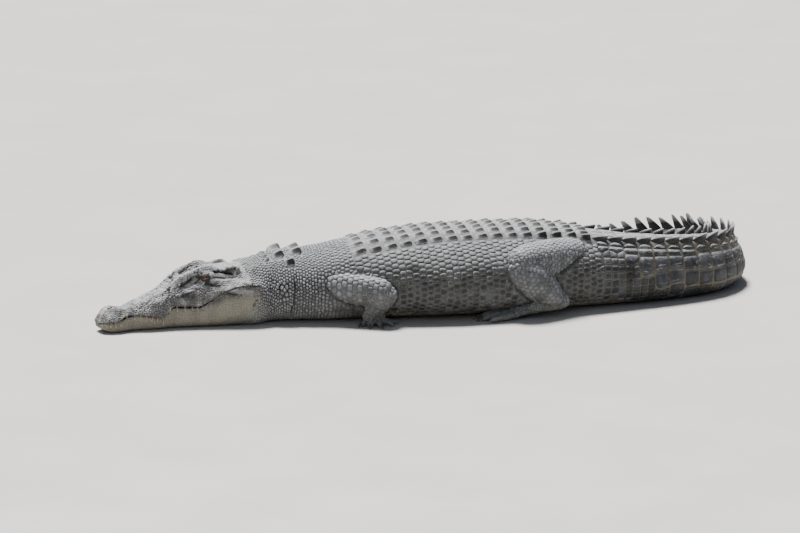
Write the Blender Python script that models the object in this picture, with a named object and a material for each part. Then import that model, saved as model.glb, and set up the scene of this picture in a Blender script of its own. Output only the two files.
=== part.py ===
"""A large saltwater crocodile (Crocodylus porosus) at life size, lying on its belly with its head
to the left, its body almost straight and its tail swung right round behind it. It is divided into
the parts that a person would name: head, lower jaw, eyes, neck, three lengths of trunk, five of
tail, and for each leg its upper length, lower length, foot and claws.

Everything is lofted from rings that run down the body. The keeled plates of the back and the
crests of the tail are part of those rings, so that the outline runs out to their tips. Metres, +Z up,
with the floor at z = 0 and the box's middle at x = y = 0. The head points to -X."""

import math

import bmesh
import bpy
import numpy as np

GAP = 0.0004  # between neighbours, so that no two parts touch
EYE_S, EYE_LAT, EYE_Z, EYE_R = 0.430, 0.0745, 0.1935, 0.0165
ORIGIN_X, ORIGIN_Y = 1.36133, 0.24771  # the box's middle, in the frame whose origin is the snout's tip
# ----------------------------------------------------------------------------------------------
# The animal's form, in metres. s runs along the body from the snout's tip; lat is sideways from
# the mid-line, positive to the animal's right; z is height above the floor.
# ----------------------------------------------------------------------------------------------
TOTAL_LENGTH = 4.00
HEAD_LENGTH = 0.56  # snout tip to the back of the cranial table
HEAD_END = 0.62  # where the head ring starts turning into the neck ring
NECK_RING = 0.74  # where it has become one
SHOULDER_S = 0.99
HIP_S = 1.975
BACK_ROW_0, BACK_PITCH, BACK_ROWS = 1.030, 0.0613, 16  # cross rows of plates on the back
TAIL_ROW_0, TAIL_ROWS, TAIL_PITCH_0, TAIL_PITCH_1 = 2.011, 38, 0.0605, 0.0432
DOUBLE_ROWS = 18  # tail rings with two crests; the rest have one


def smooth(*keys):
    """A monotone cubic through (station, value) pairs."""
    k = np.array(keys, float)
    x, y = k[:, 0], k[:, 1]
    h = np.diff(x)
    d = np.diff(y) / h
    m = np.zeros(len(x))
    for i in range(1, len(x) - 1):
        if d[i - 1] * d[i] > 0:
            a, b = 2 * h[i] + h[i - 1], h[i] + 2 * h[i - 1]
            m[i] = (a + b) / (a / d[i - 1] + b / d[i])
    m[0], m[-1] = d[0], d[-1]

    def value(s):
        s = np.clip(s, x[0], x[-1])
        i = np.clip(np.searchsorted(x, s, side="right") - 1, 0, len(h) - 1)
        t = (s - x[i]) / h[i]
        return (
            y[i] * (1 + 2 * t) * (1 - t) ** 2
            + h[i] * m[i] * t * (1 - t) ** 2
            + y[i + 1] * t * t * (3 - 2 * t)
            + h[i] * m[i + 1] * t * t * (t - 1)
        )

    return value


def step(a, b, x):
    t = np.clip((np.asarray(x, float) - a) / (b - a), 0, 1)
    return t * t * (3 - 2 * t)


# Heading of the body, snout to tail, in degrees from +X towards +Y
HEADING = smooth(
    (0, 10), (0.50, 10), (0.62, 6), (0.80, -7), (0.92, -6), (1.12, 0), (1.50, 0), (2.00, -1), (2.12, 0), (2.26, 4),
    (2.41, 15), (2.72, 72), (3.06, 140), (3.28, 173), (3.60, 181), (3.85, 178), (4.00, 172),
)
_S = np.linspace(0, TOTAL_LENGTH, 4001)
_H = np.radians(HEADING(_S))
_X = np.concatenate([[0], np.cumsum(0.001 * np.cos((_H[1:] + _H[:-1]) / 2))])
_Y = np.concatenate([[0], np.cumsum(0.001 * np.sin((_H[1:] + _H[:-1]) / 2))])
_X, _Y = _X - ORIGIN_X, _Y - ORIGIN_Y


def place(s, lat, z):
    """Body coordinates to the model's frame."""
    s, lat, z = np.broadcast_arrays(np.asarray(s, float), lat, z)
    over = s - np.clip(s, 0, TOTAL_LENGTH)  # straight on past either end
    h = np.radians(HEADING(s))
    x = np.interp(s, _S, _X) + over * np.cos(h) - lat * np.sin(h)
    y = np.interp(s, _S, _Y) + over * np.sin(h) + lat * np.cos(h)
    return np.stack([x, y, z], -1)


# Trunk, neck and tail: half width, top, bottom and the height of the widest place
HALF_WIDTH = smooth(
    (0.50, 0.150), (0.62, 0.163), (0.72, 0.166), (0.85, 0.180), (0.99, 0.205), (1.20, 0.250),
    (1.45, 0.285), (1.65, 0.280), (1.85, 0.240), (1.975, 0.208), (2.10, 0.180), (2.25, 0.152),
    (2.45, 0.122), (2.70, 0.100), (3.00, 0.078), (3.30, 0.057), (3.60, 0.038), (3.85, 0.022),
    (3.96, 0.013), (4.00, 0.007),
)
TOP = smooth(
    (0.50, 0.224), (0.60, 0.243), (0.70, 0.262), (0.85, 0.273), (0.99, 0.297), (1.20, 0.325),
    (1.45, 0.335), (1.70, 0.333), (1.90, 0.315), (2.05, 0.286), (2.20, 0.263), (2.40, 0.243),
    (2.60, 0.222), (2.80, 0.190), (3.00, 0.156), (3.25, 0.120), (3.50, 0.089), (3.75, 0.060),
    (3.92, 0.036), (4.00, 0.020),
)
BOTTOM = smooth((0.50, 0.0), (3.70, 0.0), (3.90, 0.0), (4.00, 0.0))
WIDEST = smooth((0.50, 0.48), (0.80, 0.44), (1.10, 0.42), (1.60, 0.40), (2.00, 0.42), (2.30, 0.40), (3.00, 0.38), (4.00, 0.45))
ROUND_TOP = smooth((0.50, 2.2), (0.90, 2.1), (1.20, 2.1), (1.90, 2.15), (2.20, 2.5), (2.60, 2.6), (3.20, 2.2), (4.00, 2.0))
ROUND_LOW = smooth((0.50, 2.5), (0.90, 2.35), (1.30, 2.3), (1.90, 2.35), (2.20, 2.4), (3.00, 2.4), (4.00, 2.0))
UPWARD_TAPER = smooth((0.50, 0.0), (1.95, 0.0), (2.15, 0.06), (2.50, 0.20), (3.00, 0.34), (4.00, 0.30))


def body_ring(s, grow=0.0, n=97):
    """Half ring, top to bottom, as (lat, z), of the trunk, neck or tail."""
    w, top, low = HALF_WIDTH(s) + grow, TOP(s) + grow, BOTTOM(s) - grow
    mid = low + (top - low) * WIDEST(s)
    a = np.linspace(0, np.pi, n)
    up = a <= np.pi / 2
    e_up, e_low = 2 / ROUND_TOP(s), 2 / ROUND_LOW(s)
    c, v = np.abs(np.cos(a)), np.abs(np.sin(a))
    lat = np.where(up, w * v**e_up, w * v**e_low)
    z = np.where(up, mid + (top - mid) * c**e_up, mid - (mid - low) * c**e_low)
    rise = np.clip((z - mid) / max(top - mid, 1e-6), 0, 1)
    lat = lat * (1 - UPWARD_TAPER(s) * rise**1.5)
    flat = 0.02 * (top - low)  # the underside rests on a real flat
    z = np.maximum(low, (z - low - flat) * (top - low) / (top - low - flat) + low)
    return np.stack([lat, z], -1)


# Head, by share of HEAD_LENGTH from the snout's tip.
def along_head(*keys):
    return smooth(*[(f * HEAD_LENGTH, v) for f, v in keys])


H_MID_TOP = along_head(
    (0, 0.052), (0.02, 0.074), (0.06, 0.092), (0.11, 0.098), (0.17, 0.093), (0.25, 0.106), (0.36, 0.126),
    (0.46, 0.144), (0.54, 0.166), (0.62, 0.187), (0.70, 0.198), (0.78, 0.204), (0.86, 0.218), (1.00, 0.223), (1.12, 0.235),
)
H_RIDGE_Z = along_head(
    (0, 0.050), (0.02, 0.070), (0.06, 0.088), (0.11, 0.096), (0.17, 0.093), (0.25, 0.106), (0.36, 0.128),
    (0.46, 0.149), (0.54, 0.179), (0.60, 0.204), (0.66, 0.218), (0.72, 0.233), (0.78, 0.245), (0.83, 0.241), (0.88, 0.226),
    (0.95, 0.228), (1.00, 0.229), (1.03, 0.216), (1.12, 0.227),
)
H_RIDGE_LAT = along_head(
    (0, 0.014), (0.02, 0.020), (0.06, 0.026), (0.11, 0.030), (0.17, 0.028), (0.30, 0.034), (0.45, 0.037),
    (0.60, 0.042), (0.70, 0.050), (0.79, 0.058), (0.88, 0.066), (0.97, 0.079), (1.03, 0.082), (1.12, 0.075),
)
H_VALLEY_Z = along_head(
    (0, 0.046), (0.02, 0.060), (0.06, 0.072), (0.11, 0.079), (0.17, 0.079), (0.25, 0.090), (0.36, 0.107),
    (0.46, 0.124), (0.54, 0.144), (0.62, 0.158), (0.70, 0.175), (0.79, 0.191), (0.88, 0.189), (1.00, 0.193), (1.12, 0.193),
)
H_VALLEY_LAT = along_head(
    (0, 0.024), (0.02, 0.036), (0.06, 0.046), (0.11, 0.049), (0.17, 0.042), (0.25, 0.050), (0.36, 0.058),
    (0.48, 0.062), (0.60, 0.070), (0.70, 0.079), (0.79, 0.086), (0.88, 0.090), (1.00, 0.100), (1.12, 0.115),
)
H_UPPER_W = along_head(
    (0, 0.030), (0.02, 0.047), (0.06, 0.060), (0.12, 0.064), (0.19, 0.052), (0.24, 0.057), (0.34, 0.076), (0.43, 0.082),
    (0.51, 0.079), (0.58, 0.086), (0.66, 0.098), (0.75, 0.112), (0.85, 0.130), (0.95, 0.146), (1.03, 0.155), (1.12, 0.162),
)
H_MOUTH_Z = along_head(
    (0, 0.040), (0.06, 0.040), (0.12, 0.042), (0.19, 0.062), (0.25, 0.064), (0.33, 0.060), (0.43, 0.043), (0.48, 0.066),
    (0.53, 0.087), (0.60, 0.086), (0.69, 0.084), (0.76, 0.100), (0.85, 0.124), (0.94, 0.146),
    (1.02, 0.152), (1.12, 0.152),
)
H_JAW_W = along_head(
    (0, 0.024), (0.02, 0.040), (0.06, 0.052), (0.11, 0.056), (0.19, 0.058), (0.26, 0.055), (0.34, 0.062), (0.43, 0.070),
    (0.50, 0.075), (0.58, 0.086), (0.66, 0.099), (0.75, 0.116), (0.85, 0.137), (0.95, 0.152), (1.03, 0.160), (1.12, 0.166),
)
H_LOW = along_head((0, 0.022), (0.02, 0.013), (0.05, 0.004), (0.09, 0.0), (1.12, 0.0))
MOUTH_V = 0.62  # share of the half ring, top to bottom, at which the mouth line runs
MOUTH_END = 1.02 * HEAD_LENGTH


def curve_through(points, n_each):
    """Smooth curve through points, n_each steps between neighbours (centripetal where spacing varies)."""
    p = np.asarray(points, float)
    q = np.vstack([2 * p[0] - p[1], p, 2 * p[-1] - p[-2]])
    out = []
    for i in range(1, len(q) - 2):
        p0, p1, p2, p3 = q[i - 1 : i + 3]
        d1, d2, d3 = (max(np.linalg.norm(b - a), 1e-9) ** 0.5 for a, b in ((p0, p1), (p1, p2), (p2, p3)))
        m1 = (p1 - p0) / d1 - (p2 - p0) / (d1 + d2) + (p2 - p1) / d2
        m2 = (p2 - p1) / d2 - (p3 - p1) / (d2 + d3) + (p3 - p2) / d3
        m1, m2 = m1 * d2, m2 * d2
        t = np.linspace(0, 1, n_each, endpoint=False)[:, None]
        out.append(
            p1 * (2 * t**3 - 3 * t**2 + 1) + m1 * (t**3 - 2 * t**2 + t) + p2 * (-2 * t**3 + 3 * t**2) + m2 * (t**3 - t**2)
        )
    return np.vstack(out + [p[-1:]])


def spaced(line, n):
    """n points evenly along a line."""
    d = np.concatenate([[0], np.cumsum(np.linalg.norm(np.diff(line, axis=0), axis=1))])
    t = np.linspace(0, d[-1], n)
    return np.stack([np.interp(t, d, line[:, k]) for k in range(line.shape[1])], -1)


def head_ring(s, n_up, n_low, grow=0.0, lip=0.0):
    """Half ring of the head, top to bottom: n_up points to the mouth line, then n_low below it."""
    top, rz, rl = H_MID_TOP(s), H_RIDGE_Z(s), H_RIDGE_LAT(s)
    vz, vl, uw, mz, jw, low = H_VALLEY_Z(s), H_VALLEY_LAT(s), H_UPPER_W(s), H_MOUTH_Z(s), H_JAW_W(s), H_LOW(s)
    lip_h = 0.010 + 0.006 * step(0.4, 0.9, s / HEAD_LENGTH)
    upper = [
        (0, top), (rl * 0.50, top + (rz - top) * 0.35), (rl * 0.92, rz), (rl + (vl - rl) * 0.45, vz + (rz - vz) * 0.55),
        (vl, vz), (vl + (uw - vl) * 0.72, vz + (mz - vz) * 0.42), (uw, mz + (vz - mz) * 0.32), (uw * 0.985, mz + lip_h * 0.6), (uw * 0.955, mz),
    ]
    jaw_h = mz - low
    lower = [
        (uw * 0.955, mz), (max(jw, uw * 0.93) * 0.985, mz - jaw_h * 0.16), (jw, mz - jaw_h * 0.42), (jw * 0.965, low + jaw_h * 0.26),
        (jw * 0.84, low + jaw_h * 0.07 + 0.001), (jw * 0.66, low), (jw * 0.33, low), (0, low),
    ]
    up = spaced(curve_through(upper, 8), n_up)
    dn = spaced(curve_through(lower, 8), n_low + 1)[1:]
    ring = np.vstack([up, dn])
    ring[:, 0] = np.maximum(ring[:, 0], 0)
    ring[:, 1] = np.maximum(ring[:, 1], low)
    if grow:
        ring = grown(ring, grow)
    return ring


def grown(ring, grow):
    """The half ring moved outwards by grow."""
    t = np.gradient(ring, axis=0)
    t[0], t[-1] = (1, 0), (-1, 0)
    n = np.stack([-t[:, 1], t[:, 0]], -1)
    n /= np.maximum(np.linalg.norm(n, axis=1, keepdims=True), 1e-9)
    out = ring + n * grow
    out[0, 0] = out[-1, 0] = 0
    return out


def half_ring(s, n_up, n_low, grow=0.0):
    """Half ring anywhere from snout to tail, n_up + n_low points, top to bottom."""
    n = n_up + n_low
    if s <= HEAD_END:
        return head_ring(s, n_up, n_low, grow)
    line = body_ring(s, grow)
    d = np.concatenate([[0], np.cumsum(np.linalg.norm(np.diff(line, axis=0), axis=1))])
    v = np.concatenate([np.linspace(0, MOUTH_V, n_up), np.linspace(MOUTH_V, 1, n_low + 1)[1:]])
    body = np.stack([np.interp(v * d[-1], d, line[:, k]) for k in (0, 1)], -1)
    if s >= NECK_RING:
        return body
    w = step(HEAD_END, NECK_RING, s)
    return head_ring(s, n_up, n_low, grow) * (1 - w) + body * w


# Crests of the back and tail: where each lengthways row runs and how tall its keels are
ROW_LATS = (0.026, 0.079, 0.131)  # three rows a side over the back
CREST_LAT = smooth((1.00, 0.118), (1.20, 0.131), (1.80, 0.126), (2.00, 0.104), (2.30, 0.074), (2.60, 0.052), (2.90, 0.027), (3.04, 0.010), (3.10, 0.0), (4.0, 0.0))
CREST_TALL = smooth(
    (1.00, 0.011), (1.30, 0.014), (1.70, 0.016), (1.84, 0.026), (2.10, 0.027), (2.35, 0.031), (2.60, 0.045),
    (2.85, 0.056), (3.05, 0.062), (3.20, 0.066), (3.40, 0.060), (3.65, 0.045), (3.85, 0.027), (3.98, 0.010),
)
INNER_TALL = smooth((1.00, 0.010), (1.40, 0.014), (1.90, 0.014), (2.10, 0.008), (2.40, 0.0), (4.0, 0.0))


def tail_rows():
    """Start and length of each tail ring."""
    pitch = np.linspace(TAIL_PITCH_0, TAIL_PITCH_1, TAIL_ROWS)
    pitch *= (TOTAL_LENGTH - 0.020 - TAIL_ROW_0) / pitch.sum()
    start = TAIL_ROW_0 + np.concatenate([[0], np.cumsum(pitch)[:-1]])
    return start, pitch


def back_rows():
    return BACK_ROW_0 + BACK_PITCH * np.arange(BACK_ROWS), np.full(BACK_ROWS, BACK_PITCH)


# Nape: four big plates in a square, with a smaller one outside each pair: (s, lat, length, width, height)
NAPE = (
    (0.752, 0.056, 0.066, 0.060, 0.027), (0.824, 0.046, 0.064, 0.056, 0.024), (0.795, 0.104, 0.052, 0.046, 0.020),
)
# ----------------------------------------------------------------------------------------------
# Limbs. Points are (forward, outward, up) from the mid-line at the shoulder or hip station.
# ----------------------------------------------------------------------------------------------
FORE_JOINTS = ((0.045, 0.140, 0.144), (-0.156, 0.246, 0.136), (-0.118, 0.206, 0.054), (-0.120, 0.198, 0.026))
HIND_JOINTS = ((0.030, 0.110, 0.200), (0.298, 0.246, 0.210), (0.138, 0.246, 0.062), (0.325, 0.226, 0.028))


def limb_place(station, side, p):
    """side is +1 for the animal's right, -1 for its left."""
    p = np.asarray(p, float)
    h = math.radians(float(HEADING(station)))
    base = place(station, 0.0, 0.0)
    fwd = -np.array([math.cos(h), math.sin(h), 0.0])
    out = side * np.array([-math.sin(h), math.cos(h), 0.0])
    return base + p[..., :1] * fwd + p[..., 1:2] * out + p[..., 2:3] * np.array([0.0, 0.0, 1.0])


# A limb's flesh is three tapering lengths: two ends, the direction its depth lies along, then (share, half width, half depth)
def fore_lengths():
    sh, el, wr, hand = (np.array(p) for p in FORE_JOINTS)
    return {
        "upper": (sh, el + (el - sh) * 0.12, (0.0, 0.2, 1.0), ((0, 0.052, 0.068), (0.40, 0.050, 0.065), (0.78, 0.047, 0.059), (0.94, 0.040, 0.048), (1, 0.022, 0.026))),
        "lower": (el + (el - wr) * 0.26, wr, (0.5, 0.5, 0.6), ((0, 0.026, 0.032), (0.10, 0.041, 0.052), (0.38, 0.046, 0.058), (0.72, 0.040, 0.051), (1, 0.034, 0.045))),
        "hand": (wr + (wr - hand) * 0.30, hand + (hand - wr) * 0.10, (1.0, 0.0, 0.0), ((0, 0.028, 0.034), (0.35, 0.030, 0.042), (0.75, 0.024, 0.048), (1, 0.016, 0.046))),
    }


def hind_lengths():
    hip, kn, an, ball = (np.array(p) for p in HIND_JOINTS)
    return {
        "upper": (hip, kn + (kn - hip) * 0.14, (-0.3, 0.0, 1.0), ((0, 0.066, 0.088), (0.35, 0.072, 0.096), (0.72, 0.068, 0.092), (0.94, 0.054, 0.070), (1, 0.028, 0.036))),
        "lower": (kn + (kn - an) * 0.16, an, (0.5, 0.5, 0.7), ((0, 0.044, 0.040), (0.08, 0.064, 0.056), (0.36, 0.078, 0.067), (0.72, 0.064, 0.056), (1, 0.044, 0.042))),
        "foot": (an + (an - ball) * 0.22, ball, (0.0, 0.3, 1.0), ((0, 0.022, 0.024), (0.12, 0.034, 0.034), (0.50, 0.036, 0.026), (0.85, 0.044, 0.020), (1, 0.046, 0.017))),
    }


# Toes: direction from straight out (fore) or straight ahead (hind), degrees, + is backward or outward; length; half width; has a claw
FORE_TOES = ((-42, 0.076, 0.0132, True), (-16, 0.090, 0.0135, True), (10, 0.095, 0.0132, True), (40, 0.095, 0.0120, False), (68, 0.090, 0.0112, False))
HIND_TOES = ((-3, 0.124, 0.0168, True), (3, 0.150, 0.0172, True), (10, 0.154, 0.0166, True), (18, 0.136, 0.0140, False))


def toe_line(kind, k):
    """(points, half widths, half heights) along one toe from inside the foot to its tip, in limb coordinates."""
    if kind == "fore":
        wr, hand = (np.array(p) for p in FORE_JOINTS[2:])
        deg, length, wide, _ = FORE_TOES[k]
        a = math.radians(deg)
        d = np.array([-math.sin(a), math.cos(a), 0.0])
        start = hand + np.array([-math.sin(a) * 0.018, math.cos(a) * 0.006 - 0.012, 0.0])
    else:
        an, ball = (np.array(p) for p in HIND_JOINTS[2:])
        deg, length, wide, _ = HIND_TOES[k]
        a = math.radians(deg)
        d = np.array([math.cos(a), math.sin(a), 0.0])
        start = ball + np.array([-0.020, (k - 1.5) * 0.021, 0.0])
    t = np.array([0.0, 0.42, 0.80, 0.97])
    pts = start + d * (t[:, None] * length)
    high = wide * np.array([1.15, 1.00, 0.84, 0.46])
    pts[:, 2] = high + np.array([0.004, 0.002, 0.0, 0.0])
    return pts, wide * np.array([1.40, 1.12, 0.94, 0.48]), high


def claw_line(kind, k):
    pts, wide, high = toe_line(kind, k)
    d = (pts[-1] - pts[-2]) / np.linalg.norm(pts[-1] - pts[-2])
    tip = pts[-1]
    base = tip - d * 0.008 + np.array([0, 0, 0.004])
    t = np.array([0.0, 0.5, 1.0])
    length = 0.034 if kind == "hind" else 0.028
    line = base + d * (t[:, None] * length)
    r = np.array([0.0072, 0.0058, 0.0010])
    line[:, 2] = np.maximum(base[2] * (1 - t**2) + 0.0012, r + 0.0002)
    return line, r
# ----------------------------------------------------------------------------------------------
# Making meshes
# ----------------------------------------------------------------------------------------------
for leftover in list(bpy.data.objects):
    bpy.data.objects.remove(leftover, do_unlink=True)


def finish(name, colour, roughness):
    m = bpy.data.materials.new(name)
    m.use_nodes = True
    shader = m.node_tree.nodes["Principled BSDF"]
    shader.inputs["Base Color"].default_value = (*colour, 1)
    shader.inputs["Roughness"].default_value = roughness
    shader.inputs["Metallic"].default_value = 0.0
    return m


HIDE = finish("hide", (0.21, 0.21, 0.19), 0.62)
PALE_HIDE = finish("pale_hide", (0.42, 0.39, 0.31), 0.58)
EYE = finish("eye", (0.10, 0.07, 0.02), 0.08)
CLAW = finish("claw", (0.06, 0.05, 0.04), 0.40)


def make(name, points, faces, material):
    mesh = bpy.data.meshes.new(name)
    mesh.from_pydata([tuple(map(float, p)) for p in points], [], [tuple(map(int, f)) for f in faces])
    bm = bmesh.new()
    bm.from_mesh(mesh)
    bmesh.ops.remove_doubles(bm, verts=bm.verts, dist=1e-6)
    bmesh.ops.triangulate(bm, faces=bm.faces)
    bmesh.ops.recalc_face_normals(bm, faces=bm.faces)
    if bm.calc_volume(signed=True) < 0:
        bmesh.ops.reverse_faces(bm, faces=bm.faces)
    bm.to_mesh(mesh)
    bm.free()
    mesh.materials.append(material)
    obj = bpy.data.objects.new(name, mesh)
    bpy.context.scene.collection.objects.link(obj)
    return obj


def loft(rings):
    """Points and faces of a closed body through rings of equal count, capped by fans at both ends."""
    n = len(rings[0])
    points = [p for ring in rings for p in ring]
    faces = []
    for i in range(len(rings) - 1):
        for j in range(n):
            a, b = i * n + j, i * n + (j + 1) % n
            faces += [(a, b, b + n), (a, b + n, a + n)]
    for i, turn in ((0, False), (len(rings) - 1, True)):
        points.append(np.mean(rings[i], axis=0))
        c = len(points) - 1
        for j in range(n):
            a, b = i * n + j, i * n + (j + 1) % n
            faces.append((c, a, b) if turn else (c, b, a))
    return points, faces


def join(pieces):
    points, faces = [], []
    for p, f in pieces:
        base = len(points)
        points += list(p)
        faces += [tuple(base + k for k in face) for face in f]
    return points, faces


def whole_ring(s, half):
    """Closed ring in the model's frame from a half ring of (lat, z), top to bottom."""
    half = np.asarray(half)
    lat = np.concatenate([half[:, 0], -half[-2:0:-1, 0]])
    z = np.concatenate([half[:, 1], half[-2:0:-1, 1]])
    return place(s, lat, z)


def change(obj, other, operation):
    """Union with or difference from another object, worked out at once; the other one is removed."""
    m = obj.modifiers.new(operation.lower(), "BOOLEAN")
    m.object, m.operation, m.solver = other, operation, "EXACT"
    bpy.context.view_layer.update()
    graph = bpy.context.evaluated_depsgraph_get()
    mesh = bpy.data.meshes.new_from_object(obj.evaluated_get(graph))
    material = obj.data.materials[0]
    obj.modifiers.clear()
    obj.data = mesh
    mesh.materials.clear()
    mesh.materials.append(material)
    bm = bmesh.new()
    bm.from_mesh(mesh)
    for f in bm.faces:
        f.material_index = 0
    bmesh.ops.remove_doubles(bm, verts=bm.verts, dist=1e-6)
    bmesh.ops.triangulate(bm, faces=bm.faces)
    bm.to_mesh(mesh)
    bm.free()
    bpy.data.objects.remove(other, do_unlink=True)


def keep_largest(obj):
    """Drops slivers that a cut left loose."""
    bm = bmesh.new()
    bm.from_mesh(obj.data)
    left, shells = set(bm.verts), []
    while left:
        shell, todo = set(), [left.pop()]
        while todo:
            v = todo.pop()
            shell.add(v)
            for e in v.link_edges:
                w = e.other_vert(v)
                if w in left:
                    left.discard(w)
                    todo.append(w)
        shells.append(shell)
    shells.sort(key=len)
    bmesh.ops.delete(bm, geom=[v for shell in shells[:-1] for v in shell], context="VERTS")
    bm.to_mesh(obj.data)
    bm.free()


# ----------------------------------------------------------------------------------------------
# Trunk, neck and tail
# ----------------------------------------------------------------------------------------------
def along(line, shares):
    d = np.concatenate([[0], np.cumsum(np.linalg.norm(np.diff(line, axis=0), axis=1))])
    return np.stack([np.interp(np.asarray(shares) * d[-1], d, line[:, k]) for k in (0, 1)], -1)


def columns(s, lats, lower, grow=0.0):
    """Half ring with points over the given lats on top and `lower` more down to the belly."""
    line = body_ring(s, grow)
    d = np.concatenate([[0], np.cumsum(np.linalg.norm(np.diff(line, axis=0), axis=1))])
    widest = int(np.argmax(line[:, 0]))
    at = np.interp(lats, line[: widest + 1, 0], d[: widest + 1])
    rest = at[-1] + (d[-1] - at[-1]) * np.linspace(0, 1, lower + 1)[1:]
    return along(line, np.concatenate([at, rest]) / d[-1])


def raised(half, index, height):
    """The half ring with one point lifted along the ring's own outward direction."""
    half = half.copy()
    a, b = half[max(index - 1, 0)], half[index + 1]
    t = (b - a) / np.linalg.norm(b - a)
    n = np.array([-t[1], t[0]])
    if index == 0:
        n = np.array([0.0, 1.0])
    half[index] += n * height
    return half


def trunk_half(s, peak, grow=0.0):
    """peak is 0 between plates and 1 at a keel's tip."""
    k = CREST_LAT(s) / 0.131
    lats = np.array([0.0, 0.026, 0.0525, 0.079, 0.105, 0.131, 0.160]) * k
    half = columns(s, lats, 5, grow)
    for index, height in ((1, INNER_TALL(s)), (3, INNER_TALL(s)), (5, CREST_TALL(s))):
        half = raised(half, index, float(height) * (0.25 + 0.75 * peak))
    return half


def double_half(s, peak, grow=0.0):
    c, b = float(CREST_LAT(s)), float(min(0.013, CREST_LAT(s) * 0.48))
    half = columns(s, np.array([0.0, c - b, c, c + b]), 4, grow)
    return raised(half, 2, float(CREST_TALL(s)) * (0.30 + 0.70 * peak))


def single_half(s, peak, grow=0.0):
    b = 0.010 * min(1.0, float(HALF_WIDTH(s)) / 0.03)
    half = columns(s, np.array([0.0, b]), 3, grow)
    return raised(half, 0, float(CREST_TALL(s)) * (0.25 + 0.75 * peak))


def rows_between(start, pitch, a, b):
    """Ring stations from a to b, two for each row of plates: (s, peak)."""
    out = [(a, 0.0)]
    for s0, p in zip(start, pitch):
        for s, peak in ((s0, 0.0), (s0 + 0.72 * p, 1.0)):
            if a + 0.25 * p < s < b - 0.2 * p:
                out.append((s, peak))
    out.append((b, 0.0))
    return out


def lengths(name, half, stations, material, grow=0.0):
    rings = [whole_ring(s, half(s, peak, grow)) for s, peak in stations]
    return make(name, *loft(rings), material)


B_START, B_PITCH = back_rows()
T_START, T_PITCH = tail_rows()
NECK_END = B_START[0] - 0.012
ROWS_START = np.concatenate([B_START, T_START])
ROWS_PITCH = np.concatenate([B_PITCH, T_PITCH])
CUTS = [NECK_END, B_START[5], B_START[11], T_START[1]]
TRUNK = [("trunk_front", CUTS[0], CUTS[1]), ("trunk_middle", CUTS[1], CUTS[2]), ("trunk_rear", CUTS[2], CUTS[3])]
TAIL = [
    ("tail_1", CUTS[3], T_START[7], double_half), ("tail_2", T_START[7], T_START[13], double_half),
    ("tail_3", T_START[13], T_START[18], double_half), ("tail_4", T_START[18], T_START[26], single_half),
    ("tail_5", T_START[26], TOTAL_LENGTH - 0.002, single_half),
]
bodies = {}
for name, a, b in TRUNK:
    st = rows_between(ROWS_START, ROWS_PITCH, a + GAP / 2, b - GAP / 2)
    bodies[name] = lengths(name, trunk_half, st, HIDE)
for name, a, b, half in TAIL:
    st = rows_between(T_START, T_PITCH, a + GAP / 2, b - GAP / 2)
    bodies[name] = lengths(name, half, st, HIDE)

# Neck: from the head's end to the first row of plates
HEAD_CUT = 0.602


def neck_half(s, _peak, grow=0.0):
    return half_ring(s, 7, 5, grow)


neck_stations = [(s, 0.0) for s in np.concatenate([[HEAD_CUT + GAP / 2], np.linspace(0.640, 0.985, 9), [NECK_END - GAP / 2]])]
neck = bodies["neck"] = lengths("neck", neck_half, neck_stations, HIDE)


def top_at(s, lat):
    line = neck_half(s, 0) if s > HEAD_END else half_ring(s, 8, 5)
    widest = int(np.argmax(line[:, 0]))
    return float(np.interp(abs(lat), line[: widest + 1, 0], line[: widest + 1, 1]))


def plate(s, lat, length, width, height):
    """A keeled plate of the nape: a six-sided base below the hide and a ridge above it."""
    base = [(-0.5, 0.0), (-0.28, -0.46), (0.30, -0.46), (0.5, 0.0), (0.30, 0.46), (-0.28, 0.46)]
    low = [place(s + u * length, lat + v * width, top_at(s + u * length, lat + v * width) - 0.006) for u, v in base]
    rim = [place(s + u * length, lat + v * width, top_at(s + u * length, lat + v * width) + 0.0035) for u, v in base]
    ridge = [place(s + u * length, lat, top_at(s + u * length, lat) + h * height) for u, h in ((-0.26, 0.62), (0.06, 1.0), (0.30, 0.86))]
    points = low + rim + ridge + [np.mean(low, axis=0)]
    f = []
    for j in range(6):
        k = (j + 1) % 6
        f += [(j, k, 6 + k), (j, 6 + k, 6 + j), (15, k, j)]
    f += [(6, 7, 12), (7, 13, 12), (7, 8, 13), (8, 14, 13), (8, 9, 14), (9, 10, 14), (10, 13, 14), (10, 11, 13), (11, 12, 13), (11, 6, 12)]
    return points, f


plates = [plate(s, side * lat, length, width, height) for s, lat, length, width, height in NAPE for side in (1, -1)]
for k, one in enumerate(plates):
    change(neck, make(f"plate{k}", *one, HIDE), "UNION")

# ----------------------------------------------------------------------------------------------
# Head and lower jaw
# ----------------------------------------------------------------------------------------------
N_UP, N_LOW = 9, 5
STATIONS = np.array([0.004, 0.02, 0.06, 0.12, 0.16, 0.19, 0.24, 0.33, 0.38, 0.43, 0.485, 0.53, 0.59, 0.66, 0.72, 0.76, 0.80, 0.84, 0.89, 0.95, 1.0, 1.03]) * HEAD_LENGTH
STATIONS = np.concatenate([STATIONS, [HEAD_CUT - GAP / 2]])
upper_rings, lower_rings = [], []
for s in STATIONS:
    half = half_ring(float(s), N_UP, N_LOW)
    up = half[:N_UP]
    low = half[N_UP - 1 :].copy()
    low[0, 1] -= GAP
    upper_rings.append(place(s, np.concatenate([up[:, 0], -up[::-1][:-1, 0]]), np.concatenate([up[:, 1], up[::-1][:-1, 1]])))
    lower_rings.append(place(s, np.concatenate([low[:, 0], -low[::-1][1:, 0]]), np.concatenate([low[:, 1], low[::-1][1:, 1]])))
head = make("head", *loft(upper_rings), HIDE)
jaw = make("lower_jaw", *loft(lower_rings), PALE_HIDE)

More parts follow.
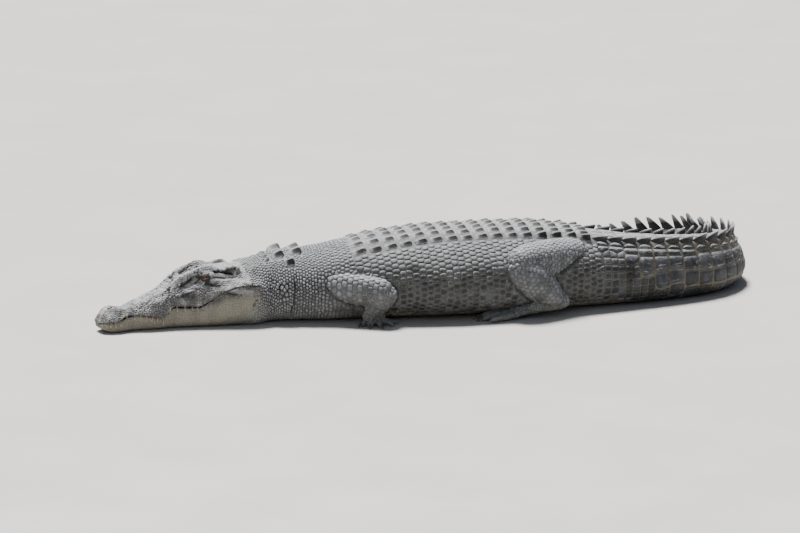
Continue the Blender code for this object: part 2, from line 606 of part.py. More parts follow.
# Teeth: (share of the head's length, length, which jaw)
UPPER_TEETH = (
    (0.034, 0.010), (0.064, 0.012), (0.098, 0.019), (0.137, 0.014), (0.245, 0.011), (0.285, 0.012), (0.325, 0.013),
    (0.365, 0.015), (0.402, 0.018), (0.446, 0.027), (0.550, 0.012), (0.605, 0.011),
)
LOWER_TEETH = ((0.188, 0.024), (0.494, 0.022))


def tooth(f, length, up, grow=0.0):
    s = f * HEAD_LENGTH
    root = float(H_MOUTH_Z(s))
    w = float(H_UPPER_W(s))
    lat = w * 0.975 if not up else max(float(H_JAW_W(s)), w * 0.93) * 0.985
    r = 0.0022 + length * 0.16
    z0, z1 = (root + 0.006, root - length) if not up else (root - 0.010, root + length)
    lean = 0.10 * length * (1 if not up else 0.6)
    out = []
    for t, share in ((0.0, 1.1), (1.0, 0.22)):
        a = np.linspace(0, 2 * np.pi, 4, endpoint=False) + 0.6
        rr = r * share + grow
        z = z0 + (z1 - z0) * t + (grow if (t == 1.0) == up else -grow) * (t in (0.0, 1.0))
        out.append(place(s + rr * np.cos(a) + 0.002 * t, lat + rr * 0.8 * np.sin(a) + lean * t, np.full(4, z)))
    return out


def both_sides(f, length, up, grow=0.0):
    rings = tooth(f, length, up, grow)
    h = math.radians(float(HEADING(f * HEAD_LENGTH)))
    base = place(f * HEAD_LENGTH, 0.0, 0.0)
    out = np.array([-math.sin(h), math.cos(h), 0.0])
    mirrored = [r - 2 * ((r - base) @ out)[:, None] * out for r in rings]
    return [loft(rings), loft(mirrored)]


upper_teeth = [one for f, length in UPPER_TEETH for one in both_sides(f, length, False)]
lower_teeth = [one for f, length in LOWER_TEETH for one in both_sides(f, length, True)]
change(jaw, make("lower_teeth", *join(lower_teeth), PALE_HIDE), "UNION")
change(head, make("upper_teeth", *join(upper_teeth), PALE_HIDE), "UNION")
change(jaw, make("room", *join([o for f, n in UPPER_TEETH for o in both_sides(f, n, False, GAP)]), HIDE), "DIFFERENCE")
change(head, make("room", *join([o for f, n in LOWER_TEETH for o in both_sides(f, n, True, GAP)]), HIDE), "DIFFERENCE")


# Eyes, each in its own socket
def ball(name, centre, radius, material, around=10, rings=6):
    bm = bmesh.new()
    bmesh.ops.create_uvsphere(bm, u_segments=around, v_segments=rings, radius=radius)
    points = [np.array(v.co) + centre for v in bm.verts]
    faces = [tuple(v.index for v in f.verts) for f in bm.faces]
    bm.free()
    return make(name, points, faces, material)


for side, mark in ((1, "R"), (-1, "L")):
    centre = place(EYE_S, side * EYE_LAT, EYE_Z)
    ball(f"eye_{mark}", centre, EYE_R, EYE)
    change(head, ball("socket", centre, EYE_R + GAP, HIDE), "DIFFERENCE")


# ----------------------------------------------------------------------------------------------
# Legs
# ----------------------------------------------------------------------------------------------
def tube(ends, deep, keys, around=10):
    """Rings of an oval length between two ends. deep is the direction its depth lies along."""
    a, b = ends
    axis = (b - a) / np.linalg.norm(b - a)
    deep = np.asarray(deep, float)
    deep = deep - axis * (deep @ axis)
    deep /= np.linalg.norm(deep)
    wide = np.cross(axis, deep)
    t = np.linspace(0, 2 * np.pi, around, endpoint=False)
    return [a + (b - a) * k + w * np.cos(t)[:, None] * wide + d * np.sin(t)[:, None] * deep for k, w, d in keys]


def grown_keys(keys, grow):
    return tuple((k, w + grow, d + grow) for k, w, d in keys)


def limb_mesh(station, side, rings):
    rings = [limb_place(station, side, r) for r in rings]
    for r in rings:
        r[:, 2] = np.maximum(r[:, 2], 0.0)
    return loft(rings)


def toe_rings(kind, k, grow=0.0, around=5):
    pts, wide, high = toe_line(kind, k)
    d = (pts[-1] - pts[0]) * np.array([1, 1, 0])
    d /= np.linalg.norm(d)
    side = np.array([-d[1], d[0], 0.0])
    t = np.linspace(0, 2 * np.pi, around, endpoint=False)
    out = []
    for i, p in enumerate(pts):
        lift = (grow if i == len(pts) - 1 else -grow if i == 0 else 0.0) * d
        out.append(p + lift + (wide[i] + grow) * np.cos(t)[:, None] * side + (high[i] + grow) * np.sin(t)[:, None] * np.array([0, 0, 1.0]))
    return out


def claw_rings(kind, k, grow=0.0, around=5):
    line, r = claw_line(kind, k)
    d = (line[-1] - line[0]) * np.array([1, 1, 0])
    d /= np.linalg.norm(d)
    side = np.array([-d[1], d[0], 0.0])
    t = np.linspace(0, 2 * np.pi, around, endpoint=False)
    out = []
    for i, p in enumerate(line):
        lift = (grow if i == len(line) - 1 else -grow if i == 0 else 0.0) * d
        out.append(p + lift + (r[i] * 0.8 + grow) * np.cos(t)[:, None] * side + (r[i] + grow) * np.sin(t)[:, None] * np.array([0, 0, 1.0]))
    return out


FLESH = {"fore": (SHOULDER_S, fore_lengths(), FORE_TOES), "hind": (HIP_S, hind_lengths(), HIND_TOES)}
BODY_CUTTERS = {
    "fore": [("neck", neck_half, neck_stations), ("trunk_front", trunk_half, None)],
    "hind": [("trunk_middle", trunk_half, None), ("trunk_rear", trunk_half, None), ("tail_1", double_half, None)],
}


def body_cutter(name, half, stations):
    """The same rings, grown by the gap all round and run a little past both ends."""
    if stations is None:
        a, b = next((x[1], x[2]) for x in TRUNK + TAIL if x[0] == name)
        stations = rows_between(ROWS_START, ROWS_PITCH, a + GAP / 2, b - GAP / 2)
    rings = [whole_ring(s, half(s, peak, 0.0)) for s, peak in stations]
    return fatter(name + "_cutter", rings, 0.0006)


def fatter(name, rings, grow):
    """A loft grown by moving every point along its own normal."""
    obj = make(name, *loft(rings), HIDE)
    bm = bmesh.new()
    bm.from_mesh(obj.data)
    bm.normal_update()
    move = {v.index: v.normal.copy() for v in bm.verts}
    for v in bm.verts:
        v.co += move[v.index] * grow
    bm.to_mesh(obj.data)
    bm.free()
    return obj


def toe_piece(kind, k, grow=0.0):
    return toe_rings(kind, k, grow)


for kind, (station, flesh, toes) in FLESH.items():
    for side, mark in ((-1, "L"), (1, "R")):
        part_names = list(flesh)
        made = {}
        for name in part_names:
            a, b, deep, keys = flesh[name]
            around = 8 if name == part_names[2] else 10
            made[name] = make(f"{kind}_{name}_{mark}", *limb_mesh(station, side, tube((a, b), deep, keys, around)), HIDE)
        foot = made[part_names[2]]
        for k in range(len(toes)):
            change(foot, make("toe", *limb_mesh(station, side, toe_rings(kind, k)), HIDE), "UNION")
        for body_name, half, stations in BODY_CUTTERS[kind]:
            for name in part_names:
                change(made[name], body_cutter(body_name, half, stations), "DIFFERENCE")
        # each length gives way to the one above it
        for name, above in ((part_names[1], part_names[0]), (part_names[2], part_names[1]), (part_names[2], part_names[0])):
            a, b, deep, keys = flesh[above]
            rings = [limb_place(station, side, r) for r in tube((a, b), deep, keys)]
            for r in rings:
                r[:, 2] = np.maximum(r[:, 2], 0.0)
            change(made[name], fatter("room", rings, 0.0006), "DIFFERENCE")
        for name in part_names:
            keep_largest(made[name])
        for k, toe in enumerate(toes):
            if not toe[3]:
                continue
            make(f"{kind}_claw_{k + 1}_{mark}", *limb_mesh(station, side, claw_rings(kind, k)), CLAW)
            change(foot, make("room", *limb_mesh(station, side, claw_rings(kind, k, GAP)), HIDE), "DIFFERENCE")

for obj in bpy.data.objects:
    if obj.type == "MESH":
        # flat places are left with as few faces as they need
        bm = bmesh.new()
        bm.from_mesh(obj.data)
        bmesh.ops.dissolve_limit(bm, angle_limit=math.radians(0.4), use_dissolve_boundaries=False, verts=bm.verts, edges=bm.edges)
        bmesh.ops.triangulate(bm, faces=bm.faces)
        bm.to_mesh(obj.data)
        bm.free()
        obj.data.shade_smooth()
        obj.data.set_sharp_from_angle(angle=math.radians(35))
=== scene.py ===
"""The looks of a life-size saltwater crocodile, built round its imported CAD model.

One skin stands for all the flesh. Over it lie the scales: keeled plates along the back, crests on the
tail, and small scales everywhere else, each a low solid with its own rim. Eyes, teeth and claws are
pieces of their own. Metres; s runs along the body from the snout's tip, lat is sideways, z is up."""

import math

import bmesh
import bpy
import numpy as np
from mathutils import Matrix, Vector
from mathutils.bvhtree import BVHTree
from mathutils.kdtree import KDTree


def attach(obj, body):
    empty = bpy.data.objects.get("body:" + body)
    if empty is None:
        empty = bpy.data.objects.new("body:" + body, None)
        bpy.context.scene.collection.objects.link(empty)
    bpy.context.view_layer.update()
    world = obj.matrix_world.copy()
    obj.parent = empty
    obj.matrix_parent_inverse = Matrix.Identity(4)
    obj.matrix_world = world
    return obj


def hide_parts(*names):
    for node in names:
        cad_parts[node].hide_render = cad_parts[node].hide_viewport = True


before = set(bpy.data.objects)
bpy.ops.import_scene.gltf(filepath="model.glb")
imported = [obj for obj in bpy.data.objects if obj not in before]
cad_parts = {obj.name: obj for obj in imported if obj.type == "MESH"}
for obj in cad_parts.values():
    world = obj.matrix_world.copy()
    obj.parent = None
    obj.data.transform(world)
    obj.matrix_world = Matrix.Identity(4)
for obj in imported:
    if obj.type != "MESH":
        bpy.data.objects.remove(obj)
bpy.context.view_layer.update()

EYE_S, EYE_LAT, EYE_Z, EYE_R = 0.430, 0.0745, 0.1935, 0.0165
ORIGIN_X, ORIGIN_Y = 1.36133, 0.24771
COAT = 0.0035  # how far the skin lies inside the solids

# ----------------------------------------------------------------------------------------------
# The animal's form, in metres. s runs along the body from the snout's tip; lat is sideways from
# the mid-line, positive to the animal's right; z is height above the floor.
# ----------------------------------------------------------------------------------------------
TOTAL_LENGTH = 4.00
HEAD_LENGTH = 0.56  # snout tip to the back of the cranial table
HEAD_END = 0.62  # where the head ring starts turning into the neck ring
NECK_RING = 0.74  # where it has become one
SHOULDER_S = 0.99
HIP_S = 1.975
BACK_ROW_0, BACK_PITCH, BACK_ROWS = 1.030, 0.0613, 16  # cross rows of plates on the back
TAIL_ROW_0, TAIL_ROWS, TAIL_PITCH_0, TAIL_PITCH_1 = 2.011, 38, 0.0605, 0.0432
DOUBLE_ROWS = 18  # tail rings with two crests; the rest have one


def smooth(*keys):
    """A monotone cubic through (station, value) pairs."""
    k = np.array(keys, float)
    x, y = k[:, 0], k[:, 1]
    h = np.diff(x)
    d = np.diff(y) / h
    m = np.zeros(len(x))
    for i in range(1, len(x) - 1):
        if d[i - 1] * d[i] > 0:
            a, b = 2 * h[i] + h[i - 1], h[i] + 2 * h[i - 1]
            m[i] = (a + b) / (a / d[i - 1] + b / d[i])
    m[0], m[-1] = d[0], d[-1]

    def value(s):
        s = np.clip(s, x[0], x[-1])
        i = np.clip(np.searchsorted(x, s, side="right") - 1, 0, len(h) - 1)
        t = (s - x[i]) / h[i]
        return (
            y[i] * (1 + 2 * t) * (1 - t) ** 2
            + h[i] * m[i] * t * (1 - t) ** 2
            + y[i + 1] * t * t * (3 - 2 * t)
            + h[i] * m[i + 1] * t * t * (t - 1)
        )

    return value


def step(a, b, x):
    t = np.clip((np.asarray(x, float) - a) / (b - a), 0, 1)
    return t * t * (3 - 2 * t)


# Heading of the body, snout to tail, in degrees from +X towards +Y
HEADING = smooth(
    (0, 10), (0.50, 10), (0.62, 6), (0.80, -7), (0.92, -6), (1.12, 0), (1.50, 0), (2.00, -1), (2.12, 0), (2.26, 4),
    (2.41, 15), (2.72, 72), (3.06, 140), (3.28, 173), (3.60, 181), (3.85, 178), (4.00, 172),
)
_S = np.linspace(0, TOTAL_LENGTH, 4001)
_H = np.radians(HEADING(_S))
_X = np.concatenate([[0], np.cumsum(0.001 * np.cos((_H[1:] + _H[:-1]) / 2))])
_Y = np.concatenate([[0], np.cumsum(0.001 * np.sin((_H[1:] + _H[:-1]) / 2))])
_X, _Y = _X - ORIGIN_X, _Y - ORIGIN_Y


def place(s, lat, z):
    """Body coordinates to the model's frame."""
    s, lat, z = np.broadcast_arrays(np.asarray(s, float), lat, z)
    over = s - np.clip(s, 0, TOTAL_LENGTH)  # straight on past either end
    h = np.radians(HEADING(s))
    x = np.interp(s, _S, _X) + over * np.cos(h) - lat * np.sin(h)
    y = np.interp(s, _S, _Y) + over * np.sin(h) + lat * np.cos(h)
    return np.stack([x, y, z], -1)


# Trunk, neck and tail: half width, top, bottom and the height of the widest place
HALF_WIDTH = smooth(
    (0.50, 0.150), (0.62, 0.163), (0.72, 0.166), (0.85, 0.180), (0.99, 0.205), (1.20, 0.250),
    (1.45, 0.285), (1.65, 0.280), (1.85, 0.240), (1.975, 0.208), (2.10, 0.180), (2.25, 0.152),
    (2.45, 0.122), (2.70, 0.100), (3.00, 0.078), (3.30, 0.057), (3.60, 0.038), (3.85, 0.022),
    (3.96, 0.013), (4.00, 0.007),
)
TOP = smooth(
    (0.50, 0.224), (0.60, 0.243), (0.70, 0.262), (0.85, 0.273), (0.99, 0.297), (1.20, 0.325),
    (1.45, 0.335), (1.70, 0.333), (1.90, 0.315), (2.05, 0.286), (2.20, 0.263), (2.40, 0.243),
    (2.60, 0.222), (2.80, 0.190), (3.00, 0.156), (3.25, 0.120), (3.50, 0.089), (3.75, 0.060),
    (3.92, 0.036), (4.00, 0.020),
)
BOTTOM = smooth((0.50, 0.0), (3.70, 0.0), (3.90, 0.0), (4.00, 0.0))
WIDEST = smooth((0.50, 0.48), (0.80, 0.44), (1.10, 0.42), (1.60, 0.40), (2.00, 0.42), (2.30, 0.40), (3.00, 0.38), (4.00, 0.45))
ROUND_TOP = smooth((0.50, 2.2), (0.90, 2.1), (1.20, 2.1), (1.90, 2.15), (2.20, 2.5), (2.60, 2.6), (3.20, 2.2), (4.00, 2.0))
ROUND_LOW = smooth((0.50, 2.5), (0.90, 2.35), (1.30, 2.3), (1.90, 2.35), (2.20, 2.4), (3.00, 2.4), (4.00, 2.0))
UPWARD_TAPER = smooth((0.50, 0.0), (1.95, 0.0), (2.15, 0.06), (2.50, 0.20), (3.00, 0.34), (4.00, 0.30))


def body_ring(s, grow=0.0, n=97):
    """Half ring, top to bottom, as (lat, z), of the trunk, neck or tail."""
    w, top, low = HALF_WIDTH(s) + grow, TOP(s) + grow, BOTTOM(s) - grow
    mid = low + (top - low) * WIDEST(s)
    a = np.linspace(0, np.pi, n)
    up = a <= np.pi / 2
    e_up, e_low = 2 / ROUND_TOP(s), 2 / ROUND_LOW(s)
    c, v = np.abs(np.cos(a)), np.abs(np.sin(a))
    lat = np.where(up, w * v**e_up, w * v**e_low)
    z = np.where(up, mid + (top - mid) * c**e_up, mid - (mid - low) * c**e_low)
    rise = np.clip((z - mid) / max(top - mid, 1e-6), 0, 1)
    lat = lat * (1 - UPWARD_TAPER(s) * rise**1.5)
    flat = 0.02 * (top - low)  # the underside rests on a real flat
    z = np.maximum(low, (z - low - flat) * (top - low) / (top - low - flat) + low)
    return np.stack([lat, z], -1)


# Head, by share of HEAD_LENGTH from the snout's tip.
def along_head(*keys):
    return smooth(*[(f * HEAD_LENGTH, v) for f, v in keys])


H_MID_TOP = along_head(
    (0, 0.052), (0.02, 0.074), (0.06, 0.092), (0.11, 0.098), (0.17, 0.093), (0.25, 0.106), (0.36, 0.126),
    (0.46, 0.144), (0.54, 0.166), (0.62, 0.187), (0.70, 0.198), (0.78, 0.204), (0.86, 0.218), (1.00, 0.223), (1.12, 0.235),
)
H_RIDGE_Z = along_head(
    (0, 0.050), (0.02, 0.070), (0.06, 0.088), (0.11, 0.096), (0.17, 0.093), (0.25, 0.106), (0.36, 0.128),
    (0.46, 0.149), (0.54, 0.179), (0.60, 0.204), (0.66, 0.218), (0.72, 0.233), (0.78, 0.245), (0.83, 0.241), (0.88, 0.226),
    (0.95, 0.228), (1.00, 0.229), (1.03, 0.216), (1.12, 0.227),
)
H_RIDGE_LAT = along_head(
    (0, 0.014), (0.02, 0.020), (0.06, 0.026), (0.11, 0.030), (0.17, 0.028), (0.30, 0.034), (0.45, 0.037),
    (0.60, 0.042), (0.70, 0.050), (0.79, 0.058), (0.88, 0.066), (0.97, 0.079), (1.03, 0.082), (1.12, 0.075),
)
H_VALLEY_Z = along_head(
    (0, 0.046), (0.02, 0.060), (0.06, 0.072), (0.11, 0.079), (0.17, 0.079), (0.25, 0.090), (0.36, 0.107),
    (0.46, 0.124), (0.54, 0.144), (0.62, 0.158), (0.70, 0.175), (0.79, 0.191), (0.88, 0.189), (1.00, 0.193), (1.12, 0.193),
)
H_VALLEY_LAT = along_head(
    (0, 0.024), (0.02, 0.036), (0.06, 0.046), (0.11, 0.049), (0.17, 0.042), (0.25, 0.050), (0.36, 0.058),
    (0.48, 0.062), (0.60, 0.070), (0.70, 0.079), (0.79, 0.086), (0.88, 0.090), (1.00, 0.100), (1.12, 0.115),
)
H_UPPER_W = along_head(
    (0, 0.030), (0.02, 0.047), (0.06, 0.060), (0.12, 0.064), (0.19, 0.052), (0.24, 0.057), (0.34, 0.076), (0.43, 0.082),
    (0.51, 0.079), (0.58, 0.086), (0.66, 0.098), (0.75, 0.112), (0.85, 0.130), (0.95, 0.146), (1.03, 0.155), (1.12, 0.162),
)
H_MOUTH_Z = along_head(
    (0, 0.040), (0.06, 0.040), (0.12, 0.042), (0.19, 0.062), (0.25, 0.064), (0.33, 0.060), (0.43, 0.043), (0.48, 0.066),
    (0.53, 0.087), (0.60, 0.086), (0.69, 0.084), (0.76, 0.100), (0.85, 0.124), (0.94, 0.146),
    (1.02, 0.152), (1.12, 0.152),
)
H_JAW_W = along_head(
    (0, 0.024), (0.02, 0.040), (0.06, 0.052), (0.11, 0.056), (0.19, 0.058), (0.26, 0.055), (0.34, 0.062), (0.43, 0.070),
    (0.50, 0.075), (0.58, 0.086), (0.66, 0.099), (0.75, 0.116), (0.85, 0.137), (0.95, 0.152), (1.03, 0.160), (1.12, 0.166),
)
H_LOW = along_head((0, 0.022), (0.02, 0.013), (0.05, 0.004), (0.09, 0.0), (1.12, 0.0))
MOUTH_V = 0.62  # share of the half ring, top to bottom, at which the mouth line runs
MOUTH_END = 1.02 * HEAD_LENGTH


def curve_through(points, n_each):
    """Smooth curve through points, n_each steps between neighbours (centripetal where spacing varies)."""
    p = np.asarray(points, float)
    q = np.vstack([2 * p[0] - p[1], p, 2 * p[-1] - p[-2]])
    out = []
    for i in range(1, len(q) - 2):
        p0, p1, p2, p3 = q[i - 1 : i + 3]
        d1, d2, d3 = (max(np.linalg.norm(b - a), 1e-9) ** 0.5 for a, b in ((p0, p1), (p1, p2), (p2, p3)))
        m1 = (p1 - p0) / d1 - (p2 - p0) / (d1 + d2) + (p2 - p1) / d2
        m2 = (p2 - p1) / d2 - (p3 - p1) / (d2 + d3) + (p3 - p2) / d3
        m1, m2 = m1 * d2, m2 * d2
        t = np.linspace(0, 1, n_each, endpoint=False)[:, None]
        out.append(
            p1 * (2 * t**3 - 3 * t**2 + 1) + m1 * (t**3 - 2 * t**2 + t) + p2 * (-2 * t**3 + 3 * t**2) + m2 * (t**3 - t**2)
        )
    return np.vstack(out + [p[-1:]])


def spaced(line, n):
    """n points evenly along a line."""
    d = np.concatenate([[0], np.cumsum(np.linalg.norm(np.diff(line, axis=0), axis=1))])
    t = np.linspace(0, d[-1], n)
    return np.stack([np.interp(t, d, line[:, k]) for k in range(line.shape[1])], -1)


def head_ring(s, n_up, n_low, grow=0.0, lip=0.0):
    """Half ring of the head, top to bottom: n_up points to the mouth line, then n_low below it."""
    top, rz, rl = H_MID_TOP(s), H_RIDGE_Z(s), H_RIDGE_LAT(s)
    vz, vl, uw, mz, jw, low = H_VALLEY_Z(s), H_VALLEY_LAT(s), H_UPPER_W(s), H_MOUTH_Z(s), H_JAW_W(s), H_LOW(s)
    lip_h = 0.010 + 0.006 * step(0.4, 0.9, s / HEAD_LENGTH)
    upper = [
        (0, top), (rl * 0.50, top + (rz - top) * 0.35), (rl * 0.92, rz), (rl + (vl - rl) * 0.45, vz + (rz - vz) * 0.55),
        (vl, vz), (vl + (uw - vl) * 0.72, vz + (mz - vz) * 0.42), (uw, mz + (vz - mz) * 0.32), (uw * 0.985, mz + lip_h * 0.6), (uw * 0.955, mz),
    ]
    jaw_h = mz - low
    lower = [
        (uw * 0.955, mz), (max(jw, uw * 0.93) * 0.985, mz - jaw_h * 0.16), (jw, mz - jaw_h * 0.42), (jw * 0.965, low + jaw_h * 0.26),
        (jw * 0.84, low + jaw_h * 0.07 + 0.001), (jw * 0.66, low), (jw * 0.33, low), (0, low),
    ]
    up = spaced(curve_through(upper, 8), n_up)
    dn = spaced(curve_through(lower, 8), n_low + 1)[1:]
    ring = np.vstack([up, dn])
    ring[:, 0] = np.maximum(ring[:, 0], 0)
    ring[:, 1] = np.maximum(ring[:, 1], low)
    if grow:
        ring = grown(ring, grow)
    return ring


def grown(ring, grow):
    """The half ring moved outwards by grow."""
    t = np.gradient(ring, axis=0)
    t[0], t[-1] = (1, 0), (-1, 0)
    n = np.stack([-t[:, 1], t[:, 0]], -1)
    n /= np.maximum(np.linalg.norm(n, axis=1, keepdims=True), 1e-9)
    out = ring + n * grow
    out[0, 0] = out[-1, 0] = 0
    return out


def half_ring(s, n_up, n_low, grow=0.0):
    """Half ring anywhere from snout to tail, n_up + n_low points, top to bottom."""
    n = n_up + n_low
    if s <= HEAD_END:
        return head_ring(s, n_up, n_low, grow)
    line = body_ring(s, grow)
    d = np.concatenate([[0], np.cumsum(np.linalg.norm(np.diff(line, axis=0), axis=1))])
    v = np.concatenate([np.linspace(0, MOUTH_V, n_up), np.linspace(MOUTH_V, 1, n_low + 1)[1:]])
    body = np.stack([np.interp(v * d[-1], d, line[:, k]) for k in (0, 1)], -1)
    if s >= NECK_RING:
        return body
    w = step(HEAD_END, NECK_RING, s)
    return head_ring(s, n_up, n_low, grow) * (1 - w) + body * w


# Crests of the back and tail: where each lengthways row runs and how tall its keels are
ROW_LATS = (0.026, 0.079, 0.131)  # three rows a side over the back
CREST_LAT = smooth((1.00, 0.118), (1.20, 0.131), (1.80, 0.126), (2.00, 0.104), (2.30, 0.074), (2.60, 0.052), (2.90, 0.027), (3.04, 0.010), (3.10, 0.0), (4.0, 0.0))
CREST_TALL = smooth(
    (1.00, 0.011), (1.30, 0.014), (1.70, 0.016), (1.84, 0.026), (2.10, 0.027), (2.35, 0.031), (2.60, 0.045),
    (2.85, 0.056), (3.05, 0.062), (3.20, 0.066), (3.40, 0.060), (3.65, 0.045), (3.85, 0.027), (3.98, 0.010),
)
INNER_TALL = smooth((1.00, 0.010), (1.40, 0.014), (1.90, 0.014), (2.10, 0.008), (2.40, 0.0), (4.0, 0.0))


def tail_rows():
    """Start and length of each tail ring."""
    pitch = np.linspace(TAIL_PITCH_0, TAIL_PITCH_1, TAIL_ROWS)
    pitch *= (TOTAL_LENGTH - 0.020 - TAIL_ROW_0) / pitch.sum()
    start = TAIL_ROW_0 + np.concatenate([[0], np.cumsum(pitch)[:-1]])
    return start, pitch


def back_rows():
    return BACK_ROW_0 + BACK_PITCH * np.arange(BACK_ROWS), np.full(BACK_ROWS, BACK_PITCH)


# Nape: four big plates in a square, with a smaller one outside each pair: (s, lat, length, width, height)
NAPE = (
    (0.752, 0.056, 0.066, 0.060, 0.027), (0.824, 0.046, 0.064, 0.056, 0.024), (0.795, 0.104, 0.052, 0.046, 0.020),
)
# ----------------------------------------------------------------------------------------------
# Limbs. Points are (forward, outward, up) from the mid-line at the shoulder or hip station.
# ----------------------------------------------------------------------------------------------
FORE_JOINTS = ((0.045, 0.140, 0.144), (-0.156, 0.246, 0.136), (-0.118, 0.206, 0.054), (-0.120, 0.198, 0.026))
HIND_JOINTS = ((0.030, 0.110, 0.200), (0.298, 0.246, 0.210), (0.138, 0.246, 0.062), (0.325, 0.226, 0.028))


def limb_place(station, side, p):
    """side is +1 for the animal's right, -1 for its left."""
    p = np.asarray(p, float)
    h = math.radians(float(HEADING(station)))
    base = place(station, 0.0, 0.0)
    fwd = -np.array([math.cos(h), math.sin(h), 0.0])
    out = side * np.array([-math.sin(h), math.cos(h), 0.0])
    return base + p[..., :1] * fwd + p[..., 1:2] * out + p[..., 2:3] * np.array([0.0, 0.0, 1.0])


# A limb's flesh is three tapering lengths: two ends, the direction its depth lies along, then (share, half width, half depth)
def fore_lengths():
    sh, el, wr, hand = (np.array(p) for p in FORE_JOINTS)
    return {
        "upper": (sh, el + (el - sh) * 0.12, (0.0, 0.2, 1.0), ((0, 0.052, 0.068), (0.40, 0.050, 0.065), (0.78, 0.047, 0.059), (0.94, 0.040, 0.048), (1, 0.022, 0.026))),
        "lower": (el + (el - wr) * 0.26, wr, (0.5, 0.5, 0.6), ((0, 0.026, 0.032), (0.10, 0.041, 0.052), (0.38, 0.046, 0.058), (0.72, 0.040, 0.051), (1, 0.034, 0.045))),
        "hand": (wr + (wr - hand) * 0.30, hand + (hand - wr) * 0.10, (1.0, 0.0, 0.0), ((0, 0.028, 0.034), (0.35, 0.030, 0.042), (0.75, 0.024, 0.048), (1, 0.016, 0.046))),
    }


def hind_lengths():
    hip, kn, an, ball = (np.array(p) for p in HIND_JOINTS)
    return {
        "upper": (hip, kn + (kn - hip) * 0.14, (-0.3, 0.0, 1.0), ((0, 0.066, 0.088), (0.35, 0.072, 0.096), (0.72, 0.068, 0.092), (0.94, 0.054, 0.070), (1, 0.028, 0.036))),
        "lower": (kn + (kn - an) * 0.16, an, (0.5, 0.5, 0.7), ((0, 0.044, 0.040), (0.08, 0.064, 0.056), (0.36, 0.078, 0.067), (0.72, 0.064, 0.056), (1, 0.044, 0.042))),
        "foot": (an + (an - ball) * 0.22, ball, (0.0, 0.3, 1.0), ((0, 0.022, 0.024), (0.12, 0.034, 0.034), (0.50, 0.036, 0.026), (0.85, 0.044, 0.020), (1, 0.046, 0.017))),
    }


# Toes: direction from straight out (fore) or straight ahead (hind), degrees, + is backward or outward; length; half width; has a claw
FORE_TOES = ((-42, 0.076, 0.0132, True), (-16, 0.090, 0.0135, True), (10, 0.095, 0.0132, True), (40, 0.095, 0.0120, False), (68, 0.090, 0.0112, False))
HIND_TOES = ((-3, 0.124, 0.0168, True), (3, 0.150, 0.0172, True), (10, 0.154, 0.0166, True), (18, 0.136, 0.0140, False))


def toe_line(kind, k):
    """(points, half widths, half heights) along one toe from inside the foot to its tip, in limb coordinates."""
    if kind == "fore":
        wr, hand = (np.array(p) for p in FORE_JOINTS[2:])
        deg, length, wide, _ = FORE_TOES[k]
        a = math.radians(deg)
        d = np.array([-math.sin(a), math.cos(a), 0.0])
        start = hand + np.array([-math.sin(a) * 0.018, math.cos(a) * 0.006 - 0.012, 0.0])
    else:
        an, ball = (np.array(p) for p in HIND_JOINTS[2:])
        deg, length, wide, _ = HIND_TOES[k]
        a = math.radians(deg)
        d = np.array([math.cos(a), math.sin(a), 0.0])
        start = ball + np.array([-0.020, (k - 1.5) * 0.021, 0.0])
    t = np.array([0.0, 0.42, 0.80, 0.97])
    pts = start + d * (t[:, None] * length)
    high = wide * np.array([1.15, 1.00, 0.84, 0.46])
    pts[:, 2] = high + np.array([0.004, 0.002, 0.0, 0.0])
    return pts, wide * np.array([1.40, 1.12, 0.94, 0.48]), high


def claw_line(kind, k):
    pts, wide, high = toe_line(kind, k)
    d = (pts[-1] - pts[-2]) / np.linalg.norm(pts[-1] - pts[-2])
    tip = pts[-1]
    base = tip - d * 0.008 + np.array([0, 0, 0.004])
    t = np.array([0.0, 0.5, 1.0])
    length = 0.034 if kind == "hind" else 0.028
    line = base + d * (t[:, None] * length)
    r = np.array([0.0072, 0.0058, 0.0010])
    line[:, 2] = np.maximum(base[2] * (1 - t**2) + 0.0012, r + 0.0002)
    return line, r


# ----------------------------------------------------------------------------------------------
# Helpers
# ----------------------------------------------------------------------------------------------
_LATTICES = {}


def noise(p, size, seed=0):
    """Smooth value noise from -1 to 1 at points p, with features of about `size` metres."""
    if seed not in _LATTICES:
        _LATTICES[seed] = np.random.default_rng(1000 + seed).random((32, 32, 32)) * 2 - 1
    g = _LATTICES[seed]
    q = np.asarray(p, float) / size + 7.3
    i = np.floor(q).astype(int)
    f = q - i
    f = f * f * (3 - 2 * f)
    out = 0.0
    for dx in (0, 1):
        for dy in (0, 1):
            for dz in (0, 1):
                w = np.abs(1 - dx - f[..., 0]) * np.abs(1 - dy - f[..., 1]) * np.abs(1 - dz - f[..., 2])
                out = out + w * g[(i[..., 0] + dx) % 32, (i[..., 1] + dy) % 32, (i[..., 2] + dz) % 32]
    return out


def rough(p, size, seed=0, octaves=3):
    return sum(noise(p, size / 2**k, seed + k) * 0.55**k for k in range(octaves))


def hump(x, centre, width):
    return np.exp(-(((x - centre) / width) ** 2))


def unit(v):
    v = np.asarray(v, float)
    return v / np.maximum(np.linalg.norm(v, axis=-1, keepdims=True), 1e-12)


